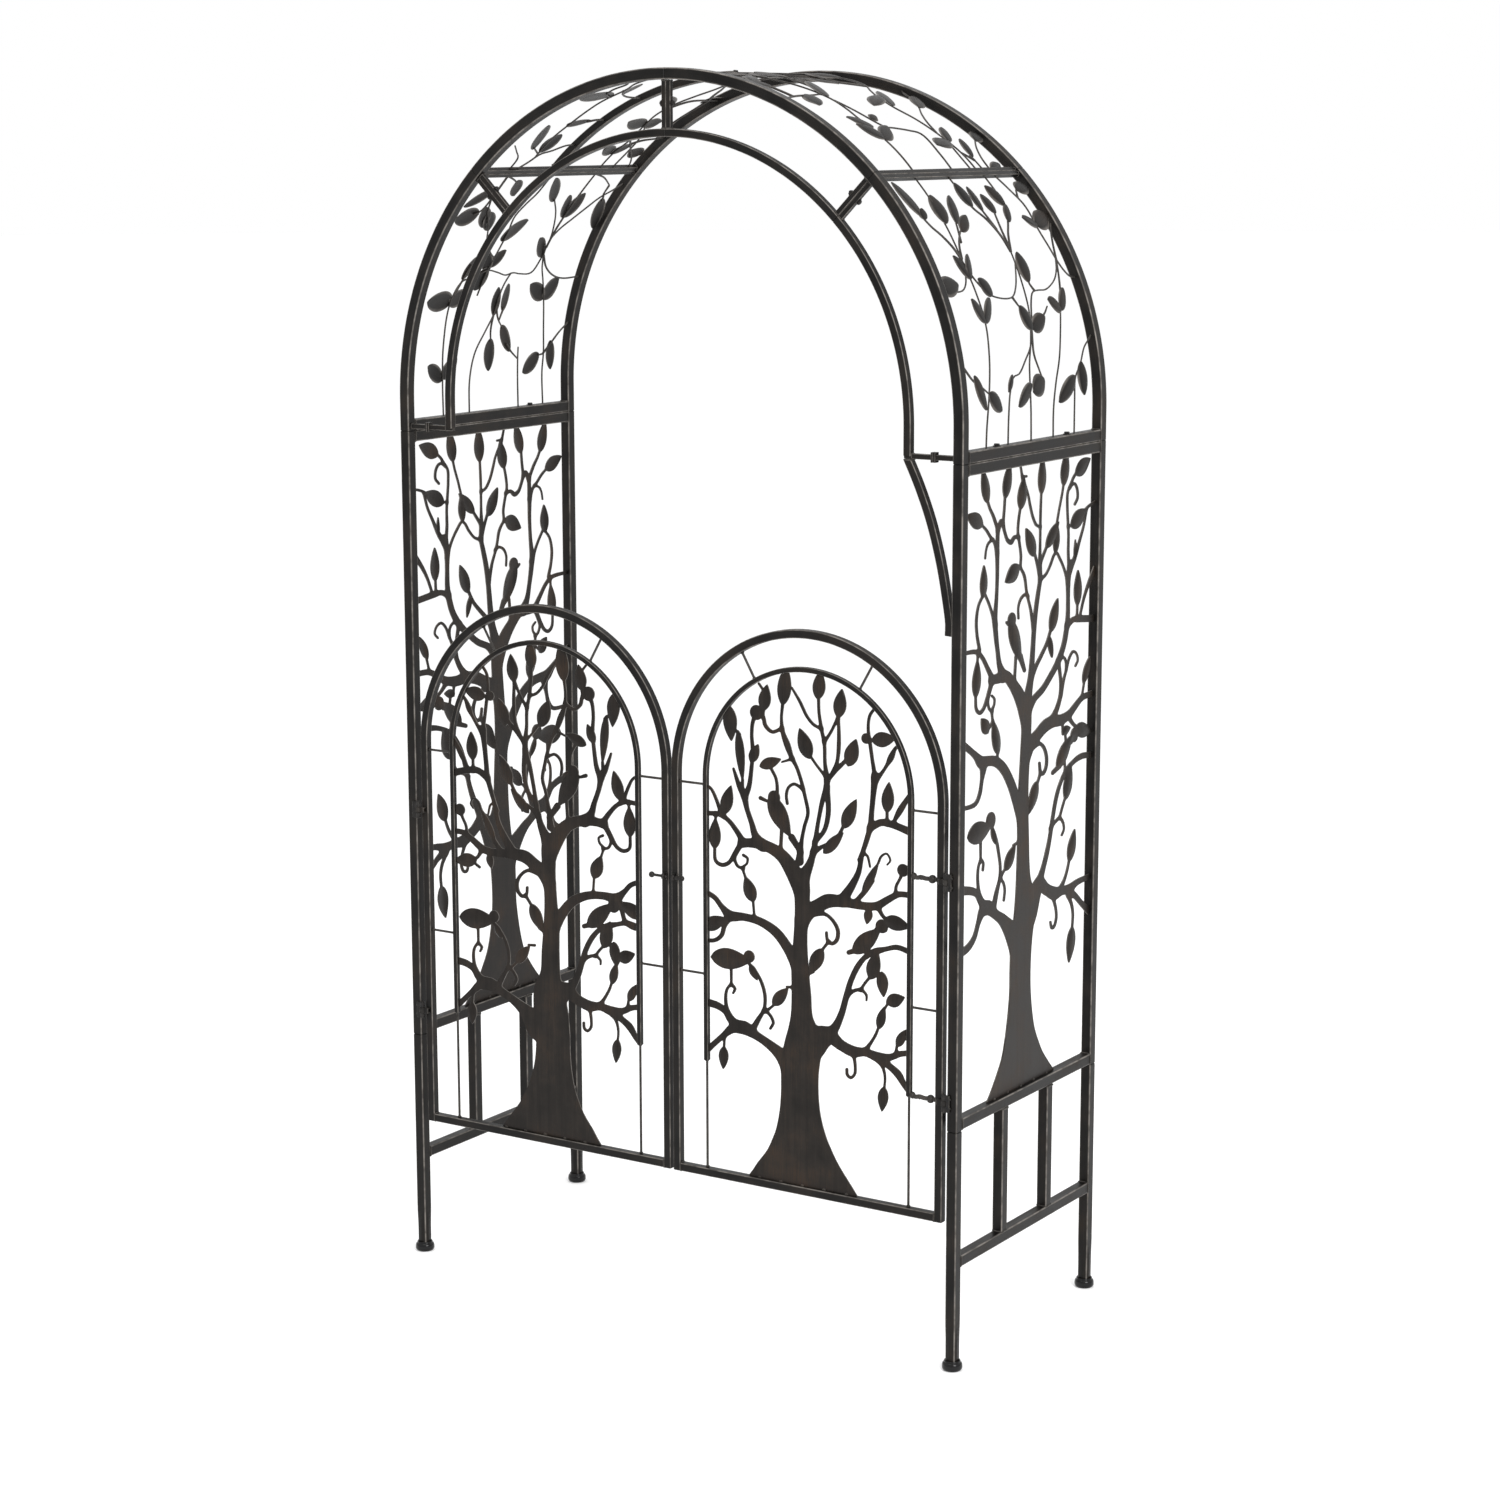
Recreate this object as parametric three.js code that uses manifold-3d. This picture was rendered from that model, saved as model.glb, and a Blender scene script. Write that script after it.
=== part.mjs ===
// A walk-through metal garden arch: four posts, two tree panels, a four-part arch with leafy
// vines, and a pair of arched gates that swing on pin hinges and close with a slide bolt.
// Millimetres, +Z up, front at -Y. The origin is on the ground, midway between the four feet.

import * as THREE from 'three';
import { mergeVertices } from 'three/addons/utils/BufferGeometryUtils.js';
import Module from 'manifold-3d';

const wasm = await Module();
wasm.setup();

// ---------------------------------------------------------------- driving dimensions

const SPAN = 1156;                  // left post centre to right post centre
const DEPTH = 496;                  // front post centre to back post centre
const GAP = 0.3;                    // clearance between pieces that touch

const TUBE = 20;                    // square tube of the posts, rails and outer arches
const INNER_TUBE = 14;              // tube of the inner arch, the brace and the crown rib
const TIE_TUBE = 9;                 // small square tube of the ties and paired crossbars
const SMALL_TUBE = 10;              // tube below this size is drawn with sharp corners

const FOOT_DIAMETER = 36;
const FOOT_HEIGHT = 18;
const FOOT_WALL = 2.5;
const SWAGE_DIAMETER = 24;          // the leg is drawn round at its lower end
const SWAGE_HEIGHT = 80;

const LOWER_RAIL_Z = 194;           // centre of the rail low down on each side
const JOINT_Z = 428;                // the legs end here and the upper posts begin
const PANEL_BOTTOM_Z = JOINT_Z + TUBE / 2 + 1;
const SPRING_Z = 1566;              // the side panels end here and the arch begins
const CROWN_Z = 2200;               // centreline of the outer arch at its top

const ARCH_RADIUS = SPAN / 2;
const ARCH_CENTRE_Z = CROWN_Z - ARCH_RADIUS;
const INNER_RADIUS = 479;
const ARCH_STEPS = 9;               // facets along 45 degrees of arch
const BRACE_STEPS = 14;             // facets along the brace
const BAR_SIDES = 12;               // sides of a pin, knuckle or sleeve
const LEG_SIDES = 16;               // sides of a leg's round end and its foot cap
const BOLT_SIDES = 10;              // sides of a bolt shank or a drilled hole
const ROD_SIDES = 8;                // sides of a gate's thin rods
const HEX_SIDES = 6;
const RIB_Y = -20;

const SHEET = 3;                    // thickness of the cut tree and vine sheets

const GATE_CLEARANCE = 3;           // half the slit between the closed gates
const GATE_TO_POST = 10;
const GATE_TUBE = 15;
const GATE_BOTTOM_Z = 262;
const GATE_TOP_Z = 1268;
const GATE_INNER_TUBE = 9;
const GATE_INNER_OFFSET = 62;       // outer centreline to inner centreline
const GATE_ROD = 4.5;
const GATE_STEPS = 18;              // facets along the half circle at the top of a gate

const HINGE_Z = [478, 863];
const HINGE_DIAMETER = 9;
const HINGE_PIN = 5;
const HINGE_BORE = 5.3;
const HINGE_EYE_HEIGHT = 10;
const HINGE_HEIGHT = 30;

const LATCH_Z = 804;
const BOLT_DIAMETER = 5;
const BOLT_BORE = 5.3;

// ---------------------------------------------------------------- derived places

const POST_X = SPAN / 2;
const POST_Y = DEPTH / 2;
const GATE_OUTER_X = POST_X - TUBE / 2 - GATE_TO_POST;
const GATE_WIDTH = GATE_OUTER_X - GATE_CLEARANCE;
const GATE_CENTRE_X = GATE_CLEARANCE + GATE_WIDTH / 2;
const GATE_RADIUS = (GATE_WIDTH - GATE_TUBE) / 2;
const GATE_SPRING_Z = GATE_TOP_Z - GATE_WIDTH / 2;
const GATE_INNER_RADIUS = GATE_RADIUS - GATE_INNER_OFFSET;
const GATE_FLOOR_Z = GATE_BOTTOM_Z + GATE_TUBE;
const GATE_FRONT_Y = -POST_Y - GATE_TUBE / 2;
const HINGE_X = POST_X - TUBE / 2 - GATE_TO_POST / 2;
const HINGE_Y = -POST_Y - TUBE / 2 - 1;
const LATCH_Y = GATE_FRONT_Y - 4.5;
const PANEL_FLOOR_Z = PANEL_BOTTOM_Z + TUBE / 2;
const PANEL_TOP_Z = SPRING_Z - GAP - TUBE;
const STUB = ARCH_CENTRE_Z - SPRING_Z;

// ---------------------------------------------------------------- finishes

const BRONZE = { color: 0x3b3531, roughness: 0.55, metalness: 0.6 };
const BRONZE_SHEET = { color: 0x413a35, roughness: 0.5, metalness: 0.6 };
const BLACK_CAP = { color: 0x0b0b0c, roughness: 0.22, metalness: 0.1 };
const STEEL = { color: 0x2a2725, roughness: 0.45, metalness: 0.8 };

const model = new THREE.Group();

function addPiece(name, geometry, finish, parent = model) {
  const mesh = new THREE.Mesh(geometry, new THREE.MeshStandardMaterial(finish));
  mesh.name = name;
  parent.add(mesh);
  return mesh;
}

// ---------------------------------------------------------------- solids

function toSolid(geometry) {
  const bare = geometry.clone();
  bare.deleteAttribute('normal');
  bare.deleteAttribute('uv');
  const merged = mergeVertices(bare, 1e-3);
  return new wasm.Manifold(new wasm.Mesh({
    numProp: 3,
    vertProperties: new Float32Array(merged.attributes.position.array),
    triVerts: new Uint32Array(merged.index.array),
  }));
}

function toGeometry(solid) {
  const mesh = solid.getMesh();
  const geometry = new THREE.BufferGeometry();
  geometry.setAttribute('position', new THREE.BufferAttribute(mesh.vertProperties, 3));
  geometry.setIndex(new THREE.BufferAttribute(mesh.triVerts, 1));
  return geometry;
}

function join(solids) {
  return solids.reduce((whole, solid) => whole.add(solid));
}

function box(sizeX, sizeY, sizeZ, x, y, z) {
  const geometry = new THREE.BoxGeometry(sizeX, sizeY, sizeZ);
  geometry.translate(x, y, z);
  return geometry;
}

function roundBar(diameter, length, sides = BAR_SIDES) {
  return new THREE.CylinderGeometry(diameter / 2, diameter / 2, length, sides);
}

// Square tube: its corners are cut off, except on the smallest sizes.
function squareSection(size) {
  const outside = size / 2;
  const inside = size < SMALL_TUBE ? outside : outside - size / 6;
  const corners = [
    [outside, -inside], [outside, inside], [inside, outside], [-inside, outside],
    [-outside, inside], [-outside, -inside], [-inside, -outside], [inside, -outside],
  ];
  const points = size < SMALL_TUBE ? corners.filter((corner, index) => index % 2 === 0) : corners;
  return new THREE.Shape(points.map(([x, y]) => new THREE.Vector2(x, y)));
}

// A tube from one point to another, both on a line along X, Y or Z.
function straightTube(size, from, to) {
  const start = new THREE.Vector3(...from);
  const along = new THREE.Vector3(...to).sub(start);
  const geometry = new THREE.ExtrudeGeometry(squareSection(size), {
    depth: along.length(),
    bevelEnabled: false,
  });
  const up = new THREE.Vector3(0, 0, 1);
  const turn = new THREE.Quaternion().setFromUnitVectors(up, along.clone().normalize());
  geometry.applyQuaternion(turn);
  geometry.translate(start.x, start.y, start.z);
  return geometry;
}

// An arch's centreline in the XZ plane: a circle about the arch centre, angles in degrees from
// +X, with a straight stub down to the spring line at an end that reaches 0 or 180 degrees.
class ArchLine extends THREE.Curve {
  constructor(radius, fromDegrees, toDegrees, y, stubLength = 0) {
    super();
    this.radius = radius;
    this.from = THREE.MathUtils.degToRad(fromDegrees);
    this.to = THREE.MathUtils.degToRad(toDegrees);
    this.y = y;
    this.stub = stubLength;
    this.arc = Math.abs(this.to - this.from) * radius;
  }

  getPoint(t, target = new THREE.Vector3()) {
    const along = t * (this.arc + this.stub) - this.stub;
    const angle = this.from + (this.to - this.from) * Math.max(along, 0) / this.arc;
    const drop = Math.min(along, 0);
    return target.set(
      this.radius * Math.cos(angle),
      this.y,
      ARCH_CENTRE_Z + this.radius * Math.sin(angle) + drop,
    );
  }
}

function tubeAlong(curve, section, steps) {
  return new THREE.ExtrudeGeometry(section, { steps, extrudePath: curve, bevelEnabled: false });
}

// ---------------------------------------------------------------- cut sheet metal

const CUT_TOLERANCE = 5;
const TWIG_TOLERANCE = 9;
const TWIG_WIDTH = 9;
const THIN_STROKE = 6;                 // a stroke end this narrow is cut to a point
const POINT_REACH = 6;                 // how far a point reaches into its neighbour
const SAMPLES_PER_SPAN = 6;            // points tried between two knots of a smooth line

// Keeps the points of a smooth line that lie further than the tolerance from its chords.
function thinOut(points, tolerance) {
  const first = points[0];
  const last = points[points.length - 1];
  const span = [last[0] - first[0], last[1] - first[1], last[2] - first[2]];
  const lengthSquared = Math.max(span[0] ** 2 + span[1] ** 2, 1e-9);
  let furthest = 0;
  let split = 0;
  points.forEach((point, index) => {
    const along = ((point[0] - first[0]) * span[0] + (point[1] - first[1]) * span[1]) / lengthSquared;
    const t = THREE.MathUtils.clamp(along, 0, 1);
    const distance = Math.hypot(
      point[0] - first[0] - span[0] * t,
      point[1] - first[1] - span[1] * t,
      (point[2] - first[2] - span[2] * t) / 2,
    );
    if (distance > furthest) {
      furthest = distance;
      split = index;
    }
  });
  if (furthest < tolerance) {
    return [first, last];
  }
  const before = thinOut(points.slice(0, split + 1), tolerance);
  const after = thinOut(points.slice(split), tolerance);
  return before.concat(after.slice(1));
}

function middleOf([a, b]) {
  return a.map((value, axis) => (value + b[axis]) / 2);
}

// A stroke follows a smooth line through [across, up, width] points.
function strokeShape(points) {
  const knots = points.map((point) => new THREE.Vector3(...point));
  const line = new THREE.CatmullRomCurve3(knots, false, 'centripetal');
  const fine = line.getPoints((points.length - 1) * SAMPLES_PER_SPAN).map((p) => [p.x, p.y, p.z]);
  const isTwig = points.every((point) => point[2] <= TWIG_WIDTH);
  const thin = points.length > 2 ? thinOut(fine, isTwig ? TWIG_TOLERANCE : CUT_TOLERANCE) : points;
  const tooShort = thin.length === 2 && Math.max(thin[0][2], thin[1][2]) <= THIN_STROKE;
  const kept = tooShort ? [thin[0], middleOf(thin), thin[1]] : thin;
  const left = [];
  const right = [];
  const last = kept.length - 1;
  kept.forEach((point, index) => {
    const ahead = kept[Math.min(index + 1, last)];
    const behind = kept[Math.max(index - 1, 0)];
    const length = Math.hypot(ahead[0] - behind[0], ahead[1] - behind[1]);
    const tx = (ahead[0] - behind[0]) / length;
    const ty = (ahead[1] - behind[1]) / length;
    if ((index === 0 || index === last) && point[2] <= THIN_STROKE) {
      const reach = index === 0 ? -POINT_REACH : POINT_REACH;
      left.push(new THREE.Vector2(point[0] + tx * reach, point[1] + ty * reach));
      return;
    }
    left.push(new THREE.Vector2(point[0] - ty * point[2] / 2, point[1] + tx * point[2] / 2));
    right.push(new THREE.Vector2(point[0] + ty * point[2] / 2, point[1] - tx * point[2] / 2));
  });
  return new THREE.Shape(left.concat(right.reverse()));
}

// A leaf grows from its stem end [across, up] at an angle in degrees, with a length and width.
function leafShape([x, y, degrees, length, width]) {
  const outline = [[-0.1, 0], [0.3, 0.47], [0.66, 0.38], [1, 0], [0.45, -0.52]];
  const angle = THREE.MathUtils.degToRad(degrees);
  const cos = Math.cos(angle);
  const sin = Math.sin(angle);
  return new THREE.Shape(outline.map(([along, side]) => new THREE.Vector2(
    x + along * length * cos - side * width * sin,
    y + along * length * sin + side * width * cos,
  )));
}

// A plate cut to a pattern of strokes and leaves, centred on Z = 0 of its own plane.
function cutSheet(pattern) {
  const shapes = [
    ...pattern.strokes.map(strokeShape),
    ...pattern.leaves.map(leafShape),
  ];
  const solids = shapes.map((shape) => {
    const plate = new THREE.ExtrudeGeometry(shape, { depth: SHEET, bevelEnabled: false });
    plate.translate(0, 0, -SHEET / 2);
    return toSolid(plate);
  });
  return join(solids);
}

// The gate's tree, seen from the front: across from the gate's middle, up from its bottom rail.
const GATE_CROWN = {
  strokes: [
    // trunk
    [[-7, -14, 250], [-7, 0, 226], [-7, 14, 205], [-8, 27, 186], [-8, 53, 146], [-9, 75, 122],
      [-10, 95, 104], [-12, 130, 85], [-13, 165, 77],
      [-13, 205, 76], [-8, 250, 76], [-5, 285, 62], [-9, 310, 44], [-10, 350, 39], [-13, 400, 34],
      [-12, 450, 27], [-9, 500, 28], [-9, 540, 32], [-12, 572, 30]],
    // second left limb
    [[-20, 400, 24], [-38, 427, 20], [-62, 452, 18], [-95, 467, 15], [-130, 471, 14], [-158, 470, 18],
      [-176, 484, 10], [-190, 498, 9], [-214, 508, 9]],
    [[-160, 468, 16], [-170, 450, 9], [-176, 432, 8], [-190, 421, 7], [-212, 418, 7]],
    [[-126, 543, 4], [-131, 560, 4], [-123, 567, 4], [-121, 577, 4], [-130, 582, 5]],
    [[-129, 558, 4], [-142, 561, 5], [-148, 574, 5], [-143, 588, 6], [-134, 602, 7]],
    [[-134, 602, 9], [-148, 582, 8], [-160, 565, 7], [-175, 559, 7], [-188, 565, 6], [-190, 590, 5]],
    // high left limb, towards the top left
    [[-12, 535, 30], [-30, 568, 30], [-50, 590, 24], [-75, 602, 20], [-100, 606, 18], [-134, 604, 14]],
    [[-90, 604, 22], [-105, 620, 14], [-112, 640, 10], [-122, 665, 9], [-128, 687, 12], [-138, 704, 9],
      [-150, 734, 4]],
    [[-126, 688, 12], [-118, 705, 9], [-113, 735, 7], [-110, 770, 7], [-112, 800, 6], [-108, 825, 7],
      [-98, 836, 9], [-88, 830, 7], [-84, 817, 7], [-70, 807, 6], [-50, 815, 6]],
    [[-128, 603, 12], [-145, 625, 9], [-160, 640, 8], [-178, 649, 8], [-214, 648, 8]],
    [[-90, 832, 5], [-86, 848, 5]],
    [[-150, 806, 5], [-137, 796, 5]],
    [[-131, 716, 5], [-132, 700, 6]],
    // middle left twig with the first bird beside it
    [[-14, 585, 16], [-10, 620, 7], [-4, 648, 6], [3, 672, 6], [-3, 700, 6], [-10, 725, 6],
      [-20, 750, 6],
      [-30, 766, 8], [-39, 787, 12], [-48, 808, 8], [-51, 832, 5], [-47, 868, 6]],
    [[-50, 645, 6], [-53, 594, 6]],
    [[-66, 686, 5], [-60, 700, 6], [-62, 725, 5], [-72, 742, 5]],
    // middle stem
    [[-4, 560, 22], [10, 590, 13], [17, 620, 9], [23, 655, 7], [31, 692, 8], [41, 728, 10],
      [37, 765, 6],
      [36, 795, 6], [30, 822, 6], [25, 850, 5], [24, 880, 5]],
    [[41, 732, 8], [58, 752, 8], [72, 765, 7], [86, 780, 6]],
    [[64, 848, 4], [65, 800, 7], [62, 770, 6], [54, 750, 6]],
    [[8, 772, 4], [20, 758, 4], [40, 738, 5]],
    [[14, 604, 11], [35, 618, 6], [50, 625, 6], [65, 640, 6], [76, 660, 5]],
    // high right limb
    [[-9, 478, 26], [5, 497, 26], [25, 511, 24], [45, 522, 24], [80, 524, 18], [110, 522, 14],
      [140, 525, 14],
      [165, 540, 12], [185, 551, 10], [214, 552, 10]],
    [[145, 522, 8], [155, 508, 6], [168, 503, 5]],
    [[150, 490, 5], [168, 500, 4]],
    [[127, 524, 5], [126, 510, 5]],
    [[200, 497, 5], [214, 493, 5]],
    [[72, 526, 20], [92, 555, 14], [105, 580, 10], [112, 612, 8], [120, 635, 9],
      [128, 662, 10], [131, 692, 9],
      [134, 722, 10], [137, 750, 15]],
    [[137, 750, 8], [132, 775, 6], [127, 805, 6], [123, 832, 5], [126, 854, 5], [136, 868, 5]],
    [[128, 660, 12], [150, 672, 12], [175, 670, 12], [214, 660, 14]],
    [[161, 670, 5], [161, 696, 5]],
    [[100, 528, 8], [118, 548, 9], [132, 568, 9]],
  ],
  leaves: [
    [-214, 442, 24, 54, 26], [-109, 502, 112, 46, 26], [-190, 588, 88, 54, 25], [-170, 652, 74, 54, 24],
    [-158, 842, -86, 60, 27], [-140, 800, -84, 88, 18], [-113, 750, 66, 36, 19], [-88, 844, 80, 46, 25],
    [-48, 858, 84, 70, 27], [-94, 744, 22, 46, 20], [-74, 692, -58, 78, 34], [23, 874, 84, 50, 25],
    [6, 769, 112, 54, 28], [64, 846, 82, 50, 25], [84, 764, 72, 50, 27], [75, 655, 64, 58, 25],
    [36, 606, 46, 56, 20], [32, 434, -118, 54, 25], [158, 503, -8, 50, 26], [127, 518, -100, 28, 17],
    [114, 544, 62, 66, 15], [132, 812, 10, 46, 26], [161, 692, 86, 52, 24],
  ],
};

const GATE_LOW_LIMBS = {
  strokes: [
    // low left limb, its curl and its twigs
    [[-20, 205, 56], [-52, 232, 26], [-78, 248, 17], [-102, 259, 16], [-130, 270, 25], [-152, 266, 18],
      [-172, 250, 11], [-192, 232, 10], [-214, 211, 12]],
    [[-140, 270, 20], [-158, 281, 14], [-168, 294, 12], [-184, 302, 13], [-214, 306, 14]],
    [[-112, 268, 12], [-99, 290, 9], [-88, 308, 6], [-85, 330, 6], [-90, 352, 6],
      [-103, 374, 5], [-122, 391, 5]],
    [[-88, 306, 6], [-78, 311, 5], [-64, 323, 4]],
    [[-170, 252, 4], [-172, 226, 4]],
    // low right limb
    [[10, 262, 60], [45, 282, 30], [70, 269, 20], [95, 261, 20], [120, 263, 14],
      [150, 258, 18], [170, 262, 12],
      [190, 271, 10], [214, 276, 10]],
    [[150, 256, 16], [170, 245, 12], [186, 234, 14], [200, 215, 10], [214, 204, 14]],
    [[118, 264, 10], [130, 280, 6], [141, 298, 5], [148, 316, 4]],
    [[157, 344, 4], [168, 362, 4]],
    [[148, 252, 6], [157, 238, 5], [160, 222, 4], [158, 202, 4]],
    [[184, 288, 4], [180, 266, 5]],
  ],
  leaves: [
    [-196, 390, 2, 82, 38], [-116, 386, -60, 30, 14], [-68, 321, 48, 46, 22], [-172, 228, -92, 41, 20],
    [147, 310, 75, 42, 17], [163, 358, 22, 38, 24], [184, 284, 62, 36, 17], [158, 206, -95, 44, 20],
  ],
};

const GATE_MIDDLE_LIMB = {
  strokes: [
    // middle right limb with the second bird on it
    [[40, 276, 26], [60, 300, 16], [72, 325, 12], [80, 352, 11], [90, 385, 10],
      [105, 415, 10], [122, 435, 9],
      [140, 445, 12], [160, 452, 8], [183, 458, 9], [214, 451, 9]],
    [[136, 404, 5], [152, 400, 6]],
    [[140, 480, 10], [152, 492, 11], [160, 484, 4]],
    [[123, 434, 5], [124, 458, 5]],
  ],
  leaves: [
    [130, 396, 74, 52, 27], [152, 410, -84, 44, 22], [96, 438, 42, 72, 30],
  ],
};

// The side panel's tree, seen from outside: across from the panel's middle, up from its rail.
const PANEL_TREE = {
  strokes: [
    // trunk
    [[-12, -14, 272], [-12, 0, 248], [-13, 20, 208], [-15, 45, 164], [-15, 65, 136],
      [-18, 95, 108], [-19, 130, 89],
      [-19, 175, 75], [-19, 220, 74], [-16, 260, 76], [-8, 300, 76], [-5, 338, 70], [-12, 372, 50],
      [-14, 400, 44], [-15, 450, 39], [-17, 490, 37], [-16, 540, 33], [-12, 590, 32], [-8, 640, 32],
      [-8, 700, 30]],
    // low left limb, its curl and its twigs
    [[-28, 262, 60], [-62, 295, 34], [-88, 317, 22], [-110, 330, 18], [-138, 348, 26], [-158, 346, 22],
      [-172, 328, 12], [-185, 306, 12], [-205, 293, 14], [-242, 286, 14]],
    [[-118, 345, 14], [-108, 370, 11], [-98, 390, 7], [-96, 410, 6], [-102, 435, 6], [-110, 458, 7],
      [-124, 482, 6], [-136, 492, 5]],
    [[-96, 390, 6], [-86, 400, 5], [-74, 407, 4]],
    // second left limb
    [[-129, 668, 4], [-132, 690, 5], [-125, 698, 4], [-124, 708, 4], [-133, 715, 4]],
    [[-131, 688, 5], [-141, 693, 5], [-147, 706, 5], [-143, 722, 6], [-134, 738, 7]],
    [[-134, 738, 9], [-150, 712, 8], [-162, 697, 7], [-175, 692, 7], [-187, 700, 6], [-190, 726, 5]],
    [[-150, 656, 5], [-128, 670, 5]],
    // high left limb
    [[-10, 650, 30], [-28, 690, 32], [-55, 720, 24], [-85, 742, 20], [-112, 742, 18], [-138, 742, 14]],
    [[-94, 743, 22], [-108, 765, 13], [-115, 790, 10], [-122, 820, 12], [-125, 845, 12], [-121, 880, 8],
      [-119, 920, 8], [-120, 960, 10], [-119, 1000, 8]],
    [[-124, 835, 12], [-135, 855, 6], [-148, 875, 5], [-166, 897, 5]],
    [[-120, 955, 8], [-130, 975, 6], [-145, 987, 5], [-160, 1000, 5], [-178, 1011, 4]],
    [[-119, 996, 7], [-135, 1020, 6], [-148, 1035, 5], [-158, 1052, 5]],
    [[-119, 994, 8], [-108, 1008, 10], [-101, 1002, 8], [-95, 990, 6], [-85, 975, 7], [-72, 970, 9],
      [-60, 977, 7], [-44, 975, 6]],
    [[-101, 1003, 6], [-97, 1030, 5], [-95, 1054, 5]],
    // middle left twigs with the first bird below them
    [[-50, 770, 6], [-53, 732, 6]],
    [[12, 812, 8], [2, 845, 6], [-8, 865, 5], [-15, 882, 5], [-22, 905, 6], [-35, 920, 5],
      [-50, 928, 5]],
    [[-38, 922, 5], [-36, 942, 5], [-42, 965, 5], [-48, 985, 5], [-46, 1005, 5], [-39, 1030, 5]],
    // middle stem
    [[-6, 690, 26], [5, 725, 18], [10, 760, 14], [14, 800, 12], [20, 840, 12], [28, 870, 11],
      [35, 895, 10],
      [33, 925, 9], [33, 950, 5], [33, 1010, 5], [35, 1050, 4]],
    [[34, 898, 8], [22, 925, 6], [10, 948, 5]],
    [[34, 894, 8], [55, 900, 5], [72, 915, 5], [84, 930, 5], [93, 934, 5], [107, 922, 5], [125, 900, 5],
      [140, 872, 7]],
    [[92, 980, 4], [102, 1010, 4], [112, 1035, 4], [118, 1056, 4]],
    [[8, 728, 14], [25, 745, 9], [45, 762, 8], [62, 778, 7], [78, 803, 6]],
    // high right limb and the loop of twigs above it
    [[-8, 590, 30], [10, 610, 28], [30, 620, 24], [60, 633, 24], [90, 637, 22],
      [120, 635, 20], [150, 640, 16],
      [175, 652, 13], [200, 663, 11], [242, 665, 11]],
    [[20, 605, 12], [42, 605, 7], [58, 595, 7], [68, 577, 8], [67, 560, 8], [57, 550, 7], [47, 552, 7],
      [42, 570, 6]],
    [[46, 552, 6], [38, 540, 6], [28, 526, 6]],
    [[150, 635, 10], [165, 622, 7], [184, 611, 6]],
    [[-6, 670, 26], [20, 688, 14], [50, 700, 13], [80, 720, 13], [105, 740, 14],
      [125, 765, 14], [135, 790, 14],
      [140, 815, 12], [140, 850, 10], [140, 885, 14], [148, 908, 16]],
    [[137, 800, 13], [160, 808, 10], [180, 807, 12], [242, 800, 12]],
    [[175, 808, 5], [176, 838, 5]],
    [[143, 895, 8], [138, 930, 6], [138, 960, 5], [135, 985, 5], [132, 1010, 5],
      [133, 1036, 5], [145, 1046, 5],
      [158, 1048, 5], [168, 1038, 5], [170, 1022, 5], [160, 1012, 5]],
    [[140, 1043, 5], [152, 1058, 5], [168, 1069, 5]],
    [[146, 900, 14], [165, 920, 9], [180, 945, 6], [195, 970, 5], [205, 998, 5]],
    [[196, 996, 5], [212, 1003, 5], [242, 1010, 4]],
    [[198, 662, 4], [204, 680, 4], [210, 700, 5]],
    // low right limb
    [[10, 310, 60], [48, 352, 30], [75, 338, 22], [105, 325, 24], [135, 324, 16], [165, 322, 18],
      [190, 328, 12],
      [242, 330, 10]],
    [[160, 316, 18], [185, 305, 12], [205, 290, 11], [242, 263, 12]],
    [[125, 326, 12], [145, 345, 7], [155, 362, 6], [162, 380, 6]],
    [[158, 310, 8], [172, 292, 7], [178, 272, 6], [175, 240, 5]],
    // middle right limb with the second bird on it
    [[42, 348, 26], [62, 380, 14], [75, 405, 13], [85, 430, 11], [95, 465, 10],
      [108, 500, 10], [125, 525, 9],
      [145, 540, 12], [165, 550, 9], [200, 557, 11], [242, 553, 10]],
    [[128, 608, 4], [126, 632, 5]],
    [[134, 574, 5], [140, 536, 5]],
  ],
  leaves: [
    [-210, 484, 4, 78, 38], [-128, 484, -64, 34, 13], [-79, 403, 47, 52, 25], [-109, 612, 108, 64, 27],
    [-146, 654, 130, 36, 24], [-190, 722, 85, 62, 26], [-168, 888, 88, 54, 25],
    [-174, 1010, 158, 56, 27],
    [-156, 1046, 108, 60, 26], [-95, 1048, 74, 60, 27], [-72, 835, -62, 87, 33],
    [-44, 925, 205, 52, 30],
    [-40, 1024, 78, 54, 28], [35, 1043, 88, 64, 28], [12, 938, 122, 60, 27], [56, 948, 42, 60, 23],
    [90, 935, 86, 52, 19], [116, 1050, 80, 60, 27], [77, 799, 66, 60, 28], [70, 790, -72, 42, 14],
    [34, 538, -120, 60, 29], [176, 610, -12, 62, 28], [176, 833, 90, 62, 26], [162, 1066, 22, 58, 29],
    [148, 975, 24, 60, 30], [164, 913, 90, 38, 9], [204, 690, 62, 50, 20], [160, 374, 70, 58, 29],
    [176, 248, -100, 64, 31], [142, 490, 72, 62, 31], [108, 552, 42, 74, 31], [126, 612, 8, 30, 17],
  ],
};

// The vines: across from front (-Y) to back (+Y), up along the arch from the spring line. Each
// stem is a smooth line of one width.
const STEM = 4;

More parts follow.
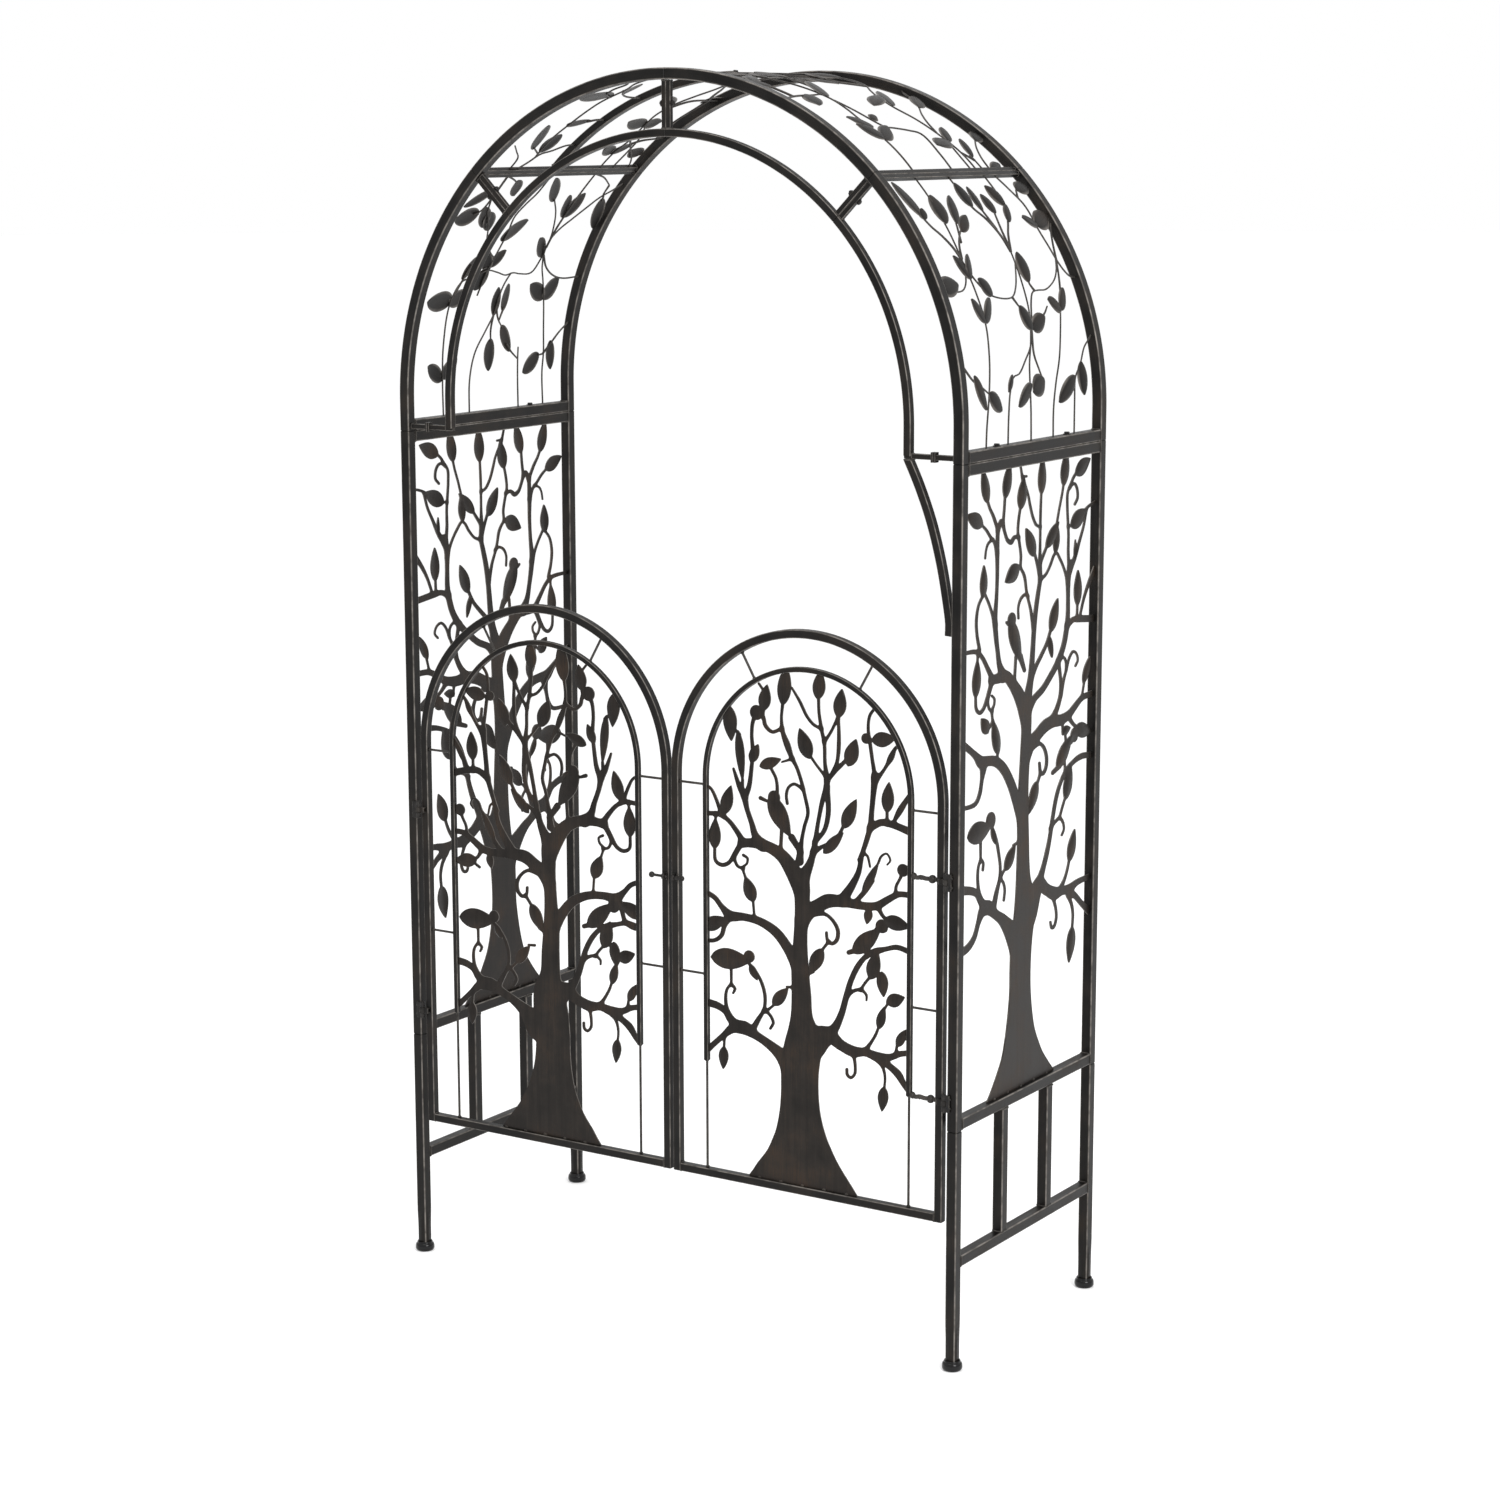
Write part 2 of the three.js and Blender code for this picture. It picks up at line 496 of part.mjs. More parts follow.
const LOWER_RIGHT_VINE = {
  strokes: [
    [[-163, 14], [-160, 60], [-150, 108], [-135, 170], [-125, 225], [-127, 280], [-131, 335],
      [-126, 410],
      [-120, 514]],
    [[-244, 175], [-225, 155], [-200, 133], [-176, 122], [-150, 108]],
    [[-87, 14], [-85, 70], [-78, 104], [-62, 130], [-40, 135], [-12, 157], [12, 178], [32, 218]],
    [[-5, 14], [-6, 110], [0, 150], [18, 190], [34, 235], [41, 290], [46, 345]],
    [[46, 345], [38, 380], [20, 412], [-4, 440], [-8, 514]],
    [[46, 345], [66, 378], [92, 406], [112, 440], [118, 514]],
    [[47, 348], [52, 390], [62, 424]],
    [[28, 208], [20, 165], [30, 140], [42, 118]],
    [[75, 14], [76, 72], [88, 112], [108, 150], [128, 195], [148, 236]],
    [[148, 236], [165, 265], [180, 295], [194, 325]],
    [[153, 14], [154, 80], [160, 115], [182, 136], [205, 165], [230, 180], [244, 190]],
    [[168, 104], [148, 112]],
    [[74, 28], [155, 28]],
    [[-244, 272], [-225, 283], [-195, 282], [-165, 285], [-146, 300], [-131, 332]],
    [[-131, 332], [-118, 305], [-100, 285], [-78, 271], [-10, 265], [14, 282], [44, 325]],
    [[30, 208], [50, 252], [66, 270], [85, 273], [115, 273], [142, 281], [162, 291],
      [180, 307], [194, 328]],
    [[76, 272], [66, 285], [64, 296]],
    [[244, 290], [220, 293], [205, 306], [195, 325], [188, 352], [182, 385], [184, 435],
      [170, 468], [150, 514]],
    [[194, 325], [206, 352], [222, 378], [244, 402]],
    [[-130, 338], [-120, 360], [-105, 378], [-84, 394]],
    [[-132, 338], [-142, 362], [-160, 386], [-176, 402], [-190, 428]],
    [[36, 388], [24, 432]],
    [[-107, 368], [-84, 416]],
    [[178, 452], [192, 470]],
  ],
  leaves: [
    [-196, 139, -60, 60, 20], [-150, 108, -38, 46, 22], [-84, 108, 56, 30, 12], [-4, 114, 215, 54, 22],
    [42, 120, 202, 46, 30], [155, 117, 215, 64, 22], [184, 140, -92, 52, 21], [-242, 291, 3, 56, 30],
    [-78, 272, 128, 36, 24], [-131, 304, 116, 44, 20], [-131, 304, 66, 42, 20],
    [-126, 228, 128, 46, 21],
    [-126, 228, 44, 52, 22], [28, 208, 126, 46, 22], [32, 208, 22, 44, 26], [63, 290, 92, 50, 26],
    [148, 236, 152, 38, 24], [148, 236, 48, 46, 20], [183, 394, 158, 38, 22], [183, 394, 20, 52, 32],
    [-124, 408, 80, 54, 27], [-89, 407, 58, 60, 19], [-86, 390, 36, 46, 17], [-188, 424, 110, 68, 28],
    [-3, 438, 102, 46, 22], [23, 428, 92, 46, 18], [62, 422, 100, 38, 20], [90, 404, 52, 40, 15],
    [112, 438, 118, 44, 20], [192, 468, 12, 40, 25],
  ],
};

const UPPER_RIGHT_VINE = {
  strokes: [
    [[-110, 506], [-100, 560], [-96, 605], [-94, 660], [-82, 700], [-72, 740], [-72, 800],
      [-80, 870], [-86, 960]],
    [[22, 506], [35, 560], [46, 615], [20, 625], [-20, 633], [-44, 637], [-55, 652],
      [-65, 692], [-72, 735]],
    [[108, 506], [112, 560], [104, 612], [96, 660], [86, 705], [100, 748], [130, 785],
      [160, 812], [186, 852],
      [202, 900], [210, 960]],
    [[104, 616], [118, 648], [142, 678], [172, 704], [202, 734], [222, 768], [244, 790]],
    [[155, 506], [164, 545], [184, 574], [212, 598]],
    [[132, 506], [134, 556]],
    [[131, 521], [158, 521]],
    [[-72, 760], [-40, 800], [-20, 850], [10, 890], [20, 960]],
    [[-20, 850], [30, 858], [80, 848], [120, 830], [158, 811]],
    [[-244, 720], [-205, 742], [-160, 752], [-110, 756], [-72, 762]],
    [[-180, 748], [-176, 800], [-165, 860], [-170, 960]],
    [[108, 836], [112, 880], [104, 960]],
    [[134, 540], [112, 562]],
  ],
  leaves: [
    [-96, 602, 128, 50, 27], [-97, 600, 34, 54, 25], [-88, 637, 152, 51, 24], [-58, 660, 20, 26, 14],
    [-72, 752, 56, 78, 27], [104, 752, 208, 72, 26], [89, 712, 52, 72, 22], [172, 704, 40, 66, 24],
    [106, 592, 192, 52, 30], [109, 592, 52, 46, 18], [134, 550, 66, 48, 14], [206, 592, 34, 40, 22],
    [158, 512, 20, 44, 20], [-176, 800, 140, 54, 24], [-172, 838, 40, 54, 24], [-80, 872, 60, 54, 24],
    [10, 888, 130, 52, 24], [32, 858, -60, 52, 24], [202, 896, 130, 54, 24], [107, 870, 60, 62, 24],
    [-130, 755, -120, 50, 24], [-84, 900, 140, 50, 22],
  ],
};

const LOWER_LEFT_VINE = {
  strokes: [
    [[-142, 14], [-144, 90], [-148, 150], [-148, 235], [-130, 270], [-100, 278], [-62, 290], [-30, 285],
      [0, 278], [20, 282], [42, 279], [80, 281], [98, 316]],
    [[-142, 245], [-126, 280], [-116, 304]],
    [[-64, 14], [-62, 80], [-50, 130], [-25, 170], [-6, 205], [-3, 235], [4, 262], [14, 281]],
    [[-5, 218], [8, 192], [28, 172]],
    [[46, 142], [60, 128], [86, 110]],
    [[88, 14], [87, 80], [84, 134]],
    [[20, 214], [12, 188]],
    [[-8, 202], [-9, 170], [-4, 148]],
    [[167, 14], [165, 80], [167, 118], [160, 160], [150, 200], [140, 228], [124, 262],
      [108, 290], [98, 322],
      [99, 352], [90, 382], [74, 410], [48, 438]],
    [[168, 116], [150, 114]],
    [[165, 116], [186, 133], [212, 156], [244, 178]],
    [[99, 316], [120, 290], [150, 272], [185, 264], [244, 266]],
    [[-72, 240], [-62, 288], [-50, 332], [-45, 370], [-48, 402], [-34, 432], [-20, 456], [-12, 514]],
    [[99, 348], [115, 370], [140, 392], [165, 415], [192, 441], [218, 457], [244, 478]],
    [[98, 330], [104, 372], [112, 412], [118, 450], [124, 514]],
    [[-148, 514], [-150, 450], [-160, 420], [-178, 411]],
    [[-150, 444], [-140, 418], [-128, 402], [-112, 380], [-98, 352], [-66, 322], [-54, 316]],
    [[-149, 456], [-168, 470]],
    [[-148, 500], [-120, 490], [-100, 480]],
  ],
  leaves: [
    [-145, 86, 148, 48, 24], [-145, 90, 34, 52, 22], [-146, 234, 180, 64, 34], [-150, 230, 18, 48, 28],
    [-130, 276, 62, 46, 19], [25, 176, -55, 56, 21], [-4, 152, -93, 54, 28], [-6, 200, 94, 50, 17],
    [20, 208, 92, 48, 24], [141, 226, 150, 52, 26], [141, 226, 46, 48, 30], [152, 115, 215, 52, 26],
    [188, 138, -84, 50, 23], [48, 436, 124, 58, 24], [108, 398, 112, 50, 24], [112, 398, 62, 54, 24],
    [98, 314, 132, 48, 24], [204, 434, -68, 68, 25], [-54, 354, 36, 62, 31], [-60, 288, 116, 38, 20],
    [-60, 292, 238, 44, 26], [-59, 298, 40, 44, 16], [-164, 412, 194, 54, 31], [-150, 424, -58, 50, 20],
    [-130, 412, -54, 46, 23], [-158, 466, 214, 64, 17], [-104, 486, -58, 42, 22],
  ],
};

// The crown rib divides the upper left segment, so its vine is two sheets.
const UPPER_LEFT_FRONT_VINE = {
  strokes: [
    [[-150, 506], [-120, 535], [-105, 556], [-80, 565], [-50, 580], [-16, 582]],
    [[-112, 546], [-117, 600], [-115, 650], [-118, 690], [-123, 730], [-126, 790],
      [-150, 830], [-160, 880],
      [-150, 960]],
    [[-111, 556], [-128, 566], [-142, 574]],
    [[-126, 785], [-100, 765], [-75, 755], [-16, 749]],
    [[-120, 752], [-150, 765], [-165, 790], [-166, 820], [-182, 836], [-244, 850]],
  ],
  leaves: [
    [-140, 572, 114, 70, 25], [-110, 562, 78, 48, 23], [-116, 645, 8, 52, 27], [-126, 757, 184, 78, 34],
    [-160, 872, 140, 56, 24], [-159, 856, 44, 60, 24], [-182, 836, 120, 50, 24],
    [-100, 766, 100, 46, 22],
  ],
};

const UPPER_LEFT_BACK_VINE = {
  strokes: [
    [[120, 506], [124, 560], [134, 592], [126, 640], [116, 680], [120, 720], [136, 760], [146, 800],
      [130, 842], [100, 880], [90, 960]],
    [[160, 506], [166, 560], [160, 600], [128, 644]],
    [[130, 600], [154, 578], [176, 560], [204, 534], [218, 506]],
    [[150, 582], [175, 592], [210, 597], [244, 601]],
    [[118, 700], [150, 734], [190, 741], [244, 741]],
    [[208, 741], [213, 700], [208, 640], [216, 598]],
    [[206, 741], [190, 765], [172, 794], [150, 820], [134, 842]],
    [[128, 846], [160, 870], [190, 900], [200, 960]],
    [[98, 884], [60, 870], [30, 872], [12, 900], [20, 960]],
  ],
  leaves: [
    [126, 642, 176, 48, 28], [125, 642, 12, 42, 21], [122, 558, 166, 40, 22], [176, 560, -14, 50, 26],
    [118, 556, 30, 44, 20], [202, 744, -18, 40, 34], [118, 712, 146, 66, 26], [100, 880, 60, 54, 24],
    [60, 870, 110, 52, 24], [190, 898, 60, 50, 24], [14, 896, 130, 50, 24],
  ],
};

function withStems(vine) {
  return {
    ...vine,
    strokes: vine.strokes.map((line) => line.map(([across, up]) => [across, up, STEM])),
  };
}

// Cuts a vine to the clear space of its segment and wraps it around the arch's outer radius.
function vineGeometry(vine, lowEnd, highEnd, frontY, backY, side) {
  const middle = [(frontY + backY) / 2, (highEnd + lowEnd) / 2, 0];
  const window = box(backY - frontY, highEnd - lowEnd, 2 * SHEET, ...middle);
  const geometry = toGeometry(cutSheet(withStems(vine)).intersect(toSolid(window)));
  const position = geometry.attributes.position;
  for (let index = 0; index < position.count; index += 1) {
    const across = position.getX(index);
    const up = position.getY(index) - STUB;
    const radius = ARCH_RADIUS + position.getZ(index);
    const angle = Math.max(up, 0) / ARCH_RADIUS;
    const z = ARCH_CENTRE_Z + Math.min(up, 0) + radius * Math.sin(angle);
    position.setXYZ(index, side * radius * Math.cos(angle), across, z);
  }
  if (side < 0) {
    geometry.index.array.reverse();
  }
  return geometry;
}

// ---------------------------------------------------------------- legs, feet and side panels

const SIDES = [['left', -1], ['right', 1]];
const ENDS = [['front', -1], ['back', 1]];
const RAIL_HALF = POST_Y - TUBE / 2 - GAP;
const SWAGE_OVERLAP = 10;
const FOOT_EDGE = 1.5;
const FOOT_SHOULDER = 5;

function legSolid() {
  const bottom = FOOT_WALL + GAP;
  const length = SWAGE_HEIGHT + SWAGE_OVERLAP - bottom;
  const round = roundBar(SWAGE_DIAMETER, length, LEG_SIDES);
  round.rotateX(Math.PI / 2);
  round.translate(0, 0, bottom + length / 2);
  const square = straightTube(TUBE, [0, 0, SWAGE_HEIGHT], [0, 0, JOINT_Z - GAP / 2]);
  return join([toSolid(round), toSolid(square)]);
}

function footGeometry() {
  const outside = FOOT_DIAMETER / 2;
  const bore = SWAGE_DIAMETER / 2 + GAP;
  const profile = [
    [0, 0],
    [outside - FOOT_EDGE, 0],
    [outside, FOOT_EDGE],
    [outside, FOOT_HEIGHT - 2 * FOOT_SHOULDER],
    [outside - FOOT_EDGE, FOOT_HEIGHT - FOOT_SHOULDER],
    [bore + FOOT_WALL, FOOT_HEIGHT],
    [bore, FOOT_HEIGHT],
    [bore, FOOT_WALL],
    [0, FOOT_WALL],
  ];
  const outline = profile.map(([radius, z]) => new THREE.Vector2(radius, z));
  const geometry = new THREE.LatheGeometry(outline, LEG_SIDES);
  geometry.rotateX(Math.PI / 2);
  return geometry;
}

function lowerGrille() {
  const barTop = PANEL_BOTTOM_Z - TUBE / 2 - GAP;
  const rail = straightTube(TUBE, [0, -RAIL_HALF, LOWER_RAIL_Z], [0, RAIL_HALF, LOWER_RAIL_Z]);
  const bars = [-1, 1].map((side) => straightTube(
    TUBE,
    [0, side * DEPTH / 6, LOWER_RAIL_Z],
    [0, side * DEPTH / 6, barTop],
  ));
  return join([rail, ...bars].map(toSolid));
}

// Four bolts hold the arch down: each goes through an arch crossbar into the panel rail below it.
const FIXING_BOLT = 4.5;
const FIXING_HOLE = FIXING_BOLT + 2 * GAP;
const BOLT_HEAD = 10;
const BOLT_HEAD_HEIGHT = 3.5;
const SPRING_BOLT_Y = 126;
const SPRING_BOLT_DEPTH = 12;       // how far it goes into the panel's top rail

// A short bolt along Z, up from the bottom of its blind hole, with a hexagon head.
function springBolt() {
  const length = SPRING_BOLT_DEPTH + GAP + TUBE + GAP;
  const shank = roundBar(FIXING_BOLT, length + BOLT_HEAD_HEIGHT / 2, BOLT_SIDES);
  shank.translate(0, length / 2 + BOLT_HEAD_HEIGHT / 4, 0);
  const head = roundBar(BOLT_HEAD, BOLT_HEAD_HEIGHT, HEX_SIDES);
  head.translate(0, length + BOLT_HEAD_HEIGHT / 2, 0);
  const geometry = toGeometry(join([shank, head].map(toSolid)));
  return geometry.rotateX(Math.PI / 2);
}

// A bolt along Z, centred on the pieces it clamps: shank, hexagon head above and nut below.
function boltGeometry(grip) {
  const total = grip + 2 * (GAP + BOLT_HEAD_HEIGHT);
  const shank = roundBar(FIXING_BOLT, total, BOLT_SIDES);
  const head = roundBar(BOLT_HEAD, BOLT_HEAD_HEIGHT, HEX_SIDES);
  head.translate(0, total / 2 - BOLT_HEAD_HEIGHT / 2, 0);
  const nut = roundBar(BOLT_HEAD, BOLT_HEAD_HEIGHT, HEX_SIDES);
  nut.translate(0, BOLT_HEAD_HEIGHT / 2 - total / 2, 0);
  const geometry = toGeometry(join([shank, head, nut].map(toSolid)));
  geometry.rotateX(Math.PI / 2);
  return geometry;
}

function drill(solid, holes) {
  return holes.reduce((rest, hole) => rest.subtract(toSolid(hole)), solid);
}

function springBoltHole(x, y) {
  const height = SPRING_BOLT_DEPTH + 2 * TUBE;
  const hole = roundBar(FIXING_HOLE, height, BOLT_SIDES);
  hole.rotateX(Math.PI / 2);
  return hole.translate(x, y, SPRING_Z - SPRING_BOLT_DEPTH - 2 * GAP + height / 2);
}

const panelWindow = box(
  2 * RAIL_HALF,
  PANEL_TOP_Z - PANEL_FLOOR_Z - 2 * GAP,
  2 * SHEET,
  0,
  (PANEL_TOP_Z - PANEL_FLOOR_Z) / 2,
  0,
);
const panelTree = cutSheet(PANEL_TREE).intersect(toSolid(panelWindow));

SIDES.forEach(([sideName, side]) => {
  ENDS.forEach(([endName, end]) => {
    const place = `${endName}_${sideName}`;
    const foot = addPiece(`foot_${place}`, footGeometry(), BLACK_CAP);
    foot.position.set(side * POST_X, end * POST_Y, 0);
    const leg = addPiece(`leg_${place}`, toGeometry(legSolid()), BRONZE);
    leg.position.set(side * POST_X, end * POST_Y, 0);
    const post = straightTube(TUBE, [0, 0, JOINT_Z + GAP / 2], [0, 0, SPRING_Z - GAP]);
    addPiece(`post_${place}`, post, BRONZE).position.set(side * POST_X, end * POST_Y, 0);
  });

  const grille = addPiece(`lower_grille_${sideName}`, toGeometry(lowerGrille()), BRONZE);
  grille.position.x = side * POST_X;

  const bottomRail = straightTube(
    TUBE,
    [0, -RAIL_HALF, PANEL_BOTTOM_Z],
    [0, RAIL_HALF, PANEL_BOTTOM_Z],
  );
  addPiece(`panel_bottom_rail_${sideName}`, bottomRail, BRONZE).position.x = side * POST_X;

  const topRailZ = PANEL_TOP_Z + TUBE / 2;
  const topRail = toSolid(straightTube(
    TUBE,
    [0, -RAIL_HALF, topRailZ],
    [0, RAIL_HALF, topRailZ],
  ));
  const railHoles = ENDS.map(([, end]) => springBoltHole(0, end * SPRING_BOLT_Y));
  const drilledRail = toGeometry(drill(topRail, railHoles));
  addPiece(`panel_top_rail_${sideName}`, drilledRail, BRONZE).position.x = side * POST_X;

  const tree = toGeometry(panelTree);
  tree.rotateX(Math.PI / 2);
  tree.rotateZ(side * Math.PI / 2);
  addPiece(`panel_tree_${sideName}`, tree, BRONZE_SHEET).position.set(side * POST_X, 0, PANEL_FLOOR_Z);

  ENDS.forEach(([endName, end]) => {
    const bolt = addPiece(`spring_bolt_${endName}_${sideName}`, springBolt(), STEEL);
    bolt.position.set(side * POST_X, end * SPRING_BOLT_Y, SPRING_Z - GAP - SPRING_BOLT_DEPTH);
  });
});

// ---------------------------------------------------------------- arch

// The arch is four welded segments, lower and upper on each side, which meet back to back at 45
// degrees and at the crown. Angles are degrees from the side's own horizontal.
const SEGMENTS = [
  { level: 'lower', from: 0, to: 45, stub: STUB },
  { level: 'upper', from: 45, to: 90, stub: 0 },
];
const HALF_GAP_TURN = THREE.MathUtils.radToDeg(GAP / 2 / INNER_RADIUS);
const SPRING_TIE_Z = 1575;
const INNER_STUB = ARCH_CENTRE_Z - SPRING_TIE_Z;
const TIE_MIDDLE = (ARCH_RADIUS + INNER_RADIUS) / 2;
const TIE_OUTER_END = ARCH_RADIUS - TUBE / 2 - 3 * GAP;
const NUB_DIAMETER = 6;
const NUB_HEIGHT = 8;

// Turns a geometry made on the +X side at zero degrees to its place on the arch.
function turnOnArch(geometry, side, degrees) {
  geometry.translate(0, 0, -ARCH_CENTRE_Z);
  const turn = side > 0 ? degrees : 180 - degrees;
  geometry.rotateY(-THREE.MathUtils.degToRad(turn));
  geometry.translate(0, 0, ARCH_CENTRE_Z);
  return geometry;
}

function archTube(size, radius, side, segment, y, stub) {
  const from = segment.from + (segment.from > 0 ? HALF_GAP_TURN : 0);
  const to = segment.to - HALF_GAP_TURN;
  const line = side > 0
    ? new ArchLine(radius, from, to, y, stub)
    : new ArchLine(radius, 180 - from, 180 - to, y, stub);
  return tubeAlong(line, squareSection(size), stub > 0 ? ARCH_STEPS + 1 : ARCH_STEPS);
}

// The offset that sets a small tube just to one side of a joint between segments.
function besideJoint(segment, degrees) {
  return degrees === segment.from ? TIE_TUBE / 2 + GAP / 2 : -TIE_TUBE / 2 - GAP / 2;
}

function turnedTie(side, segment, degrees) {
  const sideways = side > 0 ? besideJoint(segment, degrees) : -besideJoint(segment, degrees);
  const z = ARCH_CENTRE_Z + sideways;
  const tie = straightTube(TIE_TUBE, [INNER_RADIUS, -POST_Y, z], [TIE_OUTER_END, -POST_Y, z]);
  return turnOnArch(tie, side, degrees);
}

function turnedCrossbar(side, segment, degrees) {
  const sideways = side > 0 ? besideJoint(segment, degrees) : -besideJoint(segment, degrees);
  const z = ARCH_CENTRE_Z + sideways;
  const bar = straightTube(TIE_TUBE, [ARCH_RADIUS, -RAIL_HALF, z], [ARCH_RADIUS, POST_Y, z]);
  return turnOnArch(bar, side, degrees);
}

function tieBoltHole(side, degrees) {
  const hole = roundBar(FIXING_HOLE, 4 * TIE_TUBE, BOLT_SIDES);
  hole.rotateX(Math.PI / 2);
  hole.translate(TIE_MIDDLE, -POST_Y, ARCH_CENTRE_Z);
  return turnOnArch(hole, side, degrees);
}

// The spring tie joins the inner arch's foot to the outer arch; a small stud hangs from it.
function springTie(side) {
  const tie = straightTube(
    TIE_TUBE,
    [side * (INNER_RADIUS - INNER_TUBE / 2), -POST_Y, SPRING_TIE_Z],
    [side * TIE_OUTER_END, -POST_Y, SPRING_TIE_Z],
  );
  const stud = roundBar(NUB_DIAMETER, NUB_HEIGHT, BOLT_SIDES);
  stud.rotateX(Math.PI / 2);
  stud.translate(side * TIE_MIDDLE, -POST_Y, SPRING_TIE_Z - TIE_TUBE / 2 - GAP);
  return [tie, stud];
}

function innerArch(side, segment) {
  const stub = segment.stub > 0 ? INNER_STUB : 0;
  const arc = archTube(INNER_TUBE, INNER_RADIUS, side, segment, -POST_Y, stub);
  const ties = segment.stub > 0
    ? [...springTie(side), turnedTie(side, segment, segment.to)]
    : [turnedTie(side, segment, segment.from), turnedTie(side, segment, segment.to)];
  const joints = [segment.from, segment.to].filter((turn) => turn > 0);
  const holes = joints.map((turn) => tieBoltHole(side, turn));
  return drill(join([arc, ...ties].map(toSolid)), holes);
}

function backFrame(side, segment) {
  const arc = archTube(TUBE, ARCH_RADIUS, side, segment, POST_Y, segment.stub);
  if (segment.stub === 0) {
    const crossbars = [segment.from, segment.to].map((turn) => turnedCrossbar(side, segment, turn));
    return join([arc, ...crossbars].map(toSolid));
  }
  const springZ = SPRING_Z + TUBE / 2;
  const springBar = straightTube(
    TUBE,
    [side * POST_X, -RAIL_HALF, springZ],
    [side * POST_X, POST_Y, springZ],
  );
  const whole = join([arc, springBar, turnedCrossbar(side, segment, segment.to)].map(toSolid));
  const holes = ENDS.map(([, end]) => springBoltHole(side * POST_X, end * SPRING_BOLT_Y));
  return drill(whole, holes);
}

SIDES.forEach(([sideName, side]) => {
  SEGMENTS.forEach((segment) => {
    const place = `${segment.level}_${sideName}`;
    const front = archTube(TUBE, ARCH_RADIUS, side, segment, -POST_Y, segment.stub);
    addPiece(`front_outer_arch_${place}`, front, BRONZE);
    addPiece(`front_inner_arch_${place}`, toGeometry(innerArch(side, segment)), BRONZE);
    addPiece(`back_arch_${place}`, toGeometry(backFrame(side, segment)), BRONZE);
  });
});

const JOINT_ARC = STUB + ARCH_RADIUS * Math.PI / 4;
const CROWN_ARC = STUB + ARCH_RADIUS * Math.PI / 2;
const BAR_CLEAR = TIE_TUBE + GAP * 1.5;
const LOWER_ENDS = [TUBE + GAP, JOINT_ARC - BAR_CLEAR];
const UPPER_ENDS = [JOINT_ARC + BAR_CLEAR, CROWN_ARC - BAR_CLEAR];
const RIB_FRONT_Y = RIB_Y - INNER_TUBE / 2 - GAP;
const RIB_BACK_Y = RIB_Y + INNER_TUBE / 2 + GAP;

const VINES = [
  ['vine_lower_right', LOWER_RIGHT_VINE, LOWER_ENDS, -RAIL_HALF, RAIL_HALF, 1],
  ['vine_upper_right', UPPER_RIGHT_VINE, UPPER_ENDS, -RAIL_HALF, RAIL_HALF, 1],
  ['vine_lower_left', LOWER_LEFT_VINE, LOWER_ENDS, -RAIL_HALF, RAIL_HALF, -1],
  ['vine_upper_left_front', UPPER_LEFT_FRONT_VINE, UPPER_ENDS, -RAIL_HALF, RIB_FRONT_Y, -1],
  ['vine_upper_left_back', UPPER_LEFT_BACK_VINE, UPPER_ENDS, RIB_BACK_Y, RAIL_HALF, -1],
];

VINES.forEach(([name, vine, ends, frontY, backY, side]) => {
  addPiece(name, vineGeometry(vine, ends[0], ends[1], frontY, backY, side), BRONZE_SHEET);
});

const ribTurn = THREE.MathUtils.radToDeg(BAR_CLEAR / (ARCH_RADIUS - INNER_TUBE / 2));
const ribLine = new ArchLine(ARCH_RADIUS, 135 - ribTurn, 90 + ribTurn, RIB_Y);
addPiece('crown_rib', tubeAlong(ribLine, squareSection(INNER_TUBE), ARCH_STEPS), BRONZE);

const BRACE_TOP_Z = SPRING_TIE_Z - TIE_TUBE / 2 - GAP;
const BRACE_BOTTOM_Z = 1280;
const BRACE_END_X = POST_X - TUBE / 2 - INNER_TUBE / 2 - 2 * GAP;
const braceLine = new THREE.CatmullRomCurve3([
  new THREE.Vector3(473, -POST_Y, BRACE_TOP_Z + 12),
  new THREE.Vector3(501, -POST_Y, 1525),
  new THREE.Vector3(524, -POST_Y, 1467),
  new THREE.Vector3(543, -POST_Y, 1400),
  new THREE.Vector3(555, -POST_Y, 1340),
  new THREE.Vector3(561, -POST_Y, 1300),
  new THREE.Vector3(BRACE_END_X, -POST_Y, BRACE_BOTTOM_Z),
], false, 'centripetal');
const braceTube = tubeAlong(braceLine, squareSection(INNER_TUBE), BRACE_STEPS);
const CUTTER = 100;                 // a block this size cuts off what a piece overshoots
const braceOvershoot = box(
  CUTTER,
  CUTTER,
  CUTTER,
  INNER_RADIUS,
  -POST_Y,
  BRACE_TOP_Z + CUTTER / 2,
);
addPiece('brace_right', toGeometry(drill(toSolid(braceTube), [braceOvershoot])), BRONZE);

[[1, 45, 'right'], [-1, 45, 'left'], [1, 90, 'crown']].forEach(([side, degrees, name]) => {
  const bolt = boltGeometry(2 * TIE_TUBE + GAP);
  bolt.translate(TIE_MIDDLE, -POST_Y, ARCH_CENTRE_Z);
  addPiece(`tie_bolt_${name}`, turnOnArch(bolt, side, degrees), STEEL);
});

// ---------------------------------------------------------------- gates

// Up one side, over a half circle and down the other, with one straight step at each end.
class GateLine extends THREE.Curve {
  constructor(radius, bottomZ, y) {
    super();
    this.radius = radius;
    this.bottomZ = bottomZ;
    this.y = y;
  }

  getUtoTmapping(u) {
    return u;
  }

  getPoint(t, target = new THREE.Vector3()) {
    const step = t * (GATE_STEPS + 2);
    const onArc = THREE.MathUtils.clamp(step - 1, 0, GATE_STEPS);
    const angle = Math.PI * onArc / GATE_STEPS;
    const down = Math.max(1 - step, step - 1 - GATE_STEPS, 0) * (GATE_SPRING_Z - this.bottomZ);
    return target.set(
      this.radius * Math.cos(angle),
      this.y,
      GATE_SPRING_Z + this.radius * Math.sin(angle) - down,
    );
  }
}

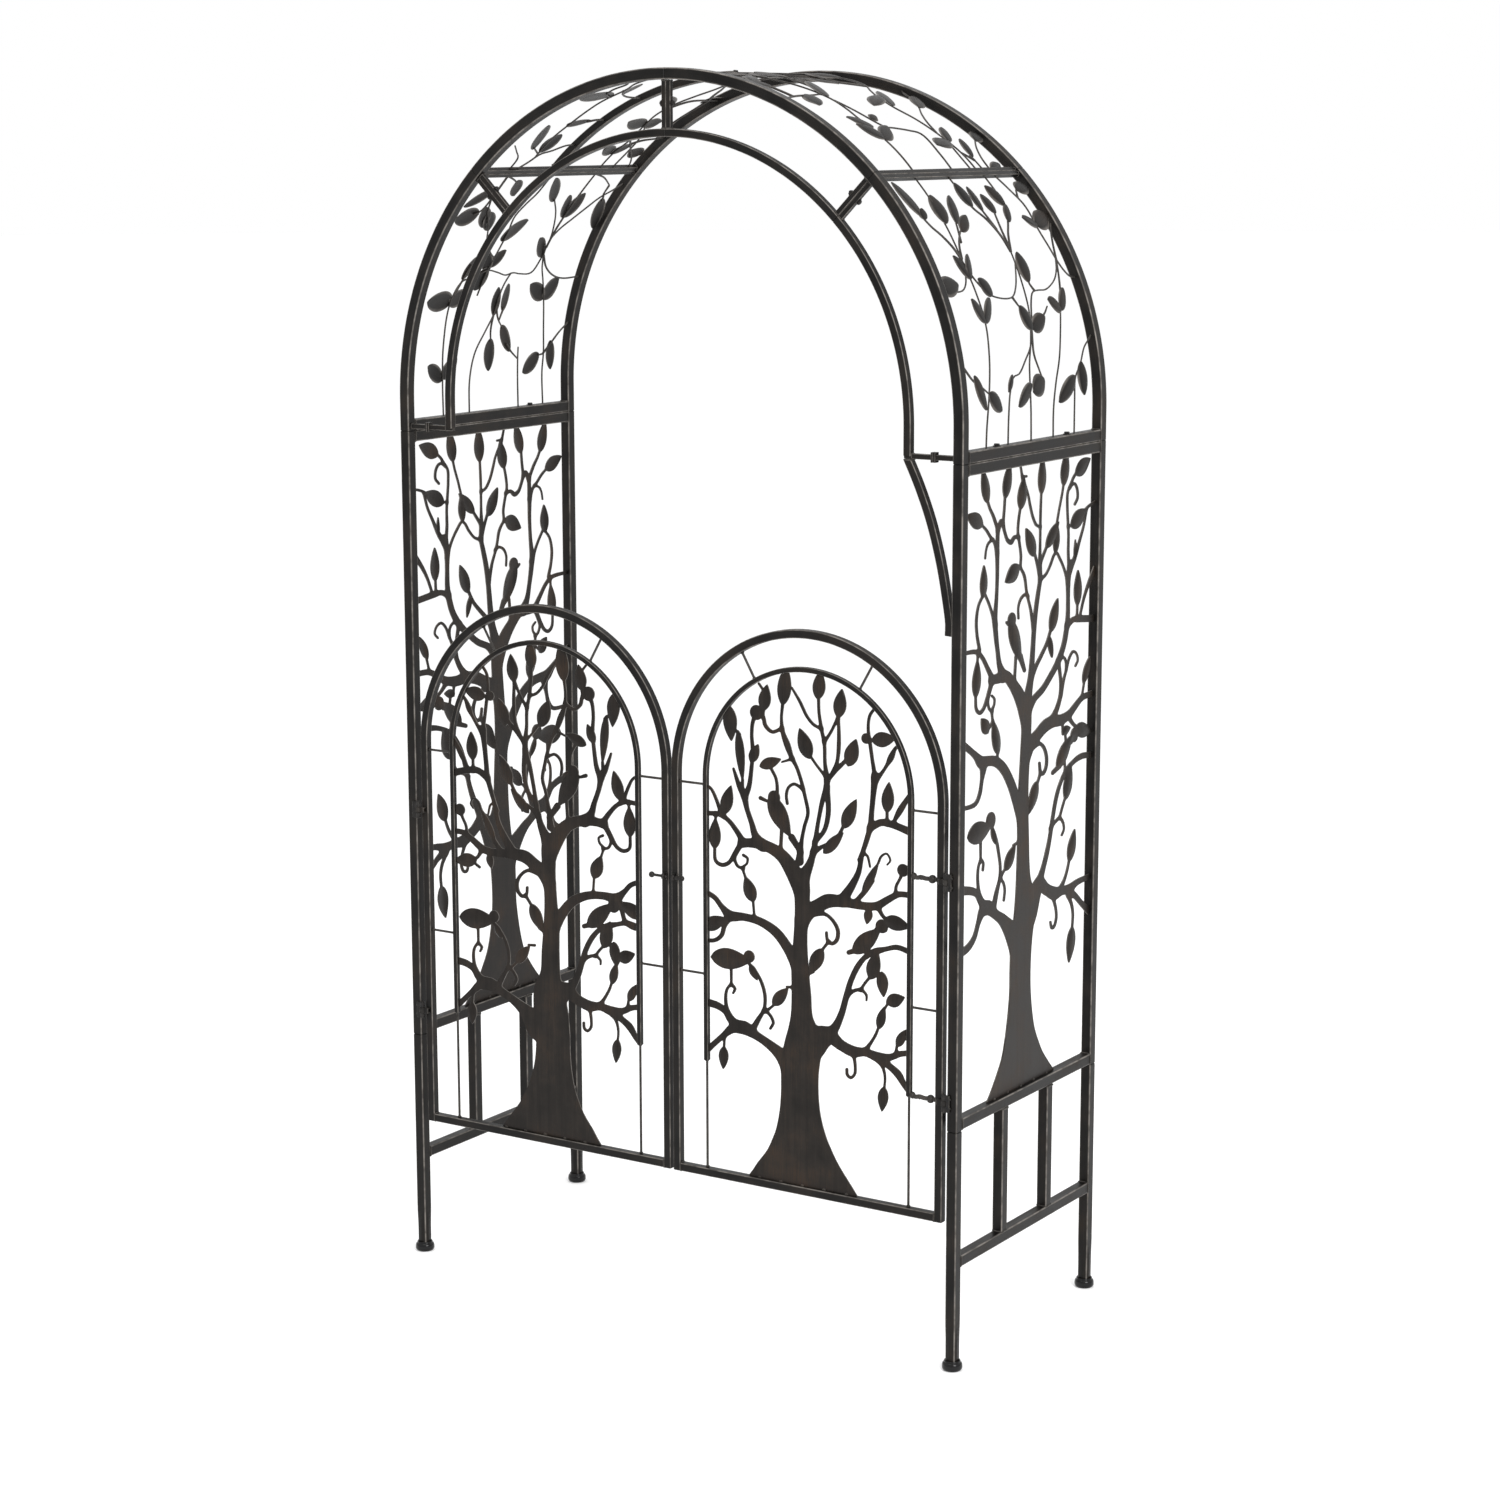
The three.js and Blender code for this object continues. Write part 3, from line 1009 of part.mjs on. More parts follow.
const HINGE_RADIUS = HINGE_DIAMETER / 2;
const TAB_INSET = 3.5;
const TAB_OVERLAP = 4;
const TAB_FRONT = HINGE_Y - 2.5;
const PIN_REACH = 2;                // the pin shows this far above and below its knuckles
const PLATE_REACH = 12;             // from the hinge line to the far edge of the plate

function upright(diameter, height, x, y, z, sides = BAR_SIDES) {
  const bar = roundBar(diameter, height, sides);
  bar.rotateX(Math.PI / 2);
  bar.translate(x, y, z);
  return bar;
}

// The gate's own half of a hinge: an eye on a tab welded to the front of the hinge stile.
function hingeEye(side, z) {
  const x = side * HINGE_X;
  const tabFrom = GATE_OUTER_X - TAB_OVERLAP * 2;
  const tabTo = HINGE_X - TAB_INSET;
  const tabBack = GATE_FRONT_Y + 1;
  const tab = box(
    tabTo - tabFrom,
    tabBack - TAB_FRONT,
    HINGE_EYE_HEIGHT,
    side * (tabFrom + tabTo) / 2,
    (tabBack + TAB_FRONT) / 2,
    z,
  );
  const eye = join([upright(HINGE_DIAMETER, HINGE_EYE_HEIGHT, x, HINGE_Y, z), tab].map(toSolid));
  return drill(eye, [upright(HINGE_BORE, 2 * HINGE_EYE_HEIGHT, x, HINGE_Y, z)]);
}

// The post's half: two knuckles joined by the pin, on a plate welded to the front of the post.
function hingePintle(side, z) {
  const x = side * HINGE_X;
  const knuckleHeight = (HINGE_HEIGHT - HINGE_EYE_HEIGHT) / 2 - GAP;
  const plateBack = -POST_Y - TUBE / 2 - GAP;
  const plateFront = TAB_FRONT - 0.5;
  const plateInner = HINGE_X + HINGE_RADIUS + GAP;
  const plateOuter = HINGE_X + PLATE_REACH;
  const pieces = [
    upright(HINGE_PIN, HINGE_HEIGHT + 2 * PIN_REACH, x, HINGE_Y, z),
    box(
      plateOuter - plateInner,
      plateBack - plateFront,
      HINGE_HEIGHT,
      side * (plateOuter + plateInner) / 2,
      (plateBack + plateFront) / 2,
      z,
    ),
  ];
  [-1, 1].forEach((end) => {
    const middle = z + end * (HINGE_HEIGHT - knuckleHeight) / 2;
    pieces.push(upright(HINGE_DIAMETER, knuckleHeight, x, HINGE_Y, middle));
    pieces.push(box(
      plateInner + 1 - HINGE_X,
      plateBack - plateFront,
      knuckleHeight,
      side * (HINGE_X + plateInner + 1) / 2,
      (plateBack + plateFront) / 2,
      middle,
    ));
  });
  return join(pieces.map(toSolid));
}

function gateFrame(side) {
  const line = new GateLine(GATE_RADIUS, GATE_BOTTOM_Z + GATE_TUBE / 2, -POST_Y);
  const arch = tubeAlong(line, squareSection(GATE_TUBE), GATE_STEPS + 2);
  const railZ = GATE_BOTTOM_Z + GATE_TUBE / 2;
  const half = GATE_WIDTH / 2;
  const rail = straightTube(GATE_TUBE, [-half, -POST_Y, railZ], [half, -POST_Y, railZ]);
  const frame = [arch, rail].map((geometry) => {
    geometry.translate(side * GATE_CENTRE_X, 0, 0);
    return toSolid(geometry);
  });
  return join([...frame, ...HINGE_Z.map((z) => hingeEye(side, z))]);
}

// Round spacer rods reach from the inner arch to just short of the frame around it.
const INNER_TUBE_END_Z = { left: 482, right: 476 };
const SPACER_Z = [634, 977];
const SPACER_TURN = [60, 120];
const SPACER_TO = GATE_RADIUS - GATE_TUBE / 2 - GAP;
const BUD_DIAMETER = 11;
const BUD_PLACE = 14;               // from the middle of its rod, towards the frame

function spacer(degrees) {
  const rod = roundBar(GATE_ROD, SPACER_TO - GATE_INNER_RADIUS, ROD_SIDES);
  rod.rotateZ(-Math.PI / 2);
  rod.translate((SPACER_TO + GATE_INNER_RADIUS) / 2, 0, 0);
  rod.rotateY(-THREE.MathUtils.degToRad(degrees));
  return rod.translate(0, -POST_Y, 0);
}

function innerArchOfGate(sideName, side) {
  const line = new GateLine(GATE_INNER_RADIUS, INNER_TUBE_END_Z[sideName], -POST_Y);
  const pieces = [tubeAlong(line, squareSection(GATE_INNER_TUBE), GATE_STEPS + 2)];
  const rodFoot = GATE_FLOOR_Z + GAP;
  const rodTop = INNER_TUBE_END_Z[sideName] + GATE_INNER_TUBE;
  [-1, 1].forEach((end) => {
    const rodX = end * GATE_INNER_RADIUS;
    const rodMiddle = (rodTop + rodFoot) / 2;
    pieces.push(upright(GATE_ROD, rodTop - rodFoot, rodX, -POST_Y, rodMiddle, ROD_SIDES));
    SPACER_Z.forEach((z) => pieces.push(spacer(end > 0 ? 0 : 180).translate(0, 0, z)));
  });
  SPACER_TURN.forEach((degrees) => pieces.push(spacer(degrees).translate(0, 0, GATE_SPRING_Z)));
  if (side > 0) {
    HINGE_Z.forEach((z) => {
      pieces.push(spacer(0).translate(0, 0, z));
      const bud = new THREE.SphereGeometry(BUD_DIAMETER / 2, 8, 5);
      pieces.push(bud.translate((GATE_INNER_RADIUS + SPACER_TO) / 2 + BUD_PLACE, -POST_Y, z));
    });
  }
  const whole = join(pieces.map(toSolid));
  return whole.translate([side * GATE_CENTRE_X, 0, 0]);
}

const sheetHalf = GATE_INNER_RADIUS - GATE_INNER_TUBE / 2 - 2 * GAP;
const lowSheetHalf = GATE_INNER_RADIUS - GATE_ROD / 2 - GAP;
const sheetSpring = GATE_SPRING_Z - GATE_FLOOR_Z;
const lowSheetTop = INNER_TUBE_END_Z.right - GATE_FLOOR_Z - 2 * GAP;
const windowTop = roundBar(2 * sheetHalf, 2 * SHEET, 2 * GATE_STEPS);
windowTop.rotateX(Math.PI / 2);
windowTop.translate(0, sheetSpring, 0);
const gateWindow = join([
  toSolid(box(2 * lowSheetHalf, lowSheetTop - GAP, 2 * SHEET, 0, (lowSheetTop + GAP) / 2, 0)),
  toSolid(box(2 * sheetHalf, sheetSpring - GAP, 2 * SHEET, 0, (sheetSpring + GAP) / 2, 0)),
  toSolid(windowTop),
]);
// Both trees share their low limbs; the left one has its crown turned over and a lower middle limb.
const LIMB_ROOT = 276;
const LIMB_LOWERED = 0.83;
const crown = cutSheet(GATE_CROWN);
const lowLimbs = cutSheet(GATE_LOW_LIMBS);
const middleLimb = cutSheet(GATE_MIDDLE_LIMB);
const loweredLimb = middleLimb.translate([0, -LIMB_ROOT, 0]).scale([1, LIMB_LOWERED, 1]);
const gateTrees = {
  left: join([crown.mirror([1, 0, 0]), lowLimbs, loweredLimb.translate([0, LIMB_ROOT, 0])]),
  right: join([crown, lowLimbs, middleLimb]),
};

SIDES.forEach(([sideName, side]) => {
  addPiece(`gate_frame_${sideName}`, toGeometry(gateFrame(side)), BRONZE);
  addPiece(`gate_inner_arch_${sideName}`, toGeometry(innerArchOfGate(sideName, side)), BRONZE);
  const tree = toGeometry(gateTrees[sideName].intersect(gateWindow));
  tree.rotateX(Math.PI / 2);
  tree.translate(side * GATE_CENTRE_X, -POST_Y, GATE_FLOOR_Z);
  addPiece(`gate_tree_${sideName}`, tree, BRONZE_SHEET);
  HINGE_Z.forEach((z, index) => {
    const name = `hinge_pintle_${index === 0 ? 'lower' : 'upper'}_${sideName}`;
    addPiece(name, toGeometry(hingePintle(side, z)), STEEL);
  });
});

// ---------------------------------------------------------------- latch

const LATCH_RING = 11;
const LATCH_PLATE_FRONT = GATE_FRONT_Y - 3;
const LATCH_BACK = GATE_FRONT_Y - GAP;
const KEEPER_SLEEVE = 7.6;
const PLATE_HEIGHT = 14;
const BOLT_TIP_X = -3.5;
const BOLT_BALL_X = -36;
const KEEPER_BALL_X = 28;
const BALL = 10;
const KEEPER_BALL = 9;
const BLIND_END_X = 14;             // the keeper's bore stops here

function acrossBar(diameter, fromX, toX) {
  const bar = roundBar(diameter, toX - fromX);
  bar.rotateZ(-Math.PI / 2);
  bar.translate((fromX + toX) / 2, LATCH_Y, LATCH_Z);
  return bar;
}

function ball(diameter, x) {
  return new THREE.SphereGeometry(diameter / 2, 10, 6).translate(x, LATCH_Y, LATCH_Z);
}

function latchPlate(fromX, toX) {
  const middle = (LATCH_PLATE_FRONT + LATCH_BACK) / 2;
  const depth = LATCH_BACK - LATCH_PLATE_FRONT;
  return box(toX - fromX, depth, PLATE_HEIGHT, (fromX + toX) / 2, middle, LATCH_Z);
}

const behindLatch = box(CUTTER, CUTTER, CUTTER, 0, LATCH_BACK + CUTTER / 2, LATCH_Z);

const guide = drill(
  join([acrossBar(LATCH_RING, -13, -8), latchPlate(-15, -6)].map(toSolid)),
  [acrossBar(BOLT_BORE, -20, 0), behindLatch],
);
addPiece('latch_guide', toGeometry(guide), STEEL);

const latchBolt = join([
  acrossBar(BOLT_DIAMETER, BOLT_BALL_X, BOLT_TIP_X),
  ball(BALL, BOLT_BALL_X),
].map(toSolid));
addPiece('latch_bolt', toGeometry(latchBolt), STEEL);

const keeper = drill(
  join([
    acrossBar(LATCH_RING, 8.5, 13.5),
    acrossBar(KEEPER_SLEEVE, 6, 26),
    latchPlate(7, 16),
    ball(KEEPER_BALL, KEEPER_BALL_X),
  ].map(toSolid)),
  [acrossBar(BOLT_BORE, 0, BLIND_END_X), behindLatch],
);
addPiece('latch_keeper', toGeometry(keeper), STEEL);

export default model;
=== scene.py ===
import math
import random

import bpy
import numpy as np
from mathutils import Matrix, Vector, geometry


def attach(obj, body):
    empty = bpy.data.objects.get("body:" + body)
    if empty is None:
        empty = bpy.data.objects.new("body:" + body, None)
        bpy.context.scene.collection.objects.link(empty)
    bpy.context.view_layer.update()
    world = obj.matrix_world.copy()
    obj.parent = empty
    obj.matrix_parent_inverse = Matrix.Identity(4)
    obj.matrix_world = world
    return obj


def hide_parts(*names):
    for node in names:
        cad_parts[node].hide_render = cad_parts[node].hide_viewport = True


# The looks of the walk-through metal garden arch: rounded square tube, cut sheet trees with raised
# leaves, wire vines, weld beads, hinges, latch, foot caps, and brushed bronze powder coat.
# Sizes are in millimetres, as in the CAD source, until a mesh is made.

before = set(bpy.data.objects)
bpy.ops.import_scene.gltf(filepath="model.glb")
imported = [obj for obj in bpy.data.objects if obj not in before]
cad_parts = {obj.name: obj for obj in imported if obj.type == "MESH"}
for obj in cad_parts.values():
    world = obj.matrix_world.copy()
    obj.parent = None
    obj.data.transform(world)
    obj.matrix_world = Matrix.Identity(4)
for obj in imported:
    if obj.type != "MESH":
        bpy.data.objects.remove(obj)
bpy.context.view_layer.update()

MM = 0.001
SEED = 7
draw = random.Random(SEED)

# ---------------------------------------------------------------- sizes, as in the CAD

POST_X = 578
POST_Y = 248
GAP = 0.3
TUBE = 20
INNER_TUBE = 14
TIE_TUBE = 9
LOWER_RAIL_Z = 194
JOINT_Z = 428
PANEL_BOTTOM_Z = 439
SPRING_Z = 1566
SPRING_TIE_Z = 1575
ARCH_RADIUS = 578
ARCH_CENTRE_Z = 1622
STUB = ARCH_CENTRE_Z - SPRING_Z
INNER_STUB = ARCH_CENTRE_Z - SPRING_TIE_Z
INNER_RADIUS = 479
RIB_Y = -20
SHEET = 3
RAIL_HALF = POST_Y - TUBE / 2 - GAP
PANEL_TOP_Z = SPRING_Z - GAP - TUBE
PANEL_FLOOR_Z = PANEL_BOTTOM_Z + TUBE / 2
TIE_MIDDLE = (ARCH_RADIUS + INNER_RADIUS) / 2
TIE_OUTER_END = ARCH_RADIUS - TUBE / 2 - 3 * GAP

GATE_TUBE = 15
GATE_INNER_TUBE = 9
GATE_CENTRE_X = 280.5
GATE_RADIUS = 270
GATE_INNER_RADIUS = 208
GATE_BOTTOM_Z = 262
GATE_SPRING_Z = 990.5
GATE_FLOOR_Z = GATE_BOTTOM_Z + GATE_TUBE
GATE_ROD = 4.5
GATE_OUTER_X = 558
GATE_FRONT_Y = -POST_Y - GATE_TUBE / 2
INNER_TUBE_END_Z = {"left": 482, "right": 476}
SPACER_TO = GATE_RADIUS - GATE_TUBE / 2 - GAP

HINGE_Z = (478, 863)
HINGE_X = 563
HINGE_Y = -259
LATCH_Z = 804
LATCH_Y = GATE_FRONT_Y - 4.5

SIDES = (("left", -1), ("right", 1))
ENDS = (("front", -1), ("back", 1))

# ---------------------------------------------------------------- cut patterns

# A point of a stroke is how far across the sheet, how far up and how wide the metal is there. Across
# counts from the middle and up from the rail below, or from the foot of the arch for a vine. A leaf
# is across, up, its turn in degrees, length and width. A disc is across, up and radius.


def number_rows(text):
    """Rows of numbers, parted by commas."""
    return [tuple(float(number) for number in row.split()) for row in text.split(",") if row.strip()]


def cut_pattern(strokes, leaves, discs=""):
    """Reads a pattern whose strokes are parted by semicolons, and the points of a stroke by commas."""
    return {"strokes": [number_rows(stroke) for stroke in strokes.split(";")],
            "leaves": number_rows(leaves), "discs": number_rows(discs)}


GATE_CROWN = cut_pattern(
    strokes="""
-7 -14 250, -7 0 226, -7 14 205, -8 27 186, -8 53 146, -9 75 122, -10 95 104, -12 130 85, -13 165 77,
-13 205 76, -8 250 76, -5 285 62, -9 310 44, -10 350 39, -13 400 34, -12 450 27, -9 500 28, -9 540 32,
-12 572 30;
-20 400 24, -38 427 20, -62 452 18, -95 467 15, -130 471 14, -158 470 18, -176 484 10, -190 498 9,
-214 508 9;
-160 468 16, -170 450 9, -176 432 8, -190 421 7, -212 418 7;
-107 472 4, -110 504 4;
-126 543 4, -131 560 4, -123 567 4, -121 577 4, -130 582 5;
-129 558 4, -142 561 5, -148 574 5, -143 588 6, -134 602 7;
-134 602 9, -148 582 8, -160 565 7, -175 559 7, -188 565 6, -190 590 5;
-188 638 4, -187 650 5;
-12 535 30, -30 568 30, -50 590 24, -75 602 20, -100 606 18, -134 604 14;
-90 604 22, -105 620 14, -112 640 10, -122 665 9, -128 687 12, -138 704 9, -150 734 4;
-126 688 12, -118 705 9, -113 735 7, -110 770 7, -112 800 6, -108 825 7, -98 836 9, -88 830 7, -84 817 7,
-70 807 6, -50 815 6;
-128 603 12, -145 625 9, -160 640 8, -178 649 8, -214 648 8;
-176 649 6, -186 675 6, -198 694 5, -214 700 6;
-170 645 4, -168 660 4;
-90 832 5, -86 848 5;
-84 874 4, -97 889 4;
-157 838 6, -160 852 6;
-150 806 5, -137 796 5;
-131 716 5, -132 700 6;
-14 585 16, -10 620 7, -4 648 6, 3 672 6, -3 700 6, -10 725 6, -20 750 6, -30 766 8, -39 787 12,
-48 808 8, -51 832 5, -47 868 6;
-28 764 5, -50 756 3;
-8 713 5, -25 720 5, -37 712 5, -41 698 5, -39 684 5;
-50 645 6, -53 594 6;
-30 625 13, -12 602 9;
-66 690 9, -78 684 5, -94 688 7;
-66 686 5, -60 700 6, -62 725 5, -72 742 5;
-4 560 22, 10 590 13, 17 620 9, 23 655 7, 31 692 8, 41 728 10, 37 765 6, 36 795 6, 30 822 6, 25 850 5,
24 880 5;
17 622 8, 36 645 8, 44 675 9, 42 722 9;
41 732 8, 58 752 8, 72 765 7, 86 780 6;
36 800 6, 50 820 5, 66 852 5;
64 848 4, 65 800 7, 62 770 6, 54 750 6;
30 822 5, 14 828 5, 0 842 5, -14 866 5, -30 888 3;
8 772 4, 20 758 4, 40 738 5;
14 604 11, 35 618 6, 50 625 6, 65 640 6, 76 660 5;
-9 478 26, 5 497 26, 25 511 24, 45 522 24, 80 524 18, 110 522 14, 140 525 14, 165 540 12, 185 551 10,
214 552 10;
20 497 10, 40 497 6, 55 487 6, 64 472 7, 62 455 7, 52 447 6, 43 452 5, 41 465 5;
46 450 5, 36 438 5, 28 426 5;
14 392 6, -2 384 6;
145 522 8, 155 508 6, 168 503 5;
150 490 5, 168 500 4;
127 524 5, 126 510 5;
200 497 5, 214 493 5;
72 526 20, 92 555 14, 105 580 10, 112 612 8, 120 635 9, 128 662 10, 131 692 9, 134 722 10, 137 750 15;
137 750 8, 132 775 6, 127 805 6, 123 832 5, 126 854 5, 136 868 5;
128 812 4, 140 814 4;
138 746 12, 148 755 7, 160 772 6, 168 786 11, 176 802 6, 186 812 5;
128 660 12, 150 672 12, 175 670 12, 214 660 14;
161 670 5, 161 696 5;
172 672 4, 186 696 11, 200 718 8, 212 736 5;
106 602 5, 113 613 4, 122 611 4, 128 592 3;
178 549 5, 180 565 5, 188 580 5, 194 594 8, 214 602 9;
100 528 8, 118 548 9, 132 568 9;
144 600 4, 150 613 4, 161 619 3, 168 608 3, 162 600 3
""",
    leaves="""
-214 442 24 54 26, -109 502 112 46 26, -190 588 88 54 25, -170 652 74 54 24, -158 842 -86 60 27,
-140 800 -84 88 18, -113 750 66 36 19, -88 844 80 46 25, -48 858 84 70 27, -94 744 22 46 20,
-74 692 -58 78 34, 23 874 84 50 25, 6 769 112 54 28, 64 846 82 50 25, 84 764 72 50 27, 75 655 64 58 25,
36 606 46 56 20, 32 434 -118 54 25, 158 503 -8 50 26, 127 518 -100 28 17, 114 544 62 66 15,
132 812 10 46 26, 161 692 86 52 24
""",
    discs="""
-66 692 12, -102 838 13, 119 814 9, 193 594 11
""")

GATE_LOW_LIMBS = cut_pattern(
    strokes="""
-20 205 56, -52 232 26, -78 248 17, -102 259 16, -130 270 25, -152 266 18, -172 250 11, -192 232 10,
-214 211 12;
-140 270 20, -158 281 14, -168 294 12, -184 302 13, -214 306 14;
-112 268 12, -99 290 9, -88 308 6, -85 330 6, -90 352 6, -103 374 5, -122 391 5;
-150 276 10, -163 294 7, -168 315 6, -165 335 5, -156 344 5, -148 338 5, -152 330 4;
-156 344 4, -156 374 5;
-88 306 6, -78 311 5, -64 323 4;
-40 357 4, -26 358 5;
-84 307 5, -74 300 5, -68 288 5, -74 277 5;
-170 252 4, -172 226 4;
10 262 60, 45 282 30, 70 269 20, 95 261 20, 120 263 14, 150 258 18, 170 262 12, 190 271 10, 214 276 10;
150 256 16, 170 245 12, 186 234 14, 200 215 10, 214 204 14;
118 264 10, 130 280 6, 141 298 5, 148 316 4;
157 344 4, 168 362 4;
97 255 6, 100 235 5, 99 221 5, 91 213 5, 84 217 5, 83 227 5;
148 252 6, 157 238 5, 160 222 4, 158 202 4;
200 299 4, 214 304 5;
184 288 4, 180 266 5
""",
    leaves="""
-196 390 2 82 38, -116 386 -60 30 14, -68 321 48 46 22, -172 228 -92 41 20, 147 310 75 42 17,
163 358 22 38 24, 184 284 62 36 17, 158 206 -95 44 20
""",
    discs="""
-118 401 11
""")

GATE_MIDDLE_LIMB = cut_pattern(
    strokes="""
40 276 26, 60 300 16, 72 325 12, 80 352 11, 90 385 10, 105 415 10, 122 435 9, 140 445 12, 160 452 8,
183 458 9, 214 451 9;
83 358 6, 98 370 6, 112 373 5, 122 365 4, 122 356 3;
110 372 5, 118 385 5, 132 402 5;
136 404 5, 152 400 6;
114 447 10, 86 436 8;
140 480 10, 152 492 11, 160 484 4;
123 434 5, 124 458 5
""",
    leaves="""
130 396 74 52 27, 152 410 -84 44 22, 96 438 42 72 30
""",
    discs="""
152 491 12
""")

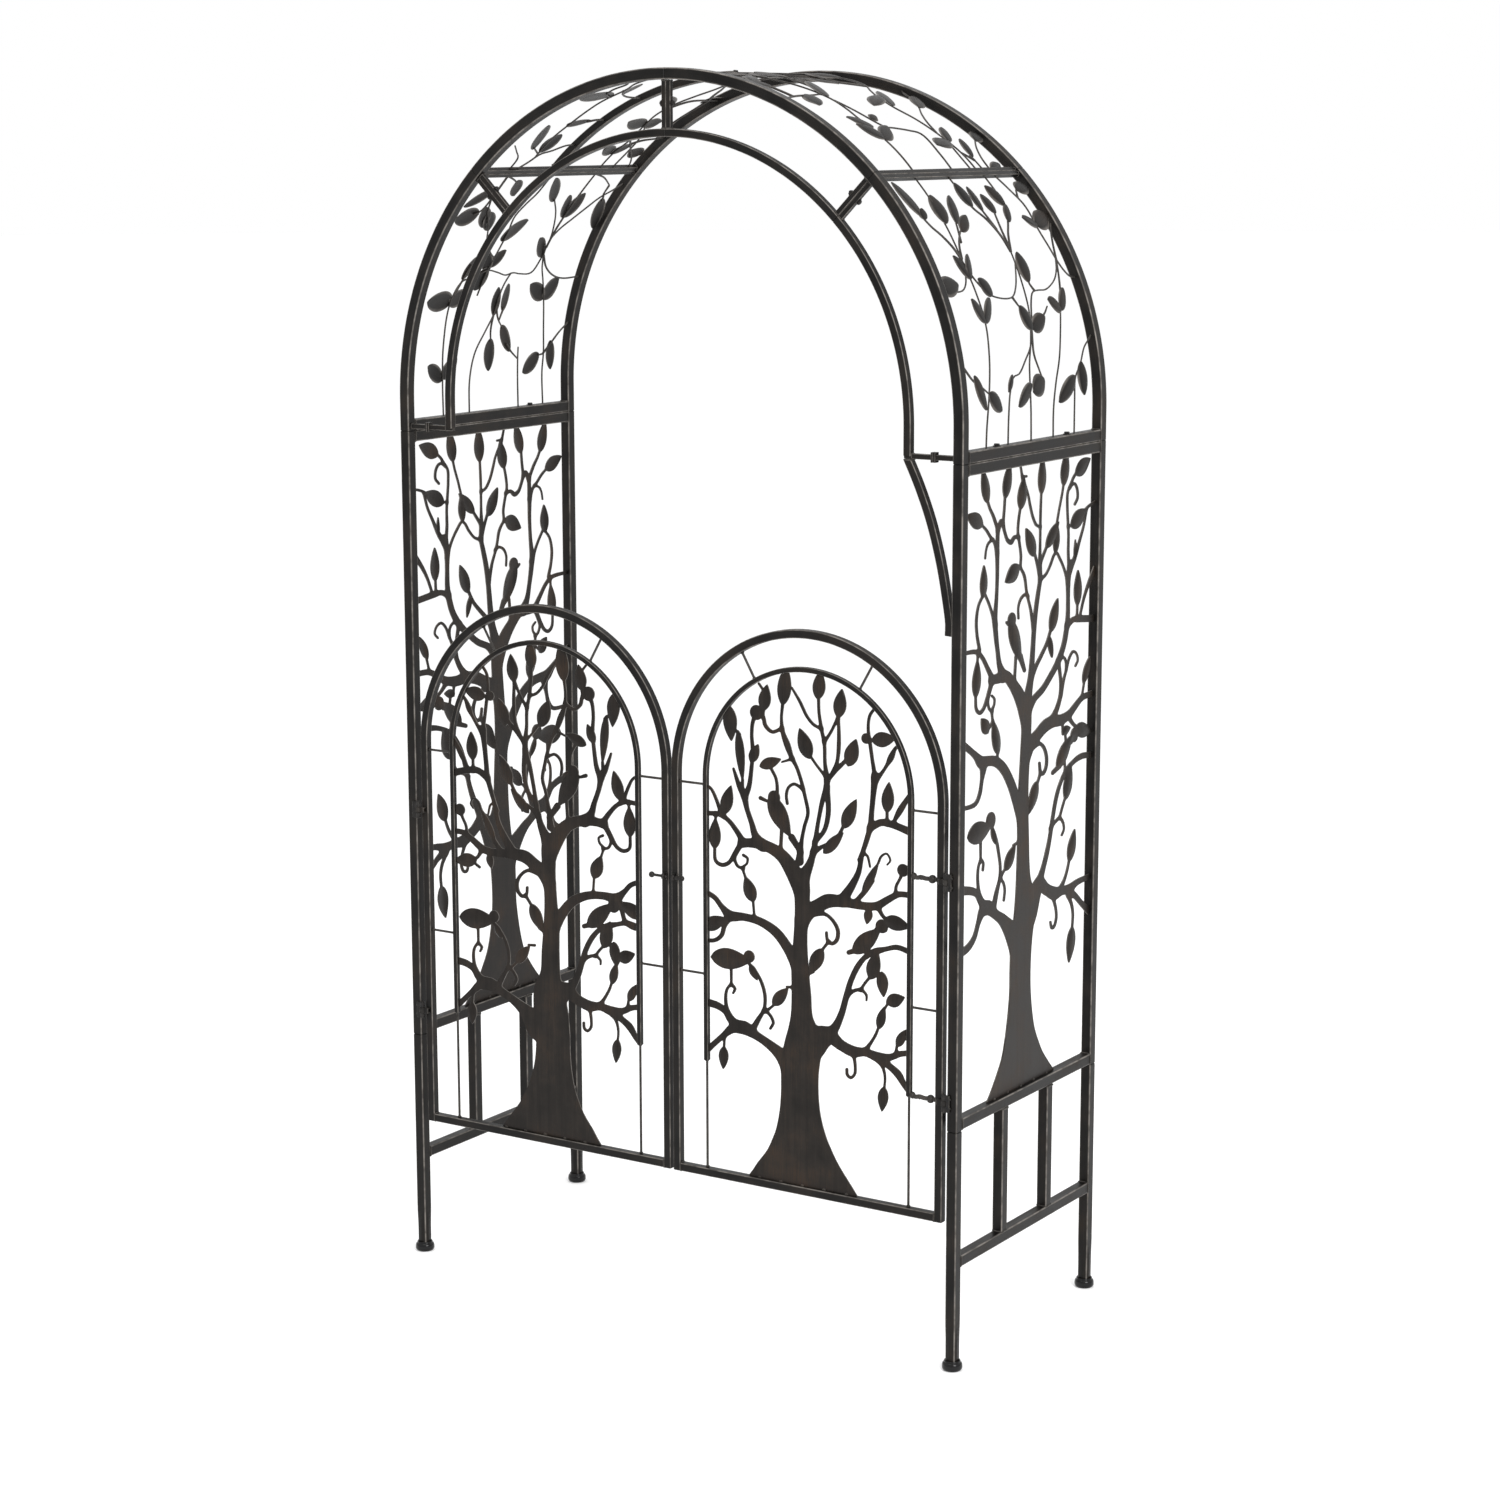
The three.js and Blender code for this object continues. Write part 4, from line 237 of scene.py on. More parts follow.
PANEL_TREE = cut_pattern(
    strokes="""
-12 -14 272, -12 0 248, -13 20 208, -15 45 164, -15 65 136, -18 95 108, -19 130 89, -19 175 75,
-19 220 74, -16 260 76, -8 300 76, -5 338 70, -12 372 50, -14 400 44, -15 450 39, -17 490 37, -16 540 33,
-12 590 32, -8 640 32, -8 700 30;
-28 262 60, -62 295 34, -88 317 22, -110 330 18, -138 348 26, -158 346 22, -172 328 12, -185 306 12,
-205 293 14, -242 286 14;
-148 350 22, -166 366 14, -178 380 13, -195 388 14, -242 398 16;
-118 345 14, -108 370 11, -98 390 7, -96 410 6, -102 435 6, -110 458 7, -124 482 6, -136 492 5;
-160 360 10, -172 385 7, -176 410 6, -173 428 5, -165 436 5, -157 430 5, -158 418 5;
-166 434 4, -167 470 6;
-96 390 6, -86 400 5, -74 407 4;
-50 441 4, -30 443 5;
-95 390 5, -85 382 5, -79 368 5, -82 350 5;
-18 478 30, -42 520 24, -62 552 22, -90 583 20, -120 600 18, -150 605 18, -168 606 22, -190 622 13,
-242 653 12;
-160 596 20, -165 575 9, -172 552 9, -186 538 8, -242 537 7;
-112 600 4, -110 620 4;
-129 668 4, -132 690 5, -125 698 4, -124 708 4, -133 715 4;
-131 688 5, -141 693 5, -147 706 5, -143 722 6, -134 738 7;
-134 738 9, -150 712 8, -162 697 7, -175 692 7, -187 700 6, -190 726 5;
-185 778 4, -183 798 5;
-150 656 5, -128 670 5;
-10 650 30, -28 690 32, -55 720 24, -85 742 20, -112 742 18, -138 742 14;
-94 743 22, -108 765 13, -115 790 10, -122 820 12, -125 845 12, -121 880 8, -119 920 8, -120 960 10,
-119 1000 8;
-124 835 12, -135 855 6, -148 875 5, -166 897 5;
-166 892 5, -183 875 5, -190 850 6, -187 825 6, -178 800 7;
-120 955 8, -130 975 6, -145 987 5, -160 1000 5, -178 1011 4;
-136 981 4, -152 976 4, -159 966 3, -162 952 3;
-119 996 7, -135 1020 6, -148 1035 5, -158 1052 5;
-119 994 8, -108 1008 10, -101 1002 8, -95 990 6, -85 975 7, -72 970 9, -60 977 7, -44 975 6;
-101 1003 6, -97 1030 5, -95 1054 5;
-130 742 12, -150 765 9, -168 785 8, -188 797 8, -242 801 6;
-50 770 6, -53 732 6;
-33 768 13, -18 743 8;
-65 836 8, -76 829 5, -84 834 5;
12 812 8, 2 845 6, -8 865 5, -15 882 5, -22 905 6, -35 920 5, -50 928 5;
-8 870 5, -20 874 5, -35 868 5, -43 855 4, -42 836 4;
-38 922 5, -36 942 5, -42 965 5, -48 985 5, -46 1005 5, -39 1030 5;
-33 1070 5, -40 1092 4, -49 1115 4;
-34 1078 4, -20 1077 4;
-6 690 26, 5 725 18, 10 760 14, 14 800 12, 20 840 12, 28 870 11, 35 895 10, 33 925 9, 33 950 5, 33 1010 5,
35 1050 4;
34 898 8, 22 925 6, 10 948 5;
34 922 7, 48 938 6, 62 954 5;
34 894 8, 55 900 5, 72 915 5, 84 930 5, 93 934 5, 107 922 5, 125 900 5, 140 872 7;
33 985 5, 18 990 5, 5 1005 5, -5 1025 5, -13 1045 4, -24 1062 4;
92 980 4, 102 1010 4, 112 1035 4, 118 1056 4;
8 728 14, 25 745 9, 45 762 8, 62 778 7, 78 803 6;
-8 590 30, 10 610 28, 30 620 24, 60 633 24, 90 637 22, 120 635 20, 150 640 16, 175 652 13, 200 663 11,
242 665 11;
20 605 12, 42 605 7, 58 595 7, 68 577 8, 67 560 8, 57 550 7, 47 552 7, 42 570 6;
46 552 6, 38 540 6, 28 526 6;
12 495 6, -4 488 6;
150 635 10, 165 622 7, 184 611 6;
85 640 14, 105 658 12, 118 680 10, 128 705 7, 138 722 5, 148 741 5, 162 751 5, 176 745 4, 181 733 4,
172 724 4;
118 680 8, 117 705 7, 108 740 9;
-6 670 26, 20 688 14, 50 700 13, 80 720 13, 105 740 14, 125 765 14, 135 790 14, 140 815 12, 140 850 10,
140 885 14, 148 908 16;
137 800 13, 160 808 10, 180 807 12, 242 800 12;
175 808 5, 176 838 5;
185 808 5, 200 840 6, 215 862 8, 242 892 12;
143 895 8, 138 930 6, 138 960 5, 135 985 5, 132 1010 5, 133 1036 5, 145 1046 5, 158 1048 5, 168 1038 5,
170 1022 5, 160 1012 5;
140 1043 5, 152 1058 5, 168 1069 5;
146 900 14, 165 920 9, 180 945 6, 195 970 5, 205 998 5;
136 975 5, 154 977 4;
196 996 5, 212 1003 5, 242 1010 4;
104 742 8, 125 746 5, 135 738 5, 137 722 4;
198 662 4, 204 680 4, 210 700 5;
10 310 60, 48 352 30, 75 338 22, 105 325 24, 135 324 16, 165 322 18, 190 328 12, 242 330 10;
160 316 18, 185 305 12, 205 290 11, 242 263 12;
125 326 12, 145 345 7, 155 362 6, 162 380 6;
103 314 7, 112 295 6, 114 278 6, 107 265 6, 97 264 6, 92 275 5;
158 310 8, 172 292 7, 178 272 6, 175 240 5;
42 348 26, 62 380 14, 75 405 13, 85 430 11, 95 465 10, 108 500 10, 125 525 9, 145 540 12, 165 550 9,
200 557 11, 242 553 10;
86 446 7, 105 455 6, 122 458 6, 135 447 5, 138 435 4, 130 426 4;
120 458 5, 130 475 5, 145 498 5;
118 553 10, 92 545 8;
160 590 10, 172 601 12, 180 592 4;
142 586 5, 138 604 5;
128 608 4, 126 632 5;
134 574 5, 140 536 5
""",
    leaves="""
-210 484 4 78 38, -128 484 -64 34 13, -79 403 47 52 25, -109 612 108 64 27, -146 654 130 36 24,
-190 722 85 62 26, -168 888 88 54 25, -174 1010 158 56 27, -156 1046 108 60 26, -95 1048 74 60 27,
-72 835 -62 87 33, -44 925 205 52 30, -40 1024 78 54 28, 35 1043 88 64 28, 12 938 122 60 27,
56 948 42 60 23, 90 935 86 52 19, 116 1050 80 60 27, 77 799 66 60 28, 70 790 -72 42 14, 34 538 -120 60 29,
176 610 -12 62 28, 176 833 90 62 26, 162 1066 22 58 29, 148 975 24 60 30, 164 913 90 38 9,
204 690 62 50 20, 160 374 70 58 29, 176 248 -100 64 31, 142 490 72 62 31, 108 552 42 74 31,
126 612 8 30 17
""",
    discs="""
-132 499 15, -66 836 13, 172 600 13
""")

LOWER_RIGHT_VINE = cut_pattern(
    strokes="""
-163 14, -160 60, -150 108, -135 170, -125 225, -127 280, -131 335, -126 410, -120 514;
-244 175, -225 155, -200 133, -176 122, -150 108;
-87 14, -85 70, -78 104, -62 130, -40 135, -12 157, 12 178, 32 218;
-5 14, -6 110, 0 150, 18 190, 34 235, 41 290, 46 345;
46 345, 38 380, 20 412, -4 440, -8 514;
46 345, 66 378, 92 406, 112 440, 118 514;
47 348, 52 390, 62 424;
28 208, 20 165, 30 140, 42 118;
75 14, 76 72, 88 112, 108 150, 128 195, 148 236;
148 236, 165 265, 180 295, 194 325;
153 14, 154 80, 160 115, 182 136, 205 165, 230 180, 244 190;
-244 272, -225 283, -195 282, -165 285, -146 300, -131 332;
-131 332, -118 305, -100 285, -78 271, -10 265, 14 282, 44 325;
-10 265, 4 248;
30 208, 50 252, 66 270, 85 273, 115 273, 142 281, 162 291, 180 307, 194 328;
76 272, 66 285, 64 296;
244 290, 220 293, 205 306, 195 325, 188 352, 182 385, 184 435, 170 468, 150 514;
194 325, 206 352, 222 378, 244 402;
-130 338, -120 360, -105 378, -84 394;
-132 338, -142 362, -160 386, -176 402, -190 428;
70 226, 86 231, 104 244;
36 388, 24 432;
-107 368, -84 416;
178 452, 192 470
""",
    leaves="""
-196 139 -60 60 20, -150 108 -38 46 22, -84 108 56 30 12, -4 114 215 54 22, 42 120 202 46 30,
155 117 215 64 22, 184 140 -92 52 21, -242 291 3 56 30, -78 272 128 36 24, -131 304 116 44 20,
-131 304 66 42 20, -126 228 128 46 21, -126 228 44 52 22, 28 208 126 46 22, 32 208 22 44 26,
63 290 92 50 26, 148 236 152 38 24, 148 236 48 46 20, 183 394 158 38 22, 183 394 20 52 32,
-124 408 80 54 27, -89 407 58 60 19, -86 390 36 46 17, -188 424 110 68 28, -3 438 102 46 22,
23 428 92 46 18, 62 422 100 38 20, 90 404 52 40 15, 112 438 118 44 20, 192 468 12 40 25
""",
    discs="""
-184 425 9
""")

UPPER_RIGHT_VINE = cut_pattern(
    strokes="""
-110 506, -100 560, -96 605, -94 660, -82 700, -72 740, -72 800, -80 870, -86 960;
22 506, 35 560, 46 615, 20 625, -20 633, -44 637, -55 652, -65 692, -72 735;
108 506, 112 560, 104 612, 96 660, 86 705, 100 748, 130 785, 160 812, 186 852, 202 900, 210 960;
104 616, 118 648, 142 678, 172 704, 202 734, 222 768, 244 790;
155 506, 164 545, 184 574, 212 598;
90 506, 95 550, 106 596;
132 506, 134 556;
131 521, 158 521;
-72 760, -40 800, -20 850, 10 890, 20 960;
-20 850, 30 858, 80 848, 120 830, 158 811;
-244 720, -205 742, -160 752, -110 756, -72 762;
-180 748, -176 800, -165 860, -170 960;
108 836, 112 880, 104 960;
134 540, 112 562
""",
    leaves="""
-96 602 128 50 27, -97 600 34 54 25, -88 637 152 51 24, -58 660 20 26 14, -72 752 56 78 27,
104 752 208 72 26, 89 712 52 72 22, 172 704 40 66 24, 106 592 192 52 30, 109 592 52 46 18,
134 550 66 48 14, 206 592 34 40 22, 158 512 20 44 20, -176 800 140 54 24, -172 838 40 54 24,
-80 872 60 54 24, 10 888 130 52 24, 32 858 -60 52 24, 202 896 130 54 24, 107 870 60 62 24,
-130 755 -120 50 24, -84 900 140 50 22
""")

LOWER_LEFT_VINE = cut_pattern(
    strokes="""
-142 14, -144 90, -148 150, -148 235, -130 270, -100 278, -62 290, -30 285, 0 278, 20 282, 42 279, 80 281,
98 316;
-142 245, -126 280, -116 304;
-64 14, -62 80, -50 130, -25 170, -6 205, -3 235, 4 262, 14 281;
-5 218, 8 192, 28 172;
46 142, 60 128, 86 110;
20 214, 12 188;
-8 202, -9 170, -4 148;
88 14, 87 80, 84 134;
167 14, 165 80, 167 118, 160 160, 150 200, 140 228, 124 262, 108 290, 98 322, 99 352, 90 382, 74 410,
48 438;
168 116, 150 114;
165 116, 186 133, 212 156, 244 178;
99 316, 120 290, 150 272, 185 264, 244 266;
99 348, 115 370, 140 392, 165 415, 192 441, 218 457, 244 478;
98 330, 104 372, 112 412, 118 450, 124 514;
200 444, 206 430;
-72 240, -62 288, -50 332, -45 370, -48 402, -34 432, -20 456, -12 514;
-148 514, -150 450, -160 420, -178 411;
-150 444, -140 418, -128 402, -112 380, -98 352, -66 322, -54 316;
-149 456, -168 470;
-22 514, -16 480;
-148 500, -120 490, -100 480;
124 500, 160 490, 196 470;
196 470, 196 446
""",
    leaves="""
-145 86 148 48 24, -145 90 34 52 22, -146 234 180 64 34, -150 230 18 48 28, -130 276 62 46 19,
25 176 -55 56 21, -4 152 -93 54 28, -6 200 94 50 17, 20 208 92 48 24, 141 226 150 52 26, 141 226 46 48 30,
152 115 215 52 26, 188 138 -84 50 23, 48 436 124 58 24, 108 398 112 50 24, 112 398 62 54 24,
98 314 132 48 24, 204 434 -68 68 25, -54 354 36 62 31, -60 288 116 38 20, -60 292 238 44 26,
-59 298 40 44 16, -164 412 194 54 31, -150 424 -58 50 20, -130 412 -54 46 23, -158 466 214 64 17,
-104 486 -58 42 22
""")

UPPER_LEFT_FRONT_VINE = cut_pattern(
    strokes="""
-150 506, -120 535, -105 556, -80 565, -50 580, -16 582;
-160 506, -162 545, -185 565, -206 581;
-163 521, -134 521;
-112 546, -117 600, -115 650, -118 690, -123 730, -126 790, -150 830, -160 880, -150 960;
-111 556, -128 566, -142 574;
-72 655, -45 662, -16 660;
-126 785, -100 765, -75 755, -16 749;
-120 752, -150 765, -165 790, -166 820, -182 836, -244 850
""",
    leaves="""
-140 572 114 70 25, -110 562 78 48 23, -116 645 8 52 27, -126 757 184 78 34, -160 872 140 56 24,
-159 856 44 60 24, -182 836 120 50 24, -100 766 100 46 22
""")

UPPER_LEFT_BACK_VINE = cut_pattern(
    strokes="""
120 506, 124 560, 134 592, 126 640, 116 680, 120 720, 136 760, 146 800, 130 842, 100 880, 90 960;
160 506, 166 560, 160 600, 128 644;
130 600, 154 578, 176 560, 204 534, 218 506;
150 582, 175 592, 210 597, 244 601;
118 700, 150 734, 190 741, 244 741;
208 741, 213 700, 208 640, 216 598;
206 741, 190 765, 172 794, 150 820, 134 842;
128 846, 160 870, 190 900, 200 960;
98 884, 60 870, 30 872, 12 900, 20 960
""",
    leaves="""
126 642 176 48 28, 125 642 12 42 21, 122 558 166 40 22, 176 560 -14 50 26, 118 556 30 44 20,
202 744 -18 40 34, 118 712 146 66 26, 100 880 60 54 24, 60 870 110 52 24, 190 898 60 50 24,
14 896 130 50 24
""")

# ---------------------------------------------------------------- meshes


def unit(rows):
    return rows / np.maximum(np.linalg.norm(rows, axis=-1, keepdims=True), 1e-9)


X_WAY, Y_WAY, Z_WAY = np.eye(3)
NEARLY_ALONG = 0.9                  # a seed this much along an axis is too near it
CORNER_SHARE = 0.13                 # corner radius of a square tube, as a share of its size
END_BEVEL = 0.8
# Shares of the edge mask on tube ends, round wires and weld beads: wear, and a painted edge highlight laid
# into the colour.
END_WEAR_AND_HIGHLIGHT = 0.2
ROUND_WEAR_AND_HIGHLIGHT = 0.25
WELD_WEAR_AND_HIGHLIGHT = 0.3
FLOW_SPREAD = 10                    # each bar takes its grain from elsewhere
END_FLOW = np.array([[1, 0.3], [0.3, 1], [1, 1]])


def seed_for(axis, first, second):
    return first if abs(axis @ first) < NEARLY_ALONG else second


def square_to(axis, seed):
    """Two unit vectors square to an axis, the first of them nearest to the seed."""
    right = unit(np.cross(np.cross(axis, seed), axis))
    return right, np.cross(axis, right)


def rounded_outline(corners, radius, steps=3):
    """A polygon with round corners: its points, normals, its share of wear and painted edge highlight, and
    distance around.
    """
    corners = np.array(corners, float)
    points, normals, wear_and_highlight = [], [], []
    count = len(corners)
    for index in range(count):
        before = unit(corners[index] - corners[index - 1])
        after = unit(corners[(index + 1) % count] - corners[index])
        start = math.atan2(-before[0], before[1])
        turn = math.atan2(before[0] * after[1] - before[1] * after[0], before @ after)
        back = radius * math.tan(turn / 2)
        centre = corners[index] - before * back + np.array([-before[1], before[0]]) * radius
        for step in range(steps + 1):
            angle = start + turn * step / steps
            normal = (math.cos(angle), math.sin(angle))
            normals.append(normal)
            points.append(centre + radius * np.array(normal))
            # Corner points take the full edge mask: wear, and a painted highlight along the rounded edges.
            wear_and_highlight.append(1.0 if 0 < step < steps else 0.0)
    points = np.array(points)
    around = np.concatenate([[0], np.linalg.norm(np.diff(np.vstack([points, points[:1]]), axis=0), axis=1)])
    return points, np.array(normals), np.array(wear_and_highlight), np.cumsum(around)


def square_outline(size, radius=None):
    half = size / 2
    return rounded_outline([(-half, -half), (half, -half), (half, half), (-half, half)],
                           radius or size * CORNER_SHARE)


def circle_outline(radius, sides=10):
    turns = np.arange(sides) * 2 * math.pi / sides
    normals = np.stack([np.cos(turns), np.sin(turns)], axis=1)
    around = np.arange(sides + 1) * 2 * math.pi * radius / sides
    return normals * radius, normals, np.full(sides, ROUND_WEAR_AND_HIGHLIGHT), around


class Shape:
    """Gathers the faces of one piece, with a normal, a place along the metal and a share of wear and
    painted edge highlight at each corner.
    """

    def __init__(self):
        self.points, self.faces = [], []
        self.normals, self.flows, self.wear_and_highlights = [], [], []
        self.count = 0

    def put(self, points, faces, normals, flows, wear_and_highlights):
        self.points.append(points)
        self.faces += [tuple(int(i) + self.count for i in face) for face in faces]
        self.normals.append(np.reshape(normals, (-1, 3)))
        self.flows.append(np.reshape(flows, (-1, 2)))
        self.wear_and_highlights.append(np.ravel(wear_and_highlights))
        self.count += len(points)

    def loft(self, rings, starts, ends, along, around, wear_and_highlight, caps=True, closed=False):
        """Joins rings of points with quads. starts and ends are the normals at both edges of a strip."""
        total, size = len(rings), len(rings[0])
        strips = total if closed else total - 1
        offset = draw.random() * FLOW_SPREAD
        first = np.arange(strips)[:, None]
        second = (first + 1) % total
        here = np.arange(size)[None, :]
        there = (here + 1) % size
        faces = np.stack([first * size + here, first * size + there, second * size + there,
                          second * size + here], axis=-1).reshape(-1, 4)
        normals = np.stack([starts, np.roll(starts, -1, 1), np.roll(ends, -1, 1), ends], axis=2)
        low, high = along[:strips, None], along[1:strips + 1, None]
        left, right = around[None, :size], around[None, 1:size + 1]
        spans = [(low, left), (low, right), (high, right), (high, left)]
        flows = np.stack([np.stack(np.broadcast_arrays(a, b), axis=-1) for a, b in spans], axis=2)
        wear_and_highlights = np.broadcast_to(wear_and_highlight, (total, size))
        wear_and_highlights = np.stack([wear_and_highlights[:strips], np.roll(wear_and_highlights, -1, 1)[:strips],
                          np.roll(np.roll(wear_and_highlights, -1, 0), -1, 1)[:strips],
                          np.roll(wear_and_highlights, -1, 0)[:strips]], axis=2)
        faces = [tuple(face) for face in faces]
        normals, flows, wear_and_highlights = normals.reshape(-1, 3), flows.reshape(-1, 2) * MM + offset, wear_and_highlights.ravel()
        if caps and not closed:
            for ring, order in ((0, range(size - 1, -1, -1)), (total - 1, range(size))):
                corners = rings[ring][list(order)]
                before, after = corners - np.roll(corners, 1, 0), np.roll(corners, -1, 0) - corners
                facing = unit(np.cross(before, after).sum(0))
                faces.append(tuple(ring * size + k for k in order))
                normals = np.vstack([normals, np.tile(facing, (size, 1))])
                flows = np.vstack([flows, corners @ END_FLOW * MM + offset])
                wear_and_highlights = np.concatenate([wear_and_highlights, np.full(size, END_WEAR_AND_HIGHLIGHT)])
        self.put(np.concatenate(rings), faces, normals, flows, wear_and_highlights)

    def add(self, points, faces, flows, degrees, wear_and_highlight=0.0):
        """Adds a mesh whose normals are smooth except over edges sharper than degrees."""
        draft = bpy.data.meshes.new("draft")
        draft.from_pydata([tuple(p) for p in points], [], faces)
        draft.shade_smooth()
        draft.set_sharp_from_angle(angle=math.radians(degrees))
        normals = np.empty(len(draft.loops) * 3, np.float32)
        draft.corner_normals.foreach_get("vector", normals)
        corner = np.array([i for face in faces for i in face])
        bpy.data.meshes.remove(draft)
        wear_and_highlights = np.broadcast_to(wear_and_highlight, len(points))[corner]
        self.put(np.array(points, float), faces, normals, np.array(flows)[corner] * MM, wear_and_highlights)

    def trim(self, axis, limit):
        """Presses whatever lies beyond a limit along an axis back to it."""
        for points in self.points:
            points[:, axis] = np.minimum(points[:, axis], limit)

    def piece(self, name, material, slot, body, *nodes):
        """Makes the Blender object, which rides on a CAD body and stands for CAD nodes."""
        mesh = bpy.data.meshes.new(name)
        points = np.concatenate(self.points) * MM
        mesh.from_pydata([tuple(p) for p in points], [], self.faces)
        mesh.shade_smooth()
        mesh.uv_layers.new(name="flow").data.foreach_set("uv", np.concatenate(self.flows).ravel())
        # The edge mask at each corner, which the finishes turn into wear and a painted edge highlight.
        worn_and_lit = mesh.attributes.new("wear_and_highlight", "FLOAT", "CORNER")
        worn_and_lit.data.foreach_set("value", np.concatenate(self.wear_and_highlights).astype(np.float32))
        mesh.normals_split_custom_set([tuple(n) for n in np.concatenate(self.normals)])
        mesh.materials.append(material)
        obj = bpy.data.objects.new(name, mesh)
        bpy.context.scene.collection.objects.link(obj)
        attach(obj, body)
        if nodes:
            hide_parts(*nodes)
        return obj


def path_frames(path, across):
    """Unit tangents, and two unit vectors square to them, at each point of a path."""
    steps = unit(np.diff(path, axis=0))
    tangents = unit(np.vstack([steps[:1], steps[:-1] + steps[1:], steps[-1:]]))
    if across is not None:
        rights = unit(np.cross(np.cross(tangents, across), tangents))
        return tangents, rights, np.cross(tangents, rights)
    rights = [square_to(tangents[0], seed_for(tangents[0], Z_WAY, X_WAY))[0]]
    for tangent in tangents[1:]:
        rights.append(unit(rights[-1] - tangent * (rights[-1] @ tangent)))
    rights = np.array(rights)
    return tangents, rights, np.cross(tangents, rights)


def sweep(shape, path, outline, across=None, bevel=END_BEVEL, scales=None):
    """A bar of the given outline along a path, with bevelled ends."""
    path = np.array(path, float)
    points, normals, wear_and_highlight, around = outline
    tangents, rights, ups = path_frames(path, across)
    scales = np.ones(len(path)) if scales is None else np.array(scales, float)
    shrink = 1 - bevel / np.abs(points).max()
    centres = np.vstack([path[:1], path[:1] + tangents[:1] * bevel, path[1:-1],
                         path[-1:] - tangents[-1:] * bevel, path[-1:]])
    pick = np.concatenate([[0, 0], np.arange(1, len(path) - 1), [len(path) - 1] * 2])
    sizes = scales[pick]
    sizes[0] *= shrink
    sizes[-1] *= shrink
    across_part, up_part = rights[pick][:, None, :], ups[pick][:, None, :]
    rings = (centres[:, None, :] + sizes[:, None, None] * (points[None, :, :1] * across_part
                                                          + points[None, :, 1:] * up_part))
    facing = normals[None, :, :1] * across_part + normals[None, :, 1:] * up_part
    starts, ends = facing[:-1].copy(), facing[1:].copy()
    starts[0] = ends[0] = unit(facing[0] - tangents[0])
    starts[-1] = ends[-1] = unit(facing[-1] + tangents[-1])
    along = np.concatenate([[0], np.cumsum(np.linalg.norm(np.diff(centres, axis=0), axis=1))])
    shape.loft(rings, starts, ends, along, around, wear_and_highlight)


def wire(shape, path, radius, sides=8, taper=None):
    scales = None if taper is None else np.linspace(1, taper, len(path))
    sweep(shape, path, circle_outline(radius, sides), bevel=radius * 0.5, scales=scales)


def tube(shape, start, end, size):
    """A straight square tube along one of the axes."""
    along = np.abs(np.array(end, float) - np.array(start, float))
    across = Y_WAY if along[1] < max(along[0], along[2]) else X_WAY
    sweep(shape, [start, end], square_outline(size), across=across)


# Lathe parts take an even share of the edge mask: wear, and a painted highlight.
def lathe(shape, profile, origin, axis, sides=32, wear_and_highlight=0.15, smooth_degrees=40):
    """Turns a profile of radius and height about an axis."""
    profile = np.array(profile, float)
    axis = unit(np.array(axis, float))
    right, up = square_to(axis, seed_for(axis, X_WAY, Y_WAY))
    turns = np.arange(sides) * 2 * math.pi / sides
    radial = np.cos(turns)[:, None] * right + np.sin(turns)[:, None] * up
    rings = [np.array(origin) + axis * height + radial * radius for radius, height in profile]
    steps = np.diff(profile, axis=0)
    facing = unit(np.stack([steps[:, 1], -steps[:, 0]], axis=1))
    limit = math.cos(math.radians(smooth_degrees))
    starts, ends = [], []
    for index in range(len(facing)):
        own = facing[index]
        before = facing[index - 1] if index > 0 else own
        after = facing[index + 1] if index + 1 < len(facing) else own
        first = unit(own + before) if own @ before > limit else own
        last = unit(own + after) if own @ after > limit else own
        starts.append(radial * first[0] + axis * first[1])
        ends.append(radial * last[0] + axis * last[1])
    along = np.concatenate([[0], np.cumsum(np.linalg.norm(steps, axis=1))])
    around = np.arange(sides + 1) * 2 * math.pi * profile[:, 0].max() / sides
    shape.loft(rings, np.array(starts), np.array(ends), along, around, wear_and_highlight)


def block(shape, low, high, corner=1.0):
    """A plate or block with rounded upright edges and bevelled top and bottom."""
    low, high = np.minimum(low, high), np.maximum(low, high)
    half = (high - low) / 2
    middle = (high + low) / 2
    corners = [(-half[0], -half[1]), (half[0], -half[1]), (half[0], half[1]), (-half[0], half[1])]
    path = [(middle[0], middle[1], low[2]), (middle[0], middle[1], high[2])]
    sweep(shape, path, rounded_outline(corners, corner), across=X_WAY, bevel=corner * 0.6)


def hexagon(shape, centre, axis, width, height):
    """A bolt head or nut, from centre along axis."""
    axis = unit(np.array(axis, float))
    corners = [(width / 2 * math.cos(k * math.pi / 3), width / 2 * math.sin(k * math.pi / 3))
               for k in range(6)]
    end = np.array(centre, float) + axis * height
    sweep(shape, [centre, end], rounded_outline(corners, width * 0.05, 1),
          across=seed_for(axis, Y_WAY, X_WAY), bevel=0.7)


def ball(shape, centre, diameter, axis=(0, 0, 1), squash=1.0):
    radius = diameter / 2
    turns = np.linspace(-1.48, 1.48, 12)
    lathe(shape, [(radius * math.cos(t), radius * math.sin(t) * squash) for t in turns], centre, axis, 24)


